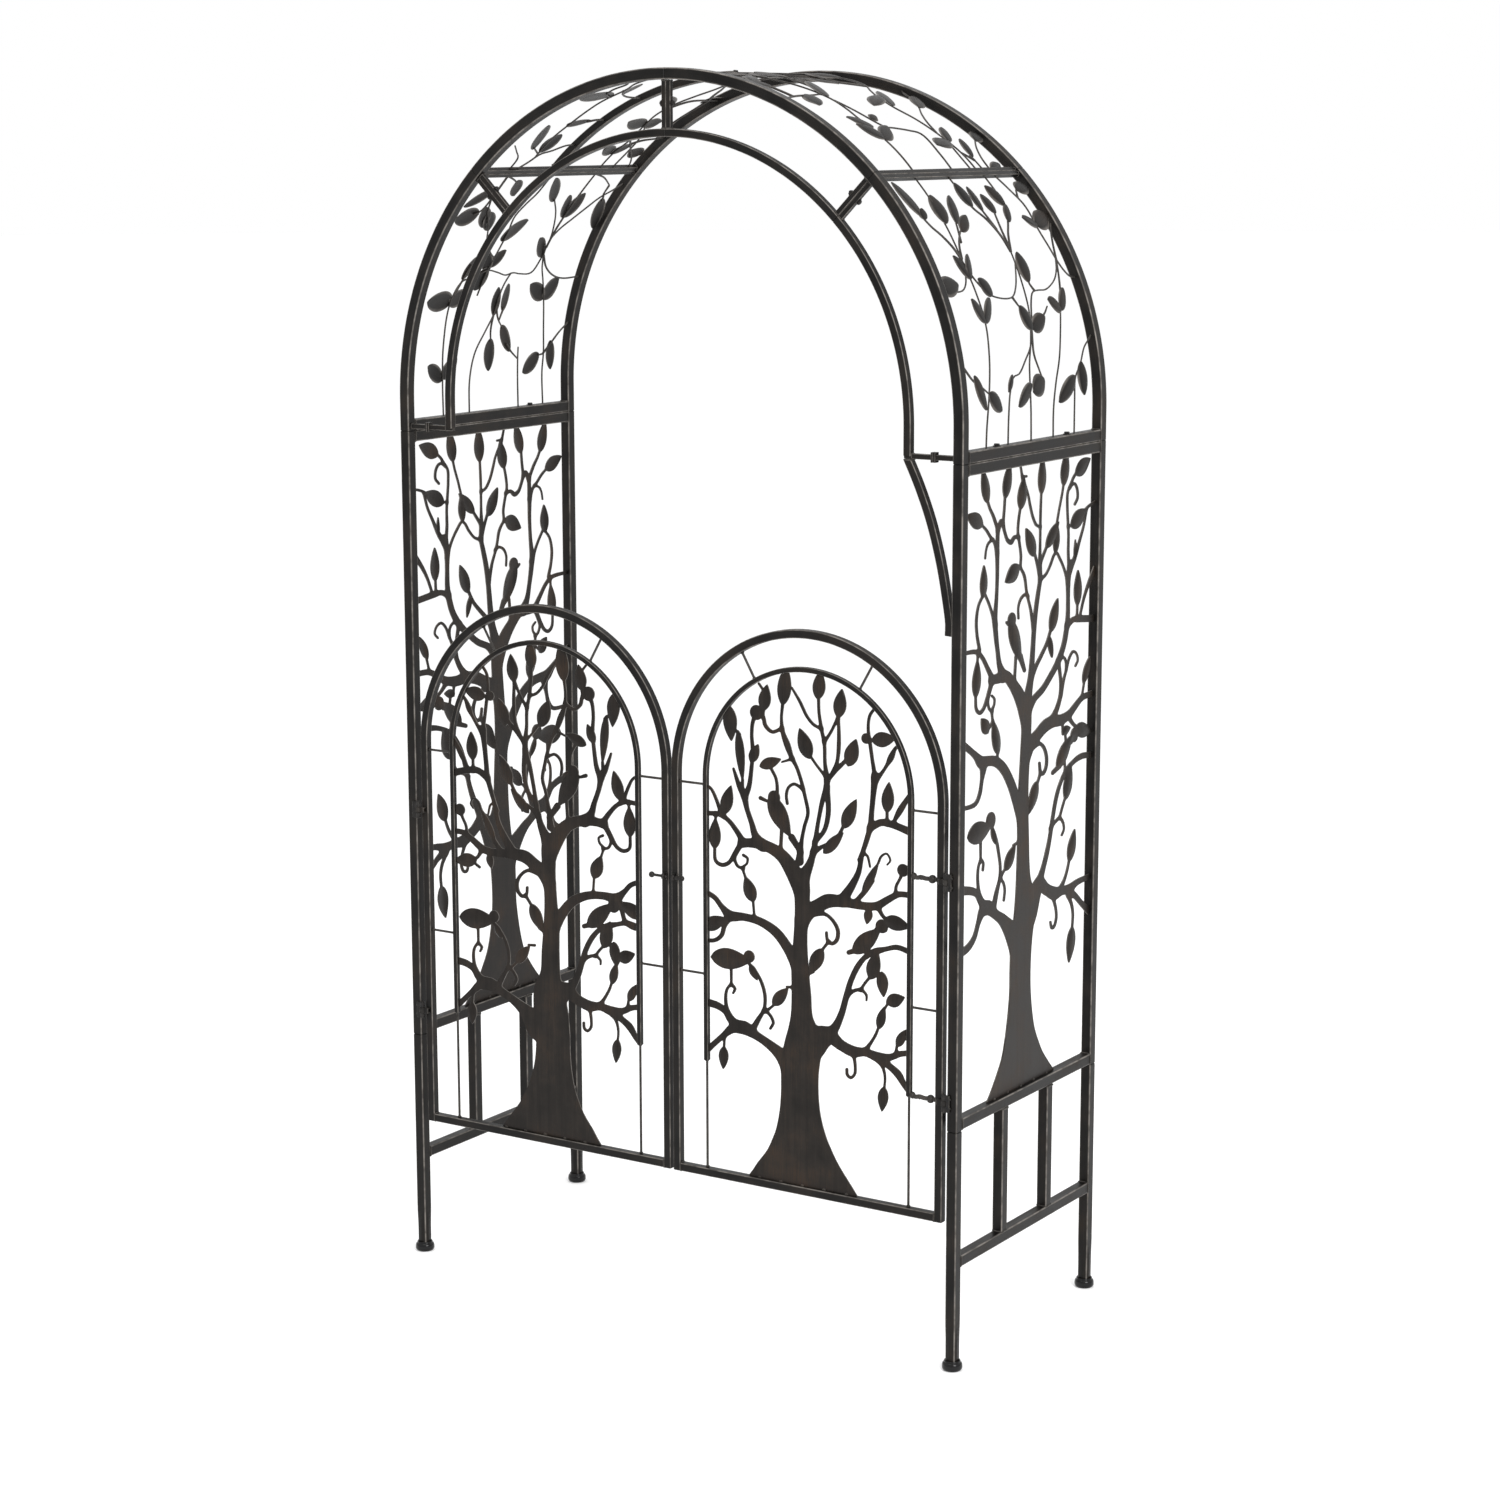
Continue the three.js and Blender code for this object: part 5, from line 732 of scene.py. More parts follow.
def bead(shape, centre, axis, size, radius=1.7):
    """The weld around the end of a square tube, a rough rope of metal."""
    axis = unit(np.array(axis, float))
    right, up = square_to(axis, seed_for(axis, Y_WAY, X_WAY))
    loop, facing, _, _ = square_outline(size, size * 0.2)
    keep = [(a + (b - a) * t, n + (m - n) * t) for a, b, n, m in
            zip(loop, np.roll(loop, -1, 0), facing, np.roll(facing, -1, 0)) for t in (0, 0.5)]
    rings, normals = [], []
    turns = np.arange(8) * math.pi / 4
    for place, normal in keep:
        thick = radius * (0.75 + 0.5 * draw.random())
        out = unit(right * normal[0] + up * normal[1])
        middle = np.array(centre) + right * place[0] + up * place[1]
        spokes = np.cos(turns)[:, None] * out + np.sin(turns)[:, None] * axis
        rings.append(middle + spokes * thick)
        normals.append(spokes)
    rings, normals = np.array(rings[::-1]), np.array(normals[::-1])
    along = np.arange(len(rings) + 1) * radius
    shape.loft(rings, normals, np.roll(normals, -1, 0), along, np.arange(9) * radius, WELD_WEAR_AND_HIGHLIGHT,
               closed=True)

# ---------------------------------------------------------------- smooth lines and arches


def smooth_line(points, step):
    """A centripetal Catmull-Rom line through points of any dimension, sampled about every step."""
    points = np.array(points, float)
    if len(points) == 2:
        count = max(int(np.linalg.norm(points[1][:2] - points[0][:2]) / step), 1)
        return points[0] + (points[1] - points[0]) * np.linspace(0, 1, count + 1)[:, None]
    padded = np.vstack([2 * points[0] - points[1], points, 2 * points[-1] - points[-2]])
    line = [points[:1]]
    for k in range(1, len(padded) - 2):
        p0, p1, p2, p3 = padded[k - 1:k + 3]
        knots = np.cumsum([0] + [max(np.linalg.norm((b - a)[:2]) ** 0.5, 1e-3)
                                 for a, b in ((p0, p1), (p1, p2), (p2, p3))])
        count = max(int(np.linalg.norm((p2 - p1)[:2]) / step), 2)
        t = np.linspace(knots[1], knots[2], count + 1)[1:, None]
        a1 = (knots[1] - t) / (knots[1] - knots[0]) * p0 + (t - knots[0]) / (knots[1] - knots[0]) * p1
        a2 = (knots[2] - t) / (knots[2] - knots[1]) * p1 + (t - knots[1]) / (knots[2] - knots[1]) * p2
        a3 = (knots[3] - t) / (knots[3] - knots[2]) * p2 + (t - knots[2]) / (knots[3] - knots[2]) * p3
        b1 = (knots[2] - t) / (knots[2] - knots[0]) * a1 + (t - knots[0]) / (knots[2] - knots[0]) * a2
        b2 = (knots[3] - t) / (knots[3] - knots[1]) * a2 + (t - knots[1]) / (knots[3] - knots[1]) * a3
        line.append((knots[2] - t) / (knots[2] - knots[1]) * b1
                    + (t - knots[1]) / (knots[2] - knots[1]) * b2)
    return np.vstack(line)


FACET = 12                          # arcs have a point about this often


def arch_path(radius, start, end, y, stub=0.0, side=1):
    """From start to end degrees up one side of the arch, after a straight stub at 0 degrees."""
    count = max(int(radius * math.radians(end - start) / FACET), 8)
    turns = np.radians(np.linspace(start, end, count + 1))
    arc = np.stack([side * radius * np.cos(turns), np.full(count + 1, float(y)),
                    ARCH_CENTRE_Z + radius * np.sin(turns)], axis=1)
    if stub:
        arc = np.vstack([[side * radius, y, ARCH_CENTRE_Z - stub], arc])
    return arc


def gate_path(radius, bottom, centre_x):
    turns = np.radians(np.linspace(0, 180, int(radius * math.pi / FACET) + 1))
    arc = np.stack([centre_x + radius * np.cos(turns), np.full(len(turns), -float(POST_Y)),
                    GATE_SPRING_Z + radius * np.sin(turns)], axis=1)
    foot = [[centre_x + radius, -POST_Y, bottom]]
    last = [[centre_x - radius, -POST_Y, bottom]]
    return np.vstack([foot, arc, last])


# ---------------------------------------------------------------- cut sheets

PITCH = 1.5                         # grid on which the cut is worked out
FILLET = 5.0                        # how softly limbs run into each other
WIDE = 60.0                         # strokes wider than this are taken as outlines
SWELL = 0.45                        # the cut edge bulges by this much at mid thickness
MARGIN = 12.0
FAR = 99.0
LEAF_BLEND = 1.5                    # how softly leaves and discs run into the limbs
LEAF_HEEL = 0.04                    # share of a leaf's length that lies behind its place
LEAF_RISE = 2.6
LEAF_CREASE = 0.7
LEAF_TILT = 1.3
LOOP_TOLERANCE = 0.16
SHEET_SHARP = 42                    # edges sharper than this, in degrees, aren't smoothed


def turned(x, y, degrees, along, across):
    """Places at a distance along and across a direction, from x and y."""
    c, s = math.cos(math.radians(degrees)), math.sin(math.radians(degrees))
    return x + along * c - across * s, y + along * s + across * c


def leaf_half(width, t):
    """Half the width of an almond leaf with a pointed tip, at t from stem to tip."""
    return width / 2 * np.sin(np.pi * t ** 0.8) ** 0.85


def leaf_outline(leaf):
    x, y, degrees, length, width = leaf
    t = np.linspace(0, 1, 15)
    half = leaf_half(width, t)
    across = np.concatenate([-half, half[-2:0:-1]])
    along = np.concatenate([t, t[-2:0:-1]]) * (length * (1 + LEAF_HEEL)) - length * LEAF_HEEL
    return np.stack(turned(x, y, degrees, along, across), axis=1)


def leaf_place(leaf, spots):
    """Where spots are on a leaf: 0 to 1 from stem to tip, and -1 to 1 across its width."""
    x, y, degrees, length, width = leaf
    c, s = math.cos(math.radians(degrees)), math.sin(math.radians(degrees))
    dx, dy = spots[:, 0] - x, spots[:, 1] - y
    t = ((dx * c + dy * s) + length * LEAF_HEEL) / (length * (1 + LEAF_HEEL))
    across = (dy * c - dx * s) / leaf_half(width, np.clip(t, 1e-4, 1 - 1e-4))
    return t, across, (t > 0) & (t < 1) & (np.abs(across) < 1.05)


class Cut:
    """Distance to the edge of a cut sheet on a grid, negative inside the metal."""

    def __init__(self, low, high):
        self.low = np.array(low, float)
        count = np.ceil((np.array(high) - self.low) / PITCH).astype(int) + 1
        self.x = self.low[0] + np.arange(count[0]) * PITCH
        self.y = self.low[1] + np.arange(count[1]) * PITCH
        self.field = np.full((count[0], count[1]), FAR)

    def part(self, low, high):
        """The stretch of the grid between two corners."""
        i0, i1 = np.clip(((np.array([low[0], high[0]]) - self.low[0]) / PITCH).astype(int), 0, len(self.x))
        j0, j1 = np.clip(((np.array([low[1], high[1]]) - self.low[1]) / PITCH).astype(int), 0, len(self.y))
        x, y = np.meshgrid(self.x[i0:i1 + 1], self.y[j0:j1 + 1], indexing="ij")
        return (slice(i0, i1 + 1), slice(j0, j1 + 1)), x, y

    def mix(self, where, distance, blend):
        old = self.field[where]
        h = np.clip(0.5 + 0.5 * (old - distance) / blend, 0, 1)
        self.field[where] = old * (1 - h) + distance * h - blend * h * (1 - h)

    def stroke(self, points):
        line = smooth_line(points, 3.0)
        if max(p[2] for p in points) > WIDE:
            off = line[:, 2:] * np.array([0.5, 0])
            self.outline(np.vstack([line[:, :2] + off, (line[:, :2] - off)[::-1]]), FILLET)
            return
        reach = line[:, 2].max() / 2 + MARGIN
        where, x, y = self.part(line[:, :2].min(0) - reach, line[:, :2].max(0) + reach)
        best = np.full(x.shape, FAR)
        for a, b in zip(line[:-1], line[1:]):
            d = (b - a)[:2]
            t = np.clip(((x - a[0]) * d[0] + (y - a[1]) * d[1]) / max(d @ d, 1e-6), 0, 1)
            gap = np.hypot(x - a[0] - t * d[0], y - a[1] - t * d[1]) - (a[2] + t * (b[2] - a[2])) / 2
            best = np.minimum(best, gap)
        self.mix(where, best, FILLET)

    def outline(self, corners, blend):
        where, x, y = self.part(corners.min(0) - MARGIN, corners.max(0) + MARGIN)
        best, inside = np.full(x.shape, FAR), np.zeros(x.shape, bool)
        for a, b in zip(corners, np.roll(corners, -1, 0)):
            d = b - a
            t = np.clip(((x - a[0]) * d[0] + (y - a[1]) * d[1]) / max(d @ d, 1e-6), 0, 1)
            best = np.minimum(best, np.hypot(x - a[0] - t * d[0], y - a[1] - t * d[1]))
            if abs(d[1]) > 1e-9:
                crosses = ((a[1] > y) != (b[1] > y)) & (x < a[0] + (y - a[1]) * d[0] / d[1])
                inside ^= crosses
        self.mix(where, np.where(inside, -best, best), blend)

    def disc(self, x0, y0, radius):
        where, x, y = self.part((x0 - radius - MARGIN, y0 - radius - MARGIN),
                                (x0 + radius + MARGIN, y0 + radius + MARGIN))
        self.mix(where, np.hypot(x - x0, y - y0) - radius, LEAF_BLEND)

    def at(self, spots):
        """The field at spots, between grid points."""
        place = (spots - self.low) / PITCH
        cell = np.clip(np.floor(place).astype(int), 0, np.array(self.field.shape) - 2)
        u, v = (place - cell).T
        i, j = cell.T
        f = self.field
        return (f[i, j] * (1 - u) * (1 - v) + f[i + 1, j] * u * (1 - v)
                + f[i, j + 1] * (1 - u) * v + f[i + 1, j + 1] * u * v)


# Which cell edges a border crosses, by which of its corners are metal, with the metal on its left.
# Corners count 1, 2, 4, 8 around from the lower left; edges are bottom 0, right 1, top 2, left 3.
CROSSINGS = {1: ((0, 3),), 2: ((1, 0),), 3: ((1, 3),), 4: ((2, 1),), 5: ((0, 3), (2, 1)), 6: ((2, 0),),
             7: ((2, 3),), 8: ((3, 2),), 9: ((0, 2),), 10: ((1, 0), (3, 2)), 11: ((1, 2),),
             12: ((3, 1),), 13: ((0, 1),), 14: ((3, 0),)}


def borders(cut):
    """Closed loops around the metal, metal on the left."""
    field = cut.field
    inside = field < 0
    code = (inside[:-1, :-1] * 1 + inside[1:, :-1] * 2 + inside[1:, 1:] * 4 + inside[:-1, 1:] * 8)
    follows = {}
    for i, j in zip(*np.nonzero((code > 0) & (code < 15))):
        i, j = int(i), int(j)
        keys = (("h", i, j), ("v", i + 1, j), ("h", i, j + 1), ("v", i, j))
        for a, b in CROSSINGS[int(code[i, j])]:
            follows[keys[a]] = keys[b]
    loops = []
    while follows:
        key, after = follows.popitem()
        chain = [key]
        while after in follows:
            chain.append(after)
            after = follows.pop(after)
        loop = []
        for kind, i, j in chain:
            a, b = field[i, j], field[i + (kind == "h"), j + (kind == "v")]
            step = a / (a - b) * PITCH
            loop.append((cut.x[i] + (step if kind == "h" else 0), cut.y[j] + (step if kind == "v" else 0)))
        if len(loop) > 7:
            loops.append(np.array(loop))
    return loops


def thin_out(loop, tolerance):
    """Drops points of a closed loop that lie within the tolerance of its chords."""
    count = len(loop)
    keep = np.zeros(count + 1, bool)
    far = int(np.argmax(np.linalg.norm(loop - loop[0], axis=1)))
    keep[[0, far, count]] = True
    ring = np.vstack([loop, loop[:1]])
    stack = [(0, far), (far, count)]
    while stack:
        a, b = stack.pop()
        if b - a < 2:
            continue
        d = ring[b] - ring[a]
        length = max(float(np.hypot(*d)), 1e-9)
        away = ring[a + 1:b] - ring[a]
        off = np.abs(away[:, 0] * d[1] - away[:, 1] * d[0]) / length
        k = int(np.argmax(off))
        if off[k] > tolerance:
            keep[a + 1 + k] = True
            stack += [(a, a + 1 + k), (a + 1 + k, b)]
    return ring[:-1][keep[:-1]]


def cut_field(pattern, window, low, high):
    cut = Cut(low, high)
    for stroke in pattern["strokes"]:
        cut.stroke(stroke)
    for leaf in pattern["leaves"]:
        cut.outline(leaf_outline(leaf), LEAF_BLEND)
    for disc in pattern["discs"]:
        cut.disc(*disc)
    x, y = np.meshgrid(cut.x, cut.y, indexing="ij")
    cut.field = np.maximum(cut.field, window(x, y))
    cut.field[[0, -1], :] = FAR
    cut.field[:, [0, -1]] = FAR
    return cut


def flat_mesh(cut, pattern):
    """Triangles that fill the metal of a cut, with rows of extra points along its leaves."""
    spots, edges = [], []
    for loop in borders(cut):
        loop = thin_out(loop, LOOP_TOLERANCE)
        if len(loop) < 4:
            continue
        start = len(spots)
        spots += [tuple(p) for p in loop]
        edges += [(start + k, start + (k + 1) % len(loop)) for k in range(len(loop))]
    inner = []
    for leaf in pattern["leaves"]:
        leaf_x, leaf_y, degrees, length, width = leaf
        for t in np.linspace(0.1, 0.92, 7):
            for share in (0, -0.5, 0.5):
                inner.append(turned(leaf_x, leaf_y, degrees, t * length, share * leaf_half(width, t)))
    inner = np.array(inner)
    spots += [tuple(p) for p in inner[cut.at(inner) < -1.0]]
    found = geometry.delaunay_2d_cdt([Vector(p) for p in spots], edges, [], 0, 1e-4)
    flat = np.array([tuple(v) for v in found[0]])
    triangles = np.array([f for f in found[2] if len(f) == 3])
    triangles = triangles[cut.at(flat[triangles].mean(1)) < 0]
    a, b, c = (flat[triangles[:, k]] for k in range(3))
    area = (b[:, 0] - a[:, 0]) * (c[:, 1] - a[:, 1]) - (b[:, 1] - a[:, 1]) * (c[:, 0] - a[:, 0])
    triangles[area < 0] = triangles[area < 0][:, ::-1]
    used, triangles = np.unique(triangles, return_inverse=True)
    return flat[used], triangles.reshape(-1, 3)


def leaf_lift(flat, pattern, rise_seed):
    """How far each point stands out: the leaves are domed, creased along the middle and tilted."""
    lift = np.zeros(len(flat))
    wobble = random.Random(rise_seed)
    for leaf in pattern["leaves"]:
        t, across, on = leaf_place(leaf, flat)
        tilt = wobble.uniform(-1, 1) * LEAF_TILT
        swing = np.sin(np.pi * np.clip(t, 0, 1)) ** 0.7
        arc = LEAF_RISE * (1 - across ** 2) + LEAF_CREASE * (1 - np.abs(across)) + tilt * across
        lift = np.where(on, np.maximum(lift, (arc * swing)), lift)
    return lift


def rim_of(flat, triangles):
    """The outer edges of a flat mesh, and the direction out of the metal at each point."""
    sides = np.concatenate([triangles[:, [0, 1]], triangles[:, [1, 2]], triangles[:, [2, 0]]])
    known = {(int(p), int(q)) for p, q in sides}
    rim = np.array([(p, q) for p, q in known if (q, p) not in known])
    outward = np.zeros((len(flat), 2))
    for p, q in rim:
        step = flat[q] - flat[p]
        normal = np.array([step[1], -step[0]]) / max(np.hypot(*step), 1e-9)
        outward[p] += normal
        outward[q] += normal
    return rim, unit(outward)


def sheet(shape, pattern, window, low, high, place, rise_seed):
    """Cuts a pattern out of sheet, raises its leaves, and places it with place(across, up, out)."""
    flat, triangles = flat_mesh(cut_field(pattern, window, low, high), pattern)
    lift = leaf_lift(flat, pattern, rise_seed)
    rim, outward = rim_of(flat, triangles)
    bulge = flat + outward * SWELL
    count = len(flat)
    half = SHEET / 2
    front = place(flat[:, 0], flat[:, 1], lift + half)
    back = place(flat[:, 0], flat[:, 1], lift - half)
    edge = np.full(count, -1)
    rim_points = np.unique(rim)
    edge[rim_points] = np.arange(len(rim_points)) + 2 * count
    middle = place(bulge[rim_points, 0], bulge[rim_points, 1], lift[rim_points])
    faces = [tuple(int(k) for k in t) for t in triangles]
    faces += [tuple(int(k) + count for k in t[::-1]) for t in triangles]
    for p, q in rim:
        faces.append((int(q), int(p), int(edge[p]), int(edge[q])))
        faces.append((int(edge[q]), int(edge[p]), int(p) + count, int(q) + count))
    flows = np.stack([flat[:, 1], flat[:, 0]], axis=1)
    flows = np.vstack([flows, flows, flows[rim_points]])
    # The cut rim takes the full edge mask: wear, and a painted highlight on the cut edges.
    wear_and_highlight = np.concatenate([np.zeros(2 * count), np.full(len(rim_points), 1.0)])
    shape.add(np.vstack([front, back, middle]), faces, flows, SHEET_SHARP, wear_and_highlight)


# ---------------------------------------------------------------- finishes


class Finish:
    """A material under construction."""

    def __init__(self, name):
        self.material = bpy.data.materials.new(name)
        self.material.use_nodes = True
        self.tree = self.material.node_tree
        self.shader = self.tree.nodes["Principled BSDF"]

    def make(self, kind, inputs, output=0, **settings):
        made = self.tree.nodes.new("ShaderNode" + kind)
        for key, value in settings.items():
            setattr(made, key, value)
        for socket, value in inputs.items():
            if isinstance(value, bpy.types.NodeSocket):
                self.tree.links.new(value, made.inputs[socket])
            else:
                made.inputs[socket].default_value = value
        return made.outputs[output]

    def noise(self, vector, scale, detail=3.0, roughness=0.55):
        return self.make("TexNoise", {"Vector": vector, "Scale": scale, "Detail": detail,
                                      "Roughness": roughness})

    def ranged(self, value, low, high, to_low=0.0, to_high=1.0):
        return self.make("MapRange", {"Value": value, "From Min": low, "From Max": high,
                                      "To Min": to_low, "To Max": to_high})

    def times(self, a, b):
        return self.make("Math", {0: a, 1: b}, operation="MULTIPLY")

    def mix(self, share, a, b):
        return self.make("Mix", {0: share, 6: a, 7: b}, 2, data_type="RGBA")

    def set(self, **values):
        for name, value in values.items():
            socket = self.shader.inputs[name.replace("_", " ")]
            if isinstance(value, bpy.types.NodeSocket):
                self.tree.links.new(value, socket)
            else:
                socket.default_value = value


def colour(red, green, blue):
    return (red, green, blue, 1.0)


# Colours for the edge mask: partly rubbed wear, partly a painted highlight where rounded edges would catch
# the light.
RUBBED_AND_HIGHLIT_BRONZE = colour(0.17, 0.155, 0.14)
RUBBED_AND_HIGHLIT_STEEL = colour(0.10, 0.09, 0.08)


def brushed_bronze(name, deep, light, warm):
    """Dark powder coat brushed along the metal, warmer in patches, and lighter on its edges, where wear and
    a painted edge highlight are laid into the colour.
    """
    f = Finish(name)
    flow = f.make("UVMap", {}, uv_map="flow")
    place = f.make("TexCoord", {}, "Object")
    broad = f.noise(f.make("Mapping", {"Vector": flow, "Scale": (3.0, 70.0, 1.0)}), 1.0, 7.0, 0.72)
    hair = f.noise(f.make("Mapping", {"Vector": flow, "Scale": (22.0, 900.0, 1.0)}), 1.0, 4.0, 0.6)
    cloud = f.noise(place, 14.0, 5.0)
    fleck = f.noise(place, 420.0, 2.0)
    body = f.mix(f.ranged(f.times(broad, cloud), 0.14, 0.42), deep, light)
    body = f.mix(f.ranged(f.times(cloud, hair), 0.27, 0.4, 0.0, 0.75), body, warm)
    # Corners and cut edges are lightened: rubbed wear in patches, and a painted edge highlight along every
    # edge.
    worn_and_lit = f.make("Attribute", {}, "Fac", attribute_name="wear_and_highlight")
    rubbed_and_highlit = f.times(worn_and_lit, f.ranged(f.noise(place, 45.0, 4.0), 0.38, 0.62, 0.35, 1.0))
    body = f.mix(rubbed_and_highlit, body, RUBBED_AND_HIGHLIT_BRONZE)
    f.set(Base_Color=body, Metallic=0.2, Specular_IOR_Level=0.18,
          Roughness=f.ranged(f.times(broad, cloud), 0.14, 0.4, 0.34, 0.55))
    height = f.make("Math", {0: f.times(fleck, 0.5), 1: f.times(hair, 0.6)}, operation="ADD")
    f.set(Normal=f.make("Bump", {"Strength": 0.3, "Distance": 0.0004, "Height": height}))
    return f.material


def gloss_cap():
    f = Finish("gloss_black_plastic")
    place = f.make("TexCoord", {}, "Object")
    smear = f.noise(place, 60.0, 4.0)
    dust = f.ranged(f.noise(place, 240.0, 3.0), 0.5, 0.75, 0.0, 0.35)
    f.set(Base_Color=f.mix(dust, colour(0.001, 0.001, 0.0012), colour(0.005, 0.0048, 0.0045)),
          Roughness=f.ranged(smear, 0.3, 0.7, 0.06, 0.14), Specular_IOR_Level=0.3)
    f.set(Normal=f.make("Bump", {"Strength": 0.15, "Distance": 0.0004, "Height": smear}))
    return f.material


def painted_steel():
    f = Finish("painted_steel")
    place = f.make("TexCoord", {}, "Object")
    spots = f.noise(place, 160.0, 4.0)
    # Edges of the hardware are lightened: rubbed wear, and a painted edge highlight.
    worn_and_lit = f.make("Attribute", {}, "Fac", attribute_name="wear_and_highlight")
    rub_and_highlight = f.times(worn_and_lit, f.ranged(f.noise(place, 90.0, 3.0), 0.4, 0.6, 0.2, 1.0))
    body = f.mix(f.ranged(spots, 0.35, 0.7), colour(0.004, 0.004, 0.004), colour(0.014, 0.012, 0.011))
    f.set(Base_Color=f.mix(rub_and_highlight, body, RUBBED_AND_HIGHLIT_STEEL), Metallic=0.3, Specular_IOR_Level=0.3,
          Roughness=f.ranged(spots, 0.3, 0.7, 0.3, 0.5))
    f.set(Normal=f.make("Bump", {"Strength": 0.3, "Distance": 0.0003, "Height": spots}))
    return f.material


BRONZE = brushed_bronze("brushed_bronze_tube", colour(0.0035, 0.0032, 0.003),
                        colour(0.014, 0.0125, 0.0112), colour(0.019, 0.0132, 0.009))
SHEET_BRONZE = brushed_bronze("brushed_bronze_sheet", colour(0.008, 0.0065, 0.0055),
                              colour(0.026, 0.021, 0.0175), colour(0.036, 0.021, 0.012))
WIRE_BRONZE = brushed_bronze("brushed_bronze_wire", colour(0.005, 0.0046, 0.0043),
                             colour(0.02, 0.0175, 0.0158), colour(0.022, 0.015, 0.011))
CAP = gloss_cap()
STEEL = painted_steel()

# ---------------------------------------------------------------- legs, feet and side panels

LEG_BOTTOM_Z = 2.8
LEG_END_SHARE = 0.88                # how far a leg's ends are drawn in
JOINT_TAPER = 2
SWAGE_TOP = 92
SWAGE_BOTTOM = 40
SWAGE_RADIUS = 12
BAR_Y = 2 * POST_Y / 6
BAR_TOP = PANEL_BOTTOM_Z - TUBE / 2 - GAP
TOP_RAIL_Z = PANEL_TOP_Z + TUBE / 2


def leg(shape, x, y):
    """Square tube that is drawn round over its last stretch."""
    square = square_outline(TUBE)
    around = np.arctan2(square[0][:, 1], square[0][:, 0])
    ring = np.stack([np.cos(around), np.sin(around)], axis=1)
    heights = [LEG_BOTTOM_Z, LEG_BOTTOM_Z + END_BEVEL, SWAGE_BOTTOM, 50, 60, 70, 80, SWAGE_TOP,
               JOINT_Z - JOINT_TAPER, JOINT_Z - GAP / 2]
    rings, facings = [], []
    for index, z in enumerate(heights):
        t = min(max((z - SWAGE_BOTTOM) / (SWAGE_TOP - SWAGE_BOTTOM), 0), 1)
        t = t * t * (3 - 2 * t)
        outline = square[0] * t + ring * SWAGE_RADIUS * (1 - t)
        if index in (0, len(heights) - 1):
            outline = outline * LEG_END_SHARE
        normal = unit(square[1] * t + ring * (1 - t))
        level = np.full(len(outline), float(z))
        rings.append(np.column_stack([x + outline[:, 0], y + outline[:, 1], level]))
        facings.append(np.column_stack([normal, np.zeros(len(normal))]))
    facings = np.array(facings)
    starts, ends = facings[:-1].copy(), facings[1:].copy()
    starts[0] = ends[0] = unit(facings[0] - Z_WAY)
    starts[-1] = ends[-1] = unit(facings[-1] + Z_WAY)
    shape.loft(np.array(rings), starts, ends, np.array(heights, float), square[3], square[2])


def foot_cap(shape, x, y):
    """A turned plastic bun with a thin seam low down and a lip around the leg."""
    profile = [(2, 0), (13.6, 0), (15.2, 0.4), (16.2, 1.4), (16.3, 2.2), (17.2, 2.8), (17.8, 4), (18, 5.8),
               (18, 8), (17.8, 10), (17.3, 12), (16.6, 13.4), (15.8, 14.3), (15, 14.8), (14.7, 15.5),
               (14.6, 16.9), (14.2, 17.7), (13.7, 18), (12.8, 17.8), (12.4, 17), (12.4, 3), (2, 3)]
    lathe(shape, profile, (x, y, 0), Z_WAY, 40, wear_and_highlight=0.0)


TUBE_BEAD_IN = 1                    # how far in from a tube's end its weld bead lies

for side_name, side in SIDES:
    for end_name, end in ENDS:
        x, y = side * POST_X, end * POST_Y
        place = f"{end_name}_{side_name}"
        cap, low, high = Shape(), Shape(), Shape()
        foot_cap(cap, x, y)
        cap.piece(f"foot_cap_{place}", CAP, "foot_cap", "arch", f"foot_{place}")
        leg(low, x, y)
        low.piece(f"leg_tube_{place}", BRONZE, "frame", "arch", f"leg_{place}")
        tube(high, (x, y, JOINT_Z + GAP / 2), (x, y, SPRING_Z - GAP), TUBE)
        high.piece(f"post_tube_{place}", BRONZE, "frame", "arch", f"post_{place}")

    x = side * POST_X
    grille, bottom, top = Shape(), Shape(), Shape()
    tube(grille, (x, -RAIL_HALF, LOWER_RAIL_Z), (x, RAIL_HALF, LOWER_RAIL_Z), TUBE)
    for end in (-1, 1):
        tube(grille, (x, end * BAR_Y, LOWER_RAIL_Z + TUBE / 2 - 1), (x, end * BAR_Y, BAR_TOP), TUBE)
        rail_end = end * (RAIL_HALF - TUBE_BEAD_IN)
        bead(grille, (x, end * BAR_Y, LOWER_RAIL_Z + TUBE / 2 + 0.4), Z_WAY, TUBE)
        bead(grille, (x, end * BAR_Y, BAR_TOP - TUBE_BEAD_IN), Z_WAY, TUBE)
        bead(grille, (x, rail_end, LOWER_RAIL_Z), Y_WAY, TUBE)
        bead(bottom, (x, rail_end, PANEL_BOTTOM_Z), Y_WAY, TUBE)
        bead(top, (x, rail_end, TOP_RAIL_Z), Y_WAY, TUBE)
    grille.piece(f"grille_{side_name}", BRONZE, "frame", "arch", f"lower_grille_{side_name}")
    tube(bottom, (x, -RAIL_HALF, PANEL_BOTTOM_Z), (x, RAIL_HALF, PANEL_BOTTOM_Z), TUBE)
    bottom.piece(f"bottom_rail_{side_name}", BRONZE, "frame", "arch", f"panel_bottom_rail_{side_name}")
    tube(top, (x, -RAIL_HALF, TOP_RAIL_Z), (x, RAIL_HALF, TOP_RAIL_Z), TUBE)
    top.piece(f"top_rail_{side_name}", BRONZE, "frame", "arch", f"panel_top_rail_{side_name}")


def tack_welds(shape, place, starts, axis):
    """Small welds along a sheet's lower edge, in front and behind."""
    for across in starts:
        for out in (1.6, -1.6):
            ball(shape, place(across, 0.5, out), 6 + 2 * draw.random(), axis, 0.5)


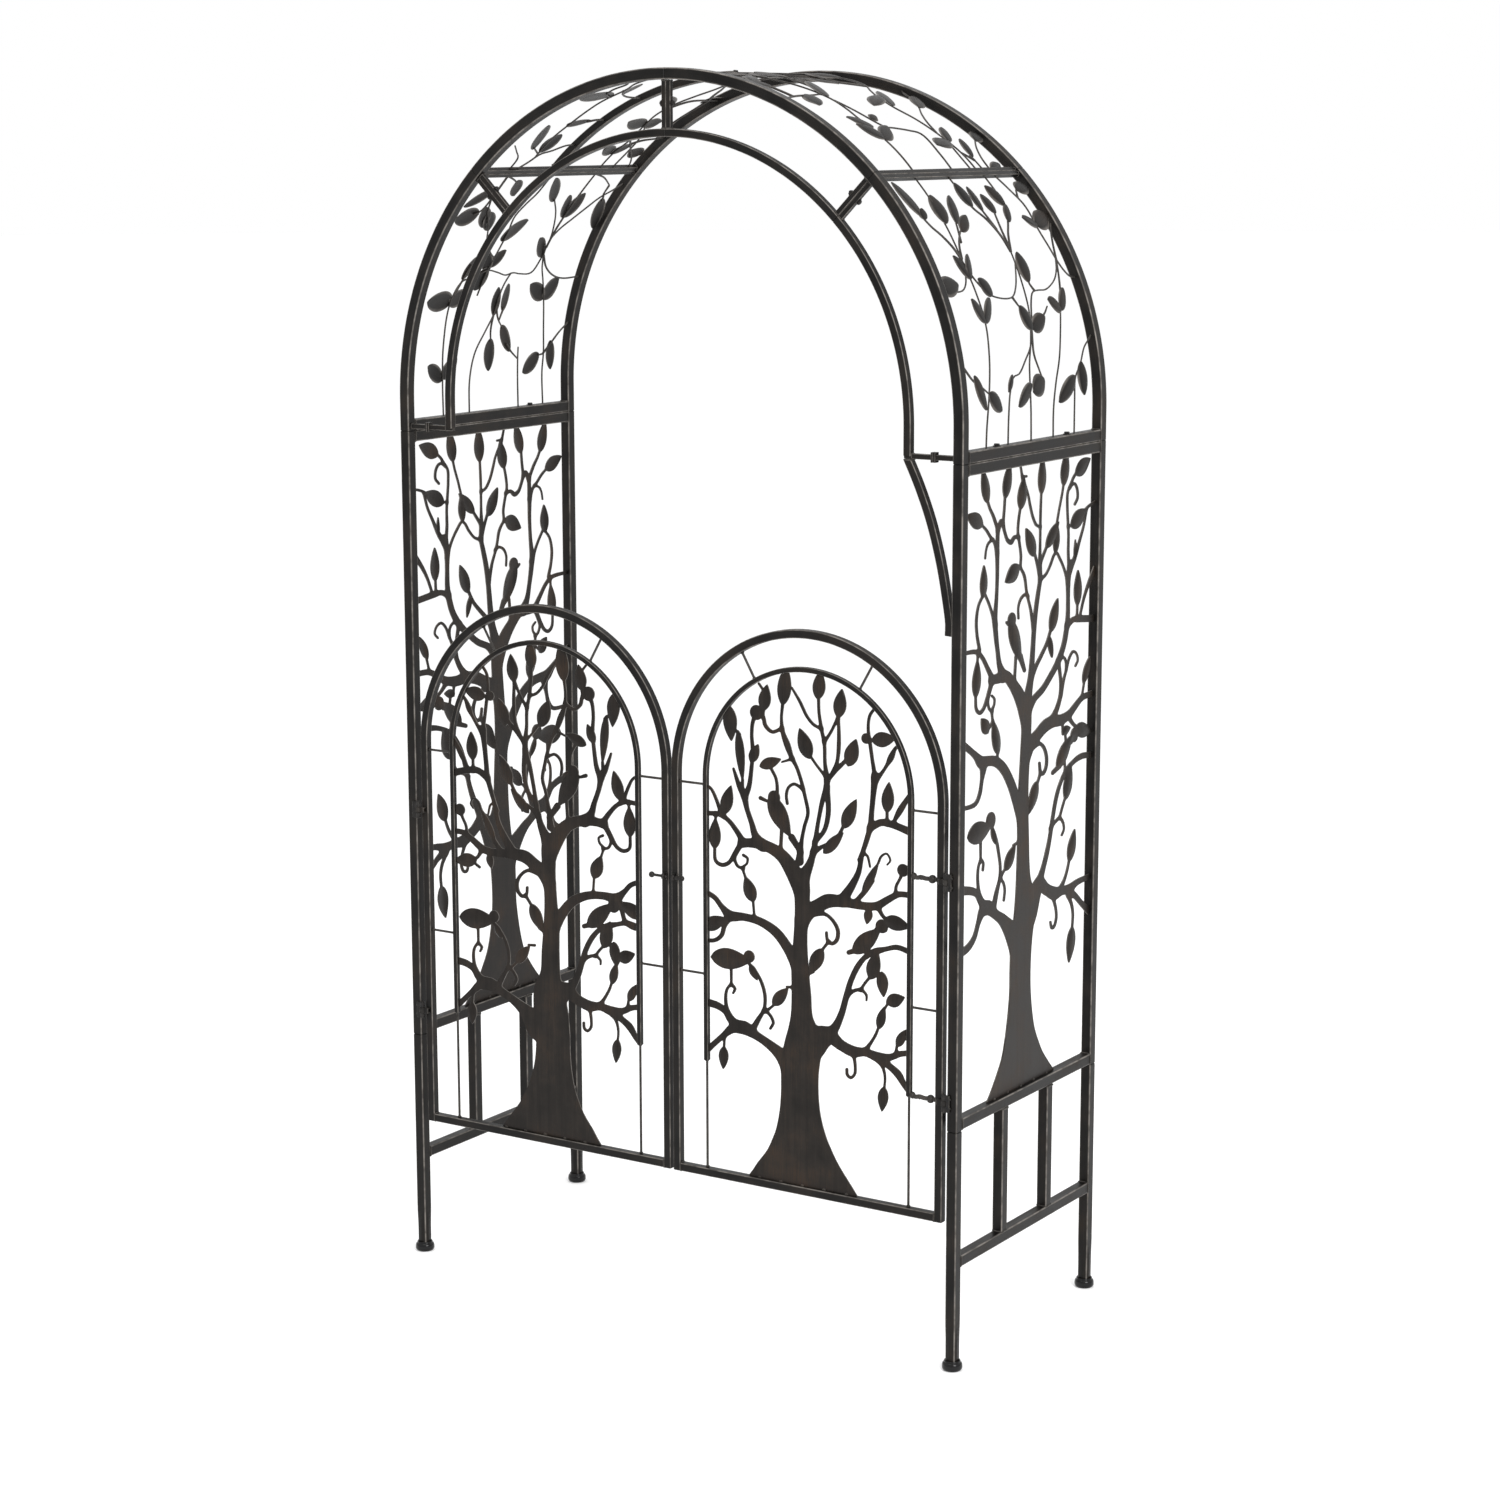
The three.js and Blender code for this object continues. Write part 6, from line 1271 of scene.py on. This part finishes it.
PANEL_CUT = ((-245, -6), (245, 1108))
PANEL_TACKS = (-110, -62, -14, 34, 82)
PANEL_HEIGHT = PANEL_TOP_Z - PANEL_FLOOR_Z - GAP


def panel_window(x, y):
    return np.maximum(np.abs(x) - RAIL_HALF, np.maximum(GAP - y, y - PANEL_HEIGHT))


for side_name, side in SIDES:
    def on_panel(across, up, out, side=side):
        return np.stack([side * (POST_X + out), side * across, PANEL_FLOOR_Z + up], axis=-1)

    tree = Shape()
    sheet(tree, PANEL_TREE, panel_window, *PANEL_CUT, on_panel, SEED + side)
    tack_welds(tree, on_panel, PANEL_TACKS, X_WAY)
    tree.piece(f"tree_panel_{side_name}", SHEET_BRONZE, "cut_sheet", "arch", f"panel_tree_{side_name}")

# ---------------------------------------------------------------- arch

SEGMENTS = (("lower", 0, 45, STUB, INNER_STUB), ("upper", 45, 90, 0, 0))
HALF_GAP_TURN = math.degrees(GAP / 2 / INNER_RADIUS)
TIE_BEVEL = 0.5
TIE_BEAD = 1.2
BAR_TUCK = 2                        # the crossbars run this far into the back arch
FLANGE_HALF = np.array([1.8, 6.5, 8.5])


def on_arch(radius, y, sideways, degrees, side):
    """A point at a radius and a step along the arch from an angle."""
    c, s = math.cos(math.radians(degrees)), math.sin(math.radians(degrees))
    return np.array([side * (radius * c - sideways * s), y, ARCH_CENTRE_Z + radius * s + sideways * c])


WASHER = 1.1


def washer(shape, seat, axis, radius):
    lathe(shape, [(1, 0), (radius - 0.3, 0), (radius, 0.3), (radius, WASHER - 0.3), (radius - 0.3, WASHER),
                  (1, WASHER)], seat, axis, 24)


def fixing(shape, centre, axis, grip):
    """A bolt with its washer and nut clamping a grip, and its threaded end showing."""
    axis = unit(np.array(axis, float))
    centre = np.array(centre, float)
    for end in (-1, 1):
        seat = centre + axis * end * grip / 2
        washer(shape, seat, axis * end, 6.2)
        hexagon(shape, seat + axis * end * WASHER, axis * end, 9.6, 3.2)
    lathe(shape, [(1, 0), (2.3, 0), (2.3, grip + 10.4), (1.8, grip + 11), (1, grip + 11)],
          centre - axis * (grip / 2 + 5), axis, 16)


for side_name, side in SIDES:
    for level, start, stop, stub, inner_stub in SEGMENTS:
        place = f"{level}_{side_name}"
        first = start + (HALF_GAP_TURN if start else 0)
        last = stop - HALF_GAP_TURN
        outer, inner, back = Shape(), Shape(), Shape()
        for shape, radius, y, foot, size in ((outer, ARCH_RADIUS, -POST_Y, stub, TUBE),
                                             (inner, INNER_RADIUS, -POST_Y, inner_stub, INNER_TUBE),
                                             (back, ARCH_RADIUS, POST_Y, stub, TUBE)):
            sweep(shape, arch_path(radius, first, last, y, foot, side), square_outline(size), Y_WAY)
        for turn in (start, stop):
            if turn == 0:
                continue
            beside = (TIE_TUBE + GAP) / 2 * (1 if turn == start else -1)
            ends = [on_arch(r, -POST_Y, beside, turn, side) for r in (INNER_RADIUS + 6, TIE_OUTER_END)]
            sweep(inner, ends, square_outline(TIE_TUBE), Y_WAY, bevel=TIE_BEVEL)
            radial = ends[1] - ends[0]
            bead(inner, ends[0] + unit(radial) * 1.6, radial, TIE_TUBE, TIE_BEAD)
            bead(inner, ends[1] - unit(radial) * 0.8, radial, TIE_TUBE, TIE_BEAD)
            bar = [on_arch(ARCH_RADIUS, y, beside, turn, side) for y in (-RAIL_HALF, RAIL_HALF + BAR_TUCK)]
            tangent = on_arch(0, 0, 1, turn, side) - on_arch(0, 0, 0, turn, side)
            sweep(back, bar, square_outline(TIE_TUBE), tangent, bevel=TIE_BEVEL)
            bead(back, bar[0] + Y_WAY * 0.9, Y_WAY, TIE_TUBE, TIE_BEAD)
            bead(back, bar[1] - Y_WAY * 2.6, Y_WAY, TIE_TUBE, TIE_BEAD)
        if level == "lower":
            tube(inner, (side * (INNER_RADIUS - INNER_TUBE / 2), -POST_Y, SPRING_TIE_Z),
                 (side * TIE_OUTER_END, -POST_Y, SPRING_TIE_Z), TIE_TUBE)
            for x in (TIE_OUTER_END - 0.8, INNER_RADIUS + 8):
                bead(inner, (side * x, -POST_Y, SPRING_TIE_Z), X_WAY, TIE_TUBE, TIE_BEAD)
            for end in (-1, 1):
                flange = np.array([side * (TIE_MIDDLE + end * 2.6), -POST_Y, SPRING_TIE_Z])
                block(inner, flange - FLANGE_HALF, flange + FLANGE_HALF, 0.8)
            foot_z = SPRING_Z + TUBE / 2
            tube(back, (side * POST_X, -RAIL_HALF, foot_z),
                 (side * POST_X, RAIL_HALF + BAR_TUCK, foot_z), TUBE)
            for end in (-1, 1):
                bead(back, (side * POST_X, end * (RAIL_HALF - TUBE_BEAD_IN), foot_z), Y_WAY, TUBE)
        outer.piece(f"outer_arch_{place}", BRONZE, "frame", "arch", f"front_outer_arch_{place}")
        inner.piece(f"inner_arch_{place}", BRONZE, "frame", "arch", f"front_inner_arch_{place}")
        back.piece(f"back_frame_{place}", BRONZE, "frame", "arch", f"back_arch_{place}")

RIB_TURN = math.degrees((TIE_TUBE + GAP * 1.5) / (ARCH_RADIUS - INNER_TUBE / 2))
INNER_BEAD = 1.4
rib = Shape()
rib_path = arch_path(ARCH_RADIUS, 45 + RIB_TURN, 90 - RIB_TURN, RIB_Y, 0, -1)
sweep(rib, rib_path, square_outline(INNER_TUBE), Y_WAY)
bead(rib, rib_path[0], rib_path[1] - rib_path[0], INNER_TUBE, INNER_BEAD)
bead(rib, rib_path[-1], rib_path[-1] - rib_path[-2], INNER_TUBE, INNER_BEAD)
rib.piece("rib_tube", BRONZE, "frame", "arch", "crown_rib")

BRACE_TOP_Z = SPRING_TIE_Z - TIE_TUBE / 2 - GAP
BRACE_END_X = POST_X - TUBE / 2 - INNER_TUBE / 2 - 2 * GAP
brace = Shape()
brace_line = smooth_line([(473, BRACE_TOP_Z + 12), (501, 1525), (524, 1467), (543, 1400), (555, 1340),
                          (561, 1300), (BRACE_END_X, 1280)], 10)
brace_line = brace_line[brace_line[:, 1] < BRACE_TOP_Z + 6]
brace_y = np.full(len(brace_line), -float(POST_Y))
brace_path = np.column_stack([brace_line[:, 0], brace_y, brace_line[:, 1]])
sweep(brace, brace_path, square_outline(INNER_TUBE), Y_WAY)
brace.trim(2, BRACE_TOP_Z)
bead(brace, (TIE_MIDDLE - 48, -POST_Y, BRACE_TOP_Z - 1.5), Z_WAY, INNER_TUBE, INNER_BEAD)
brace.piece("brace_tube", BRONZE, "frame", "arch", "brace_right")

for side, degrees, name in ((1, 45, "right"), (-1, 45, "left"), (1, 90, "crown")):
    bolt = Shape()
    middle = on_arch(TIE_MIDDLE, -POST_Y, 0, degrees, side)
    fixing(bolt, middle, on_arch(0, 0, 1, degrees, side) - on_arch(0, 0, 0, degrees, side),
           2 * TIE_TUBE + GAP)
    bolt.piece(f"tie_fixing_{name}", STEEL, "hardware", "arch", f"tie_bolt_{name}")

SPRING_BOLT_Y = 126
for side_name, side in SIDES:
    for end_name, end in ENDS:
        bolt = Shape()
        seat = (side * POST_X, end * SPRING_BOLT_Y, SPRING_Z + TUBE)
        washer(bolt, seat, Z_WAY, 6.9)
        hexagon(bolt, np.array(seat) + Z_WAY * WASHER, Z_WAY, 10, 3.4)
        lathe(bolt, [(1, 0), (2.2, 0), (2.2, 30), (1, 30)], np.array(seat) - [0, 0, 29], Z_WAY, 12)
        bolt.piece(f"spring_fixing_{end_name}_{side_name}", STEEL, "hardware", "arch",
                   f"spring_bolt_{end_name}_{side_name}")

# ---------------------------------------------------------------- vines

JOINT_ARC = STUB + ARCH_RADIUS * math.pi / 4
CROWN_ARC = STUB + ARCH_RADIUS * math.pi / 2
BAR_CLEAR = TIE_TUBE + GAP * 1.5
LOWER_ENDS = (TUBE + GAP, JOINT_ARC - BAR_CLEAR)
UPPER_ENDS = (JOINT_ARC + BAR_CLEAR, CROWN_ARC - BAR_CLEAR)
RIB_FRONT = RIB_Y - INNER_TUBE / 2 - GAP
RIB_BACK = RIB_Y + INNER_TUBE / 2 + GAP
STEM_RADIUS = 1.6
TWIG_RADIUS = 2.2


def wrap(across, up, out, side):
    """From the flat pattern to the outside of the arch."""
    rise = up - STUB
    turn = np.maximum(rise, 0) / ARCH_RADIUS
    radius = ARCH_RADIUS + out
    return np.stack([side * radius * np.cos(turn), across,
                     ARCH_CENTRE_Z + np.minimum(rise, 0) + radius * np.sin(turn)], axis=-1)


def pressed_leaf(shape, leaf, side):
    """A leaf pressed from sheet: domed, creased along its middle, tilted and curled a little."""
    x, y, degrees, length, width = leaf
    tilt = draw.uniform(-0.28, 0.28) * width / 2
    curl = draw.uniform(-2.5, 4.0)
    t = (1 - np.cos(np.linspace(0.06, 0.97, 12) * np.pi))[:, None] / 2
    s = np.array([-1, -0.66, -0.3, 0, 0.3, 0.66, 1, 0.66, 0.3, 0, -0.3, -0.66])[None, :]
    thick = np.array([0] + [0.9] * 5 + [0] + [-0.9] * 5)[None, :]
    half = (width * 0.56 + 2.4) * np.sin(np.pi * t ** 0.92) ** 0.55
    along = t * length * 1.14 - length * 0.05 + 0 * s
    across = half * s
    swing = np.sin(np.pi * np.clip(t, 0, 1)) ** 0.7
    out = (3.0 * (1 - s ** 2) - 0.9 * (1 - np.abs(s)) + tilt * s) * swing + curl * t ** 2 + thick + 1.0
    points = wrap(*turned(x, y, degrees, along, across), out, side).reshape(-1, 3)
    size = s.shape[1]
    faces = []
    for i in range(len(t) - 1):
        for k in range(size):
            a, b = i * size + k, i * size + (k + 1) % size
            faces.append((a, b, b + size, a + size))
    faces.append(tuple(range(size - 1, -1, -1)))
    faces.append(tuple((len(t) - 1) * size + k for k in range(size)))
    if side > 0:
        faces = [face[::-1] for face in faces]
    flows = np.stack([along.ravel(), across.ravel()], axis=1) + draw.random() * 5000
    # Leaf rims take the edge mask: wear, and a painted highlight on the pressed edges.
    wear_and_highlight = np.broadcast_to((np.abs(s) > 0.9) * 0.9, across.shape).ravel()
    shape.add(points, faces, flows, 50, wear_and_highlight)


def vine(name, pattern, ends, front, back, side):
    shape = Shape()
    for stroke in pattern["strokes"]:
        line = smooth_line(stroke, 1.5)
        keep = ((line[:, 0] > front - 1) & (line[:, 0] < back + 1)
                & (line[:, 1] > ends[0] - 1) & (line[:, 1] < ends[1] + 1))
        line = line[keep]
        if len(line) < 4:
            continue
        line = np.vstack([line[:-3:5], line[-1:]])
        rises = stroke[0][1] < ends[0] + 8 or len(stroke) > 5
        radius = STEM_RADIUS if rises else TWIG_RADIUS
        wire(shape, wrap(line[:, 0], line[:, 1], 0.0, side), radius, taper=0.95 if rises else 0.7)
    for leaf in pattern["leaves"]:
        pressed_leaf(shape, leaf, side)
    for x, y, radius in pattern["discs"]:
        pressed_leaf(shape, (x, y - radius, 90, 2 * radius, 2 * radius), side)
    shape.piece(f"{name}_wires", WIRE_BRONZE, "cut_sheet", "arch", name)


vine("vine_lower_right", LOWER_RIGHT_VINE, LOWER_ENDS, -RAIL_HALF, RAIL_HALF, 1)
vine("vine_upper_right", UPPER_RIGHT_VINE, UPPER_ENDS, -RAIL_HALF, RAIL_HALF, 1)
vine("vine_lower_left", LOWER_LEFT_VINE, LOWER_ENDS, -RAIL_HALF, RAIL_HALF, -1)
vine("vine_upper_left_front", UPPER_LEFT_FRONT_VINE, UPPER_ENDS, -RAIL_HALF, RIB_FRONT, -1)
vine("vine_upper_left_back", UPPER_LEFT_BACK_VINE, UPPER_ENDS, RIB_BACK, RAIL_HALF, -1)

# ---------------------------------------------------------------- gates

PIN_RADIUS = 2.5
BORE_RADIUS = 2.65
KNUCKLE_RADIUS = 4.5
EYE_HALF = 5
HINGE_HALF = 15
TAB_FRONT = HINGE_Y - 2.5
SPACER_Z = (634, 977)
SPACER_TURN = (60, 120)


def barrel(shape, x, low, high, inside, bored=False):
    """A part of a hinge around its axis, closed along the inside where it is bored for the pin."""
    edge = KNUCKLE_RADIUS - 0.6
    profile = [(inside, low), (edge, low), (KNUCKLE_RADIUS, low + 0.6), (KNUCKLE_RADIUS, high - 0.6),
               (edge, high), (inside, high)]
    lathe(shape, profile + profile[:1] * bored, (x, HINGE_Y, 0), Z_WAY, 28)


for side_name, side in SIDES:
    centre = side * GATE_CENTRE_X
    gate = Shape()
    sweep(gate, gate_path(GATE_RADIUS, GATE_BOTTOM_Z, centre), square_outline(GATE_TUBE), Y_WAY)
    rail_z = GATE_BOTTOM_Z + GATE_TUBE / 2
    rail_end = GATE_RADIUS - GATE_TUBE / 2 + 0.5
    tube(gate, (centre - rail_end, -POST_Y, rail_z), (centre + rail_end, -POST_Y, rail_z), GATE_TUBE)
    for end in (-1, 1):
        bead(gate, (centre + end * (rail_end - 0.8), -POST_Y, rail_z), X_WAY, GATE_TUBE, 1.3)
    for z in HINGE_Z:
        barrel(gate, side * HINGE_X, z - EYE_HALF, z + EYE_HALF, BORE_RADIUS, bored=True)
        block(gate, np.array([side * (GATE_OUTER_X - 8), TAB_FRONT, z - EYE_HALF]),
              np.array([side * (HINGE_X - 3.5), GATE_FRONT_Y + 1, z + EYE_HALF]), 0.8)
        bead(gate, (side * (GATE_OUTER_X - 8), GATE_FRONT_Y - 1, z), X_WAY, 8, 1.1)
    gate.piece(f"gate_tube_{side_name}", BRONZE, "frame", f"gate_{side_name}", f"gate_frame_{side_name}")

    inner = Shape()
    end_z = INNER_TUBE_END_Z[side_name]
    sweep(inner, gate_path(GATE_INNER_RADIUS, end_z, centre), square_outline(GATE_INNER_TUBE), Y_WAY, 0.6)
    for end in (-1, 1):
        x = centre + end * GATE_INNER_RADIUS
        wire(inner, [(x, -POST_Y, GATE_FLOOR_Z + GAP), (x, -POST_Y, end_z + 6)], GATE_ROD / 2, 12)
        ball(inner, (x, -POST_Y, GATE_FLOOR_Z + 1.8), 7.5, squash=0.6)
        ball(inner, (x, -POST_Y, end_z - 0.5), 7.5, squash=0.6)
    rods = [(0 if end > 0 else 180, z) for end in (-1, 1) for z in SPACER_Z]
    rods += [(turn, GATE_SPRING_Z) for turn in SPACER_TURN]
    if side > 0:
        rods += [(0, z) for z in HINGE_Z]
    for turn, z in rods:
        c, s = math.cos(math.radians(turn)), math.sin(math.radians(turn))
        ends = [np.array([centre + r * c, -POST_Y, z + r * s]) for r in (GATE_INNER_RADIUS, SPACER_TO)]
        wire(inner, ends, GATE_ROD / 2, 12)
        for r in (GATE_INNER_RADIUS + 5.2, SPACER_TO - 0.8):
            ball(inner, (centre + r * c, -POST_Y, z + r * s), 7.0, (c, 0, s), 0.55)
    if side > 0:
        for z in HINGE_Z:
            strap = [(centre + r, -POST_Y - 0.8, z + up) for r, up in
                     ((214, 1.5), (221, -1), (229, 0.8), (238, -0.6), (247, 0), (262, 0))]
            wire(inner, smooth_line(strap, 2.0), 4.0, 12)
            ball(inner, (centre + 215.5, -POST_Y - 1, z + 1), 12.5, (1, 0, 0.3), 0.8)
            ball(inner, (centre + 229, -POST_Y - 1, z), 9, (1, 0, 0.3), 0.6)
            ball(inner, (centre + 251, -POST_Y - 1, z), 15, X_WAY, 0.95)
    inner.piece(f"inner_tube_{side_name}", BRONZE, "frame", f"gate_{side_name}",
                f"gate_inner_arch_{side_name}")

    for z, level in zip(HINGE_Z, ("lower", "upper")):
        x = side * HINGE_X
        pintle = Shape()
        lathe(pintle, [(1, -17), (2.1, -17), (PIN_RADIUS, -16.4), (PIN_RADIUS, 14.8), (3.6, 15),
                       (3.6, 15.8), (2.8, 16.7), (1, 17)], (x, HINGE_Y, z), Z_WAY, 24)
        halves = ((z - HINGE_HALF, z - EYE_HALF - GAP), (z + EYE_HALF + GAP, z + HINGE_HALF))
        for low, high in halves:
            barrel(pintle, x, low, high, 1)
        plate_in, plate_out = HINGE_X + KNUCKLE_RADIUS + GAP, HINGE_X + 12
        front, rear = TAB_FRONT - 0.5, -POST_Y - TUBE / 2 - GAP
        block(pintle, np.array([side * plate_in, front, z - HINGE_HALF]),
              np.array([side * plate_out, rear, z + HINGE_HALF]), 0.9)
        for low, high in halves:
            block(pintle, np.array([side * (HINGE_X + 1), front, low]),
                  np.array([side * (plate_in + 1), rear, high]), 0.6)
        for end in (-1, 1):
            ball(pintle, (side * (plate_out - 0.5), rear - 1.2, z + end * 8), 5)
        pintle.piece(f"pintle_{level}_{side_name}", STEEL, "hardware", "arch",
                     f"hinge_pintle_{level}_{side_name}")

SHEET_HALF = GATE_INNER_RADIUS - GATE_INNER_TUBE / 2 - 2 * GAP
LOW_SHEET_HALF = GATE_INNER_RADIUS - GATE_ROD / 2 - GAP
SHEET_SPRING = GATE_SPRING_Z - GATE_FLOOR_Z
LOW_SHEET_TOP = INNER_TUBE_END_Z["right"] - GATE_FLOOR_Z - 2 * GAP


def gate_window(x, y):
    half = np.where(y < LOW_SHEET_TOP, LOW_SHEET_HALF, SHEET_HALF)
    reach = np.where(y > SHEET_SPRING, np.hypot(x, y - SHEET_SPRING), np.abs(x))
    return np.maximum(reach - half, GAP - y)


GATE_CUT = ((-212, -6), (212, 925))
GATE_TACKS = (-96, -52, -7, 38, 84)
LIMB_ROOT = 276
LIMB_LOWERED = 0.83


def turned_over(pattern):
    return {"strokes": [[(-x, y, w) for x, y, w in stroke] for stroke in pattern["strokes"]],
            "leaves": [(-x, y, 180 - turn, length, w) for x, y, turn, length, w in pattern["leaves"]],
            "discs": [(-x, y, r) for x, y, r in pattern["discs"]]}


def lowered(pattern):
    def up(y):
        return LIMB_ROOT + (y - LIMB_ROOT) * LIMB_LOWERED
    return {"strokes": [[(x, up(y), w) for x, y, w in stroke] for stroke in pattern["strokes"]],
            "leaves": [(x, up(y), *rest) for x, y, *rest in pattern["leaves"]],
            "discs": [(x, up(y), r) for x, y, r in pattern["discs"]]}


def together(*patterns):
    return {key: sum((pattern[key] for pattern in patterns), []) for key in ("strokes", "leaves", "discs")}


# Both trees share their low limbs; the left one has its crown turned over and a lower middle limb.
GATE_TREES = {"left": together(turned_over(GATE_CROWN), GATE_LOW_LIMBS, lowered(GATE_MIDDLE_LIMB)),
              "right": together(GATE_CROWN, GATE_LOW_LIMBS, GATE_MIDDLE_LIMB)}

for side_name, side in SIDES:
    def on_gate(across, up, out, side=side):
        return np.stack([side * GATE_CENTRE_X + across, -POST_Y - out, GATE_FLOOR_Z + up], axis=-1)

    tree = Shape()
    sheet(tree, GATE_TREES[side_name], gate_window, *GATE_CUT, on_gate, SEED + 2 * side)
    tack_welds(tree, on_gate, GATE_TACKS, Y_WAY)
    tree.piece(f"tree_gate_{side_name}", SHEET_BRONZE, "cut_sheet", f"gate_{side_name}",
               f"gate_tree_{side_name}")

# ---------------------------------------------------------------- latch


def along_x(shape, profile):
    lathe(shape, profile, (0, LATCH_Y, LATCH_Z), X_WAY, 28)


def collar(shape, start, stop, radius):
    """A ring around the slide bolt."""
    along_x(shape, [(BORE_RADIUS, start), (radius - 0.8, start), (radius, start + 0.8),
                    (radius, stop - 0.8), (radius - 0.8, stop), (BORE_RADIUS, stop), (BORE_RADIUS, start)])


guide, bolt, keeper = Shape(), Shape(), Shape()
COLLAR_RADIUS = 5.9
PLATE_BACK = GATE_FRONT_Y - GAP
PLATE_FRONT = GATE_FRONT_Y - 1.8
PLATE_HALF = 7
collar(guide, -13, -8, COLLAR_RADIUS)
block(guide, np.array([-15, PLATE_FRONT, LATCH_Z - PLATE_HALF]),
      np.array([-6, PLATE_BACK, LATCH_Z + PLATE_HALF]), 0.5)
guide.piece("latch_eye", STEEL, "hardware", "gate_left", "latch_guide")
along_x(bolt, [(1, -37), (2.5, -36), (2.5, -4.3), (1.7, -3.5), (1, -3.5)])
ball(bolt, (-36, LATCH_Y, LATCH_Z), 11)
bolt.piece("latch_rod", STEEL, "hardware", "latch_bolt", "latch_bolt")
collar(keeper, 8.5, 13.5, COLLAR_RADIUS)
collar(keeper, 6, 8.9, 3.8)
along_x(keeper, [(1, 14), (3.2, 14), (3.8, 14.6), (3.8, 25.4), (3.2, 26), (1, 26)])
ball(keeper, (28, LATCH_Y, LATCH_Z), 10.5)
block(keeper, np.array([7, PLATE_FRONT, LATCH_Z - PLATE_HALF]),
      np.array([16, PLATE_BACK, LATCH_Z + PLATE_HALF]), 0.5)
keeper.piece("latch_socket", STEEL, "hardware", "gate_right", "latch_keeper")

# ---------------------------------------------------------------- floor, light and camera


def floor():
    radius, sides = 60.0, 96
    mesh = bpy.data.meshes.new("floor")
    ring = [(radius * math.cos(2 * math.pi * k / sides), radius * math.sin(2 * math.pi * k / sides), 0)
            for k in range(sides)]
    mesh.from_pydata(ring, [], [tuple(range(sides))])
    f = Finish("pale_floor")
    place = f.make("TexCoord", {}, "Object")
    tone = f.ranged(f.noise(place, 0.6, 2.0), 0.3, 0.7)
    f.set(Base_Color=f.mix(tone, colour(0.955, 0.955, 0.955), colour(0.97, 0.97, 0.97)), Roughness=0.85,
          Emission_Color=colour(1, 1, 1), Emission_Strength=0.06)
    mesh.materials.append(f.material)
    obj = bpy.data.objects.new("floor", mesh)
    bpy.context.scene.collection.objects.link(obj)


def area_light(name, place, target, size, power):
    light = bpy.data.lights.new(name, "AREA")
    light.size = size
    light.energy = power
    obj = bpy.data.objects.new(name, light)
    obj.location = place
    obj.rotation_euler = (Vector(target) - Vector(place)).to_track_quat("-Z", "Y").to_euler()
    bpy.context.scene.collection.objects.link(obj)


scene = bpy.context.scene
floor()
world = bpy.data.worlds.new("studio")
world.use_nodes = True
world.node_tree.nodes["Background"].inputs["Color"].default_value = (1, 1, 1, 1)
world.node_tree.nodes["Background"].inputs["Strength"].default_value = 1.0
scene.world = world
scene.view_settings.view_transform = "Standard"
area_light("key", (5.0, -2.6, 3.4), (0, 0, 1.1), 2.5, 210)
area_light("top", (-0.5, -0.5, 5.0), (0, 0, 1.0), 3, 60)

VIEW_TURN = 0.5743                  # around Z from straight in front, towards +X, in radians
VIEW_RISE = 0.1874
VIEW_ROLL = -0.0022
VIEW_DISTANCE = 6.062
VIEW_HEIGHT = 0.991
VIEW_SHIFT = 0.0037
LENS = 79.63

camera_data = bpy.data.cameras.new("camera")
camera_data.lens = LENS
camera_data.sensor_width = 36
camera = bpy.data.objects.new("camera", camera_data)
scene.collection.objects.link(camera)
backward = Vector((math.sin(VIEW_TURN) * math.cos(VIEW_RISE), -math.cos(VIEW_TURN) * math.cos(VIEW_RISE),
                   math.sin(VIEW_RISE)))
right = Vector((math.cos(VIEW_TURN), math.sin(VIEW_TURN), 0))
upward = backward.cross(right)
rolled = right * math.cos(VIEW_ROLL) + upward * math.sin(VIEW_ROLL)
turn = Matrix((rolled, backward.cross(rolled), backward)).transposed()
camera.matrix_world = (Matrix.Translation(backward * VIEW_DISTANCE + right * VIEW_SHIFT
                                          + Vector((0, 0, VIEW_HEIGHT))) @ turn.to_4x4())
scene.camera = camera
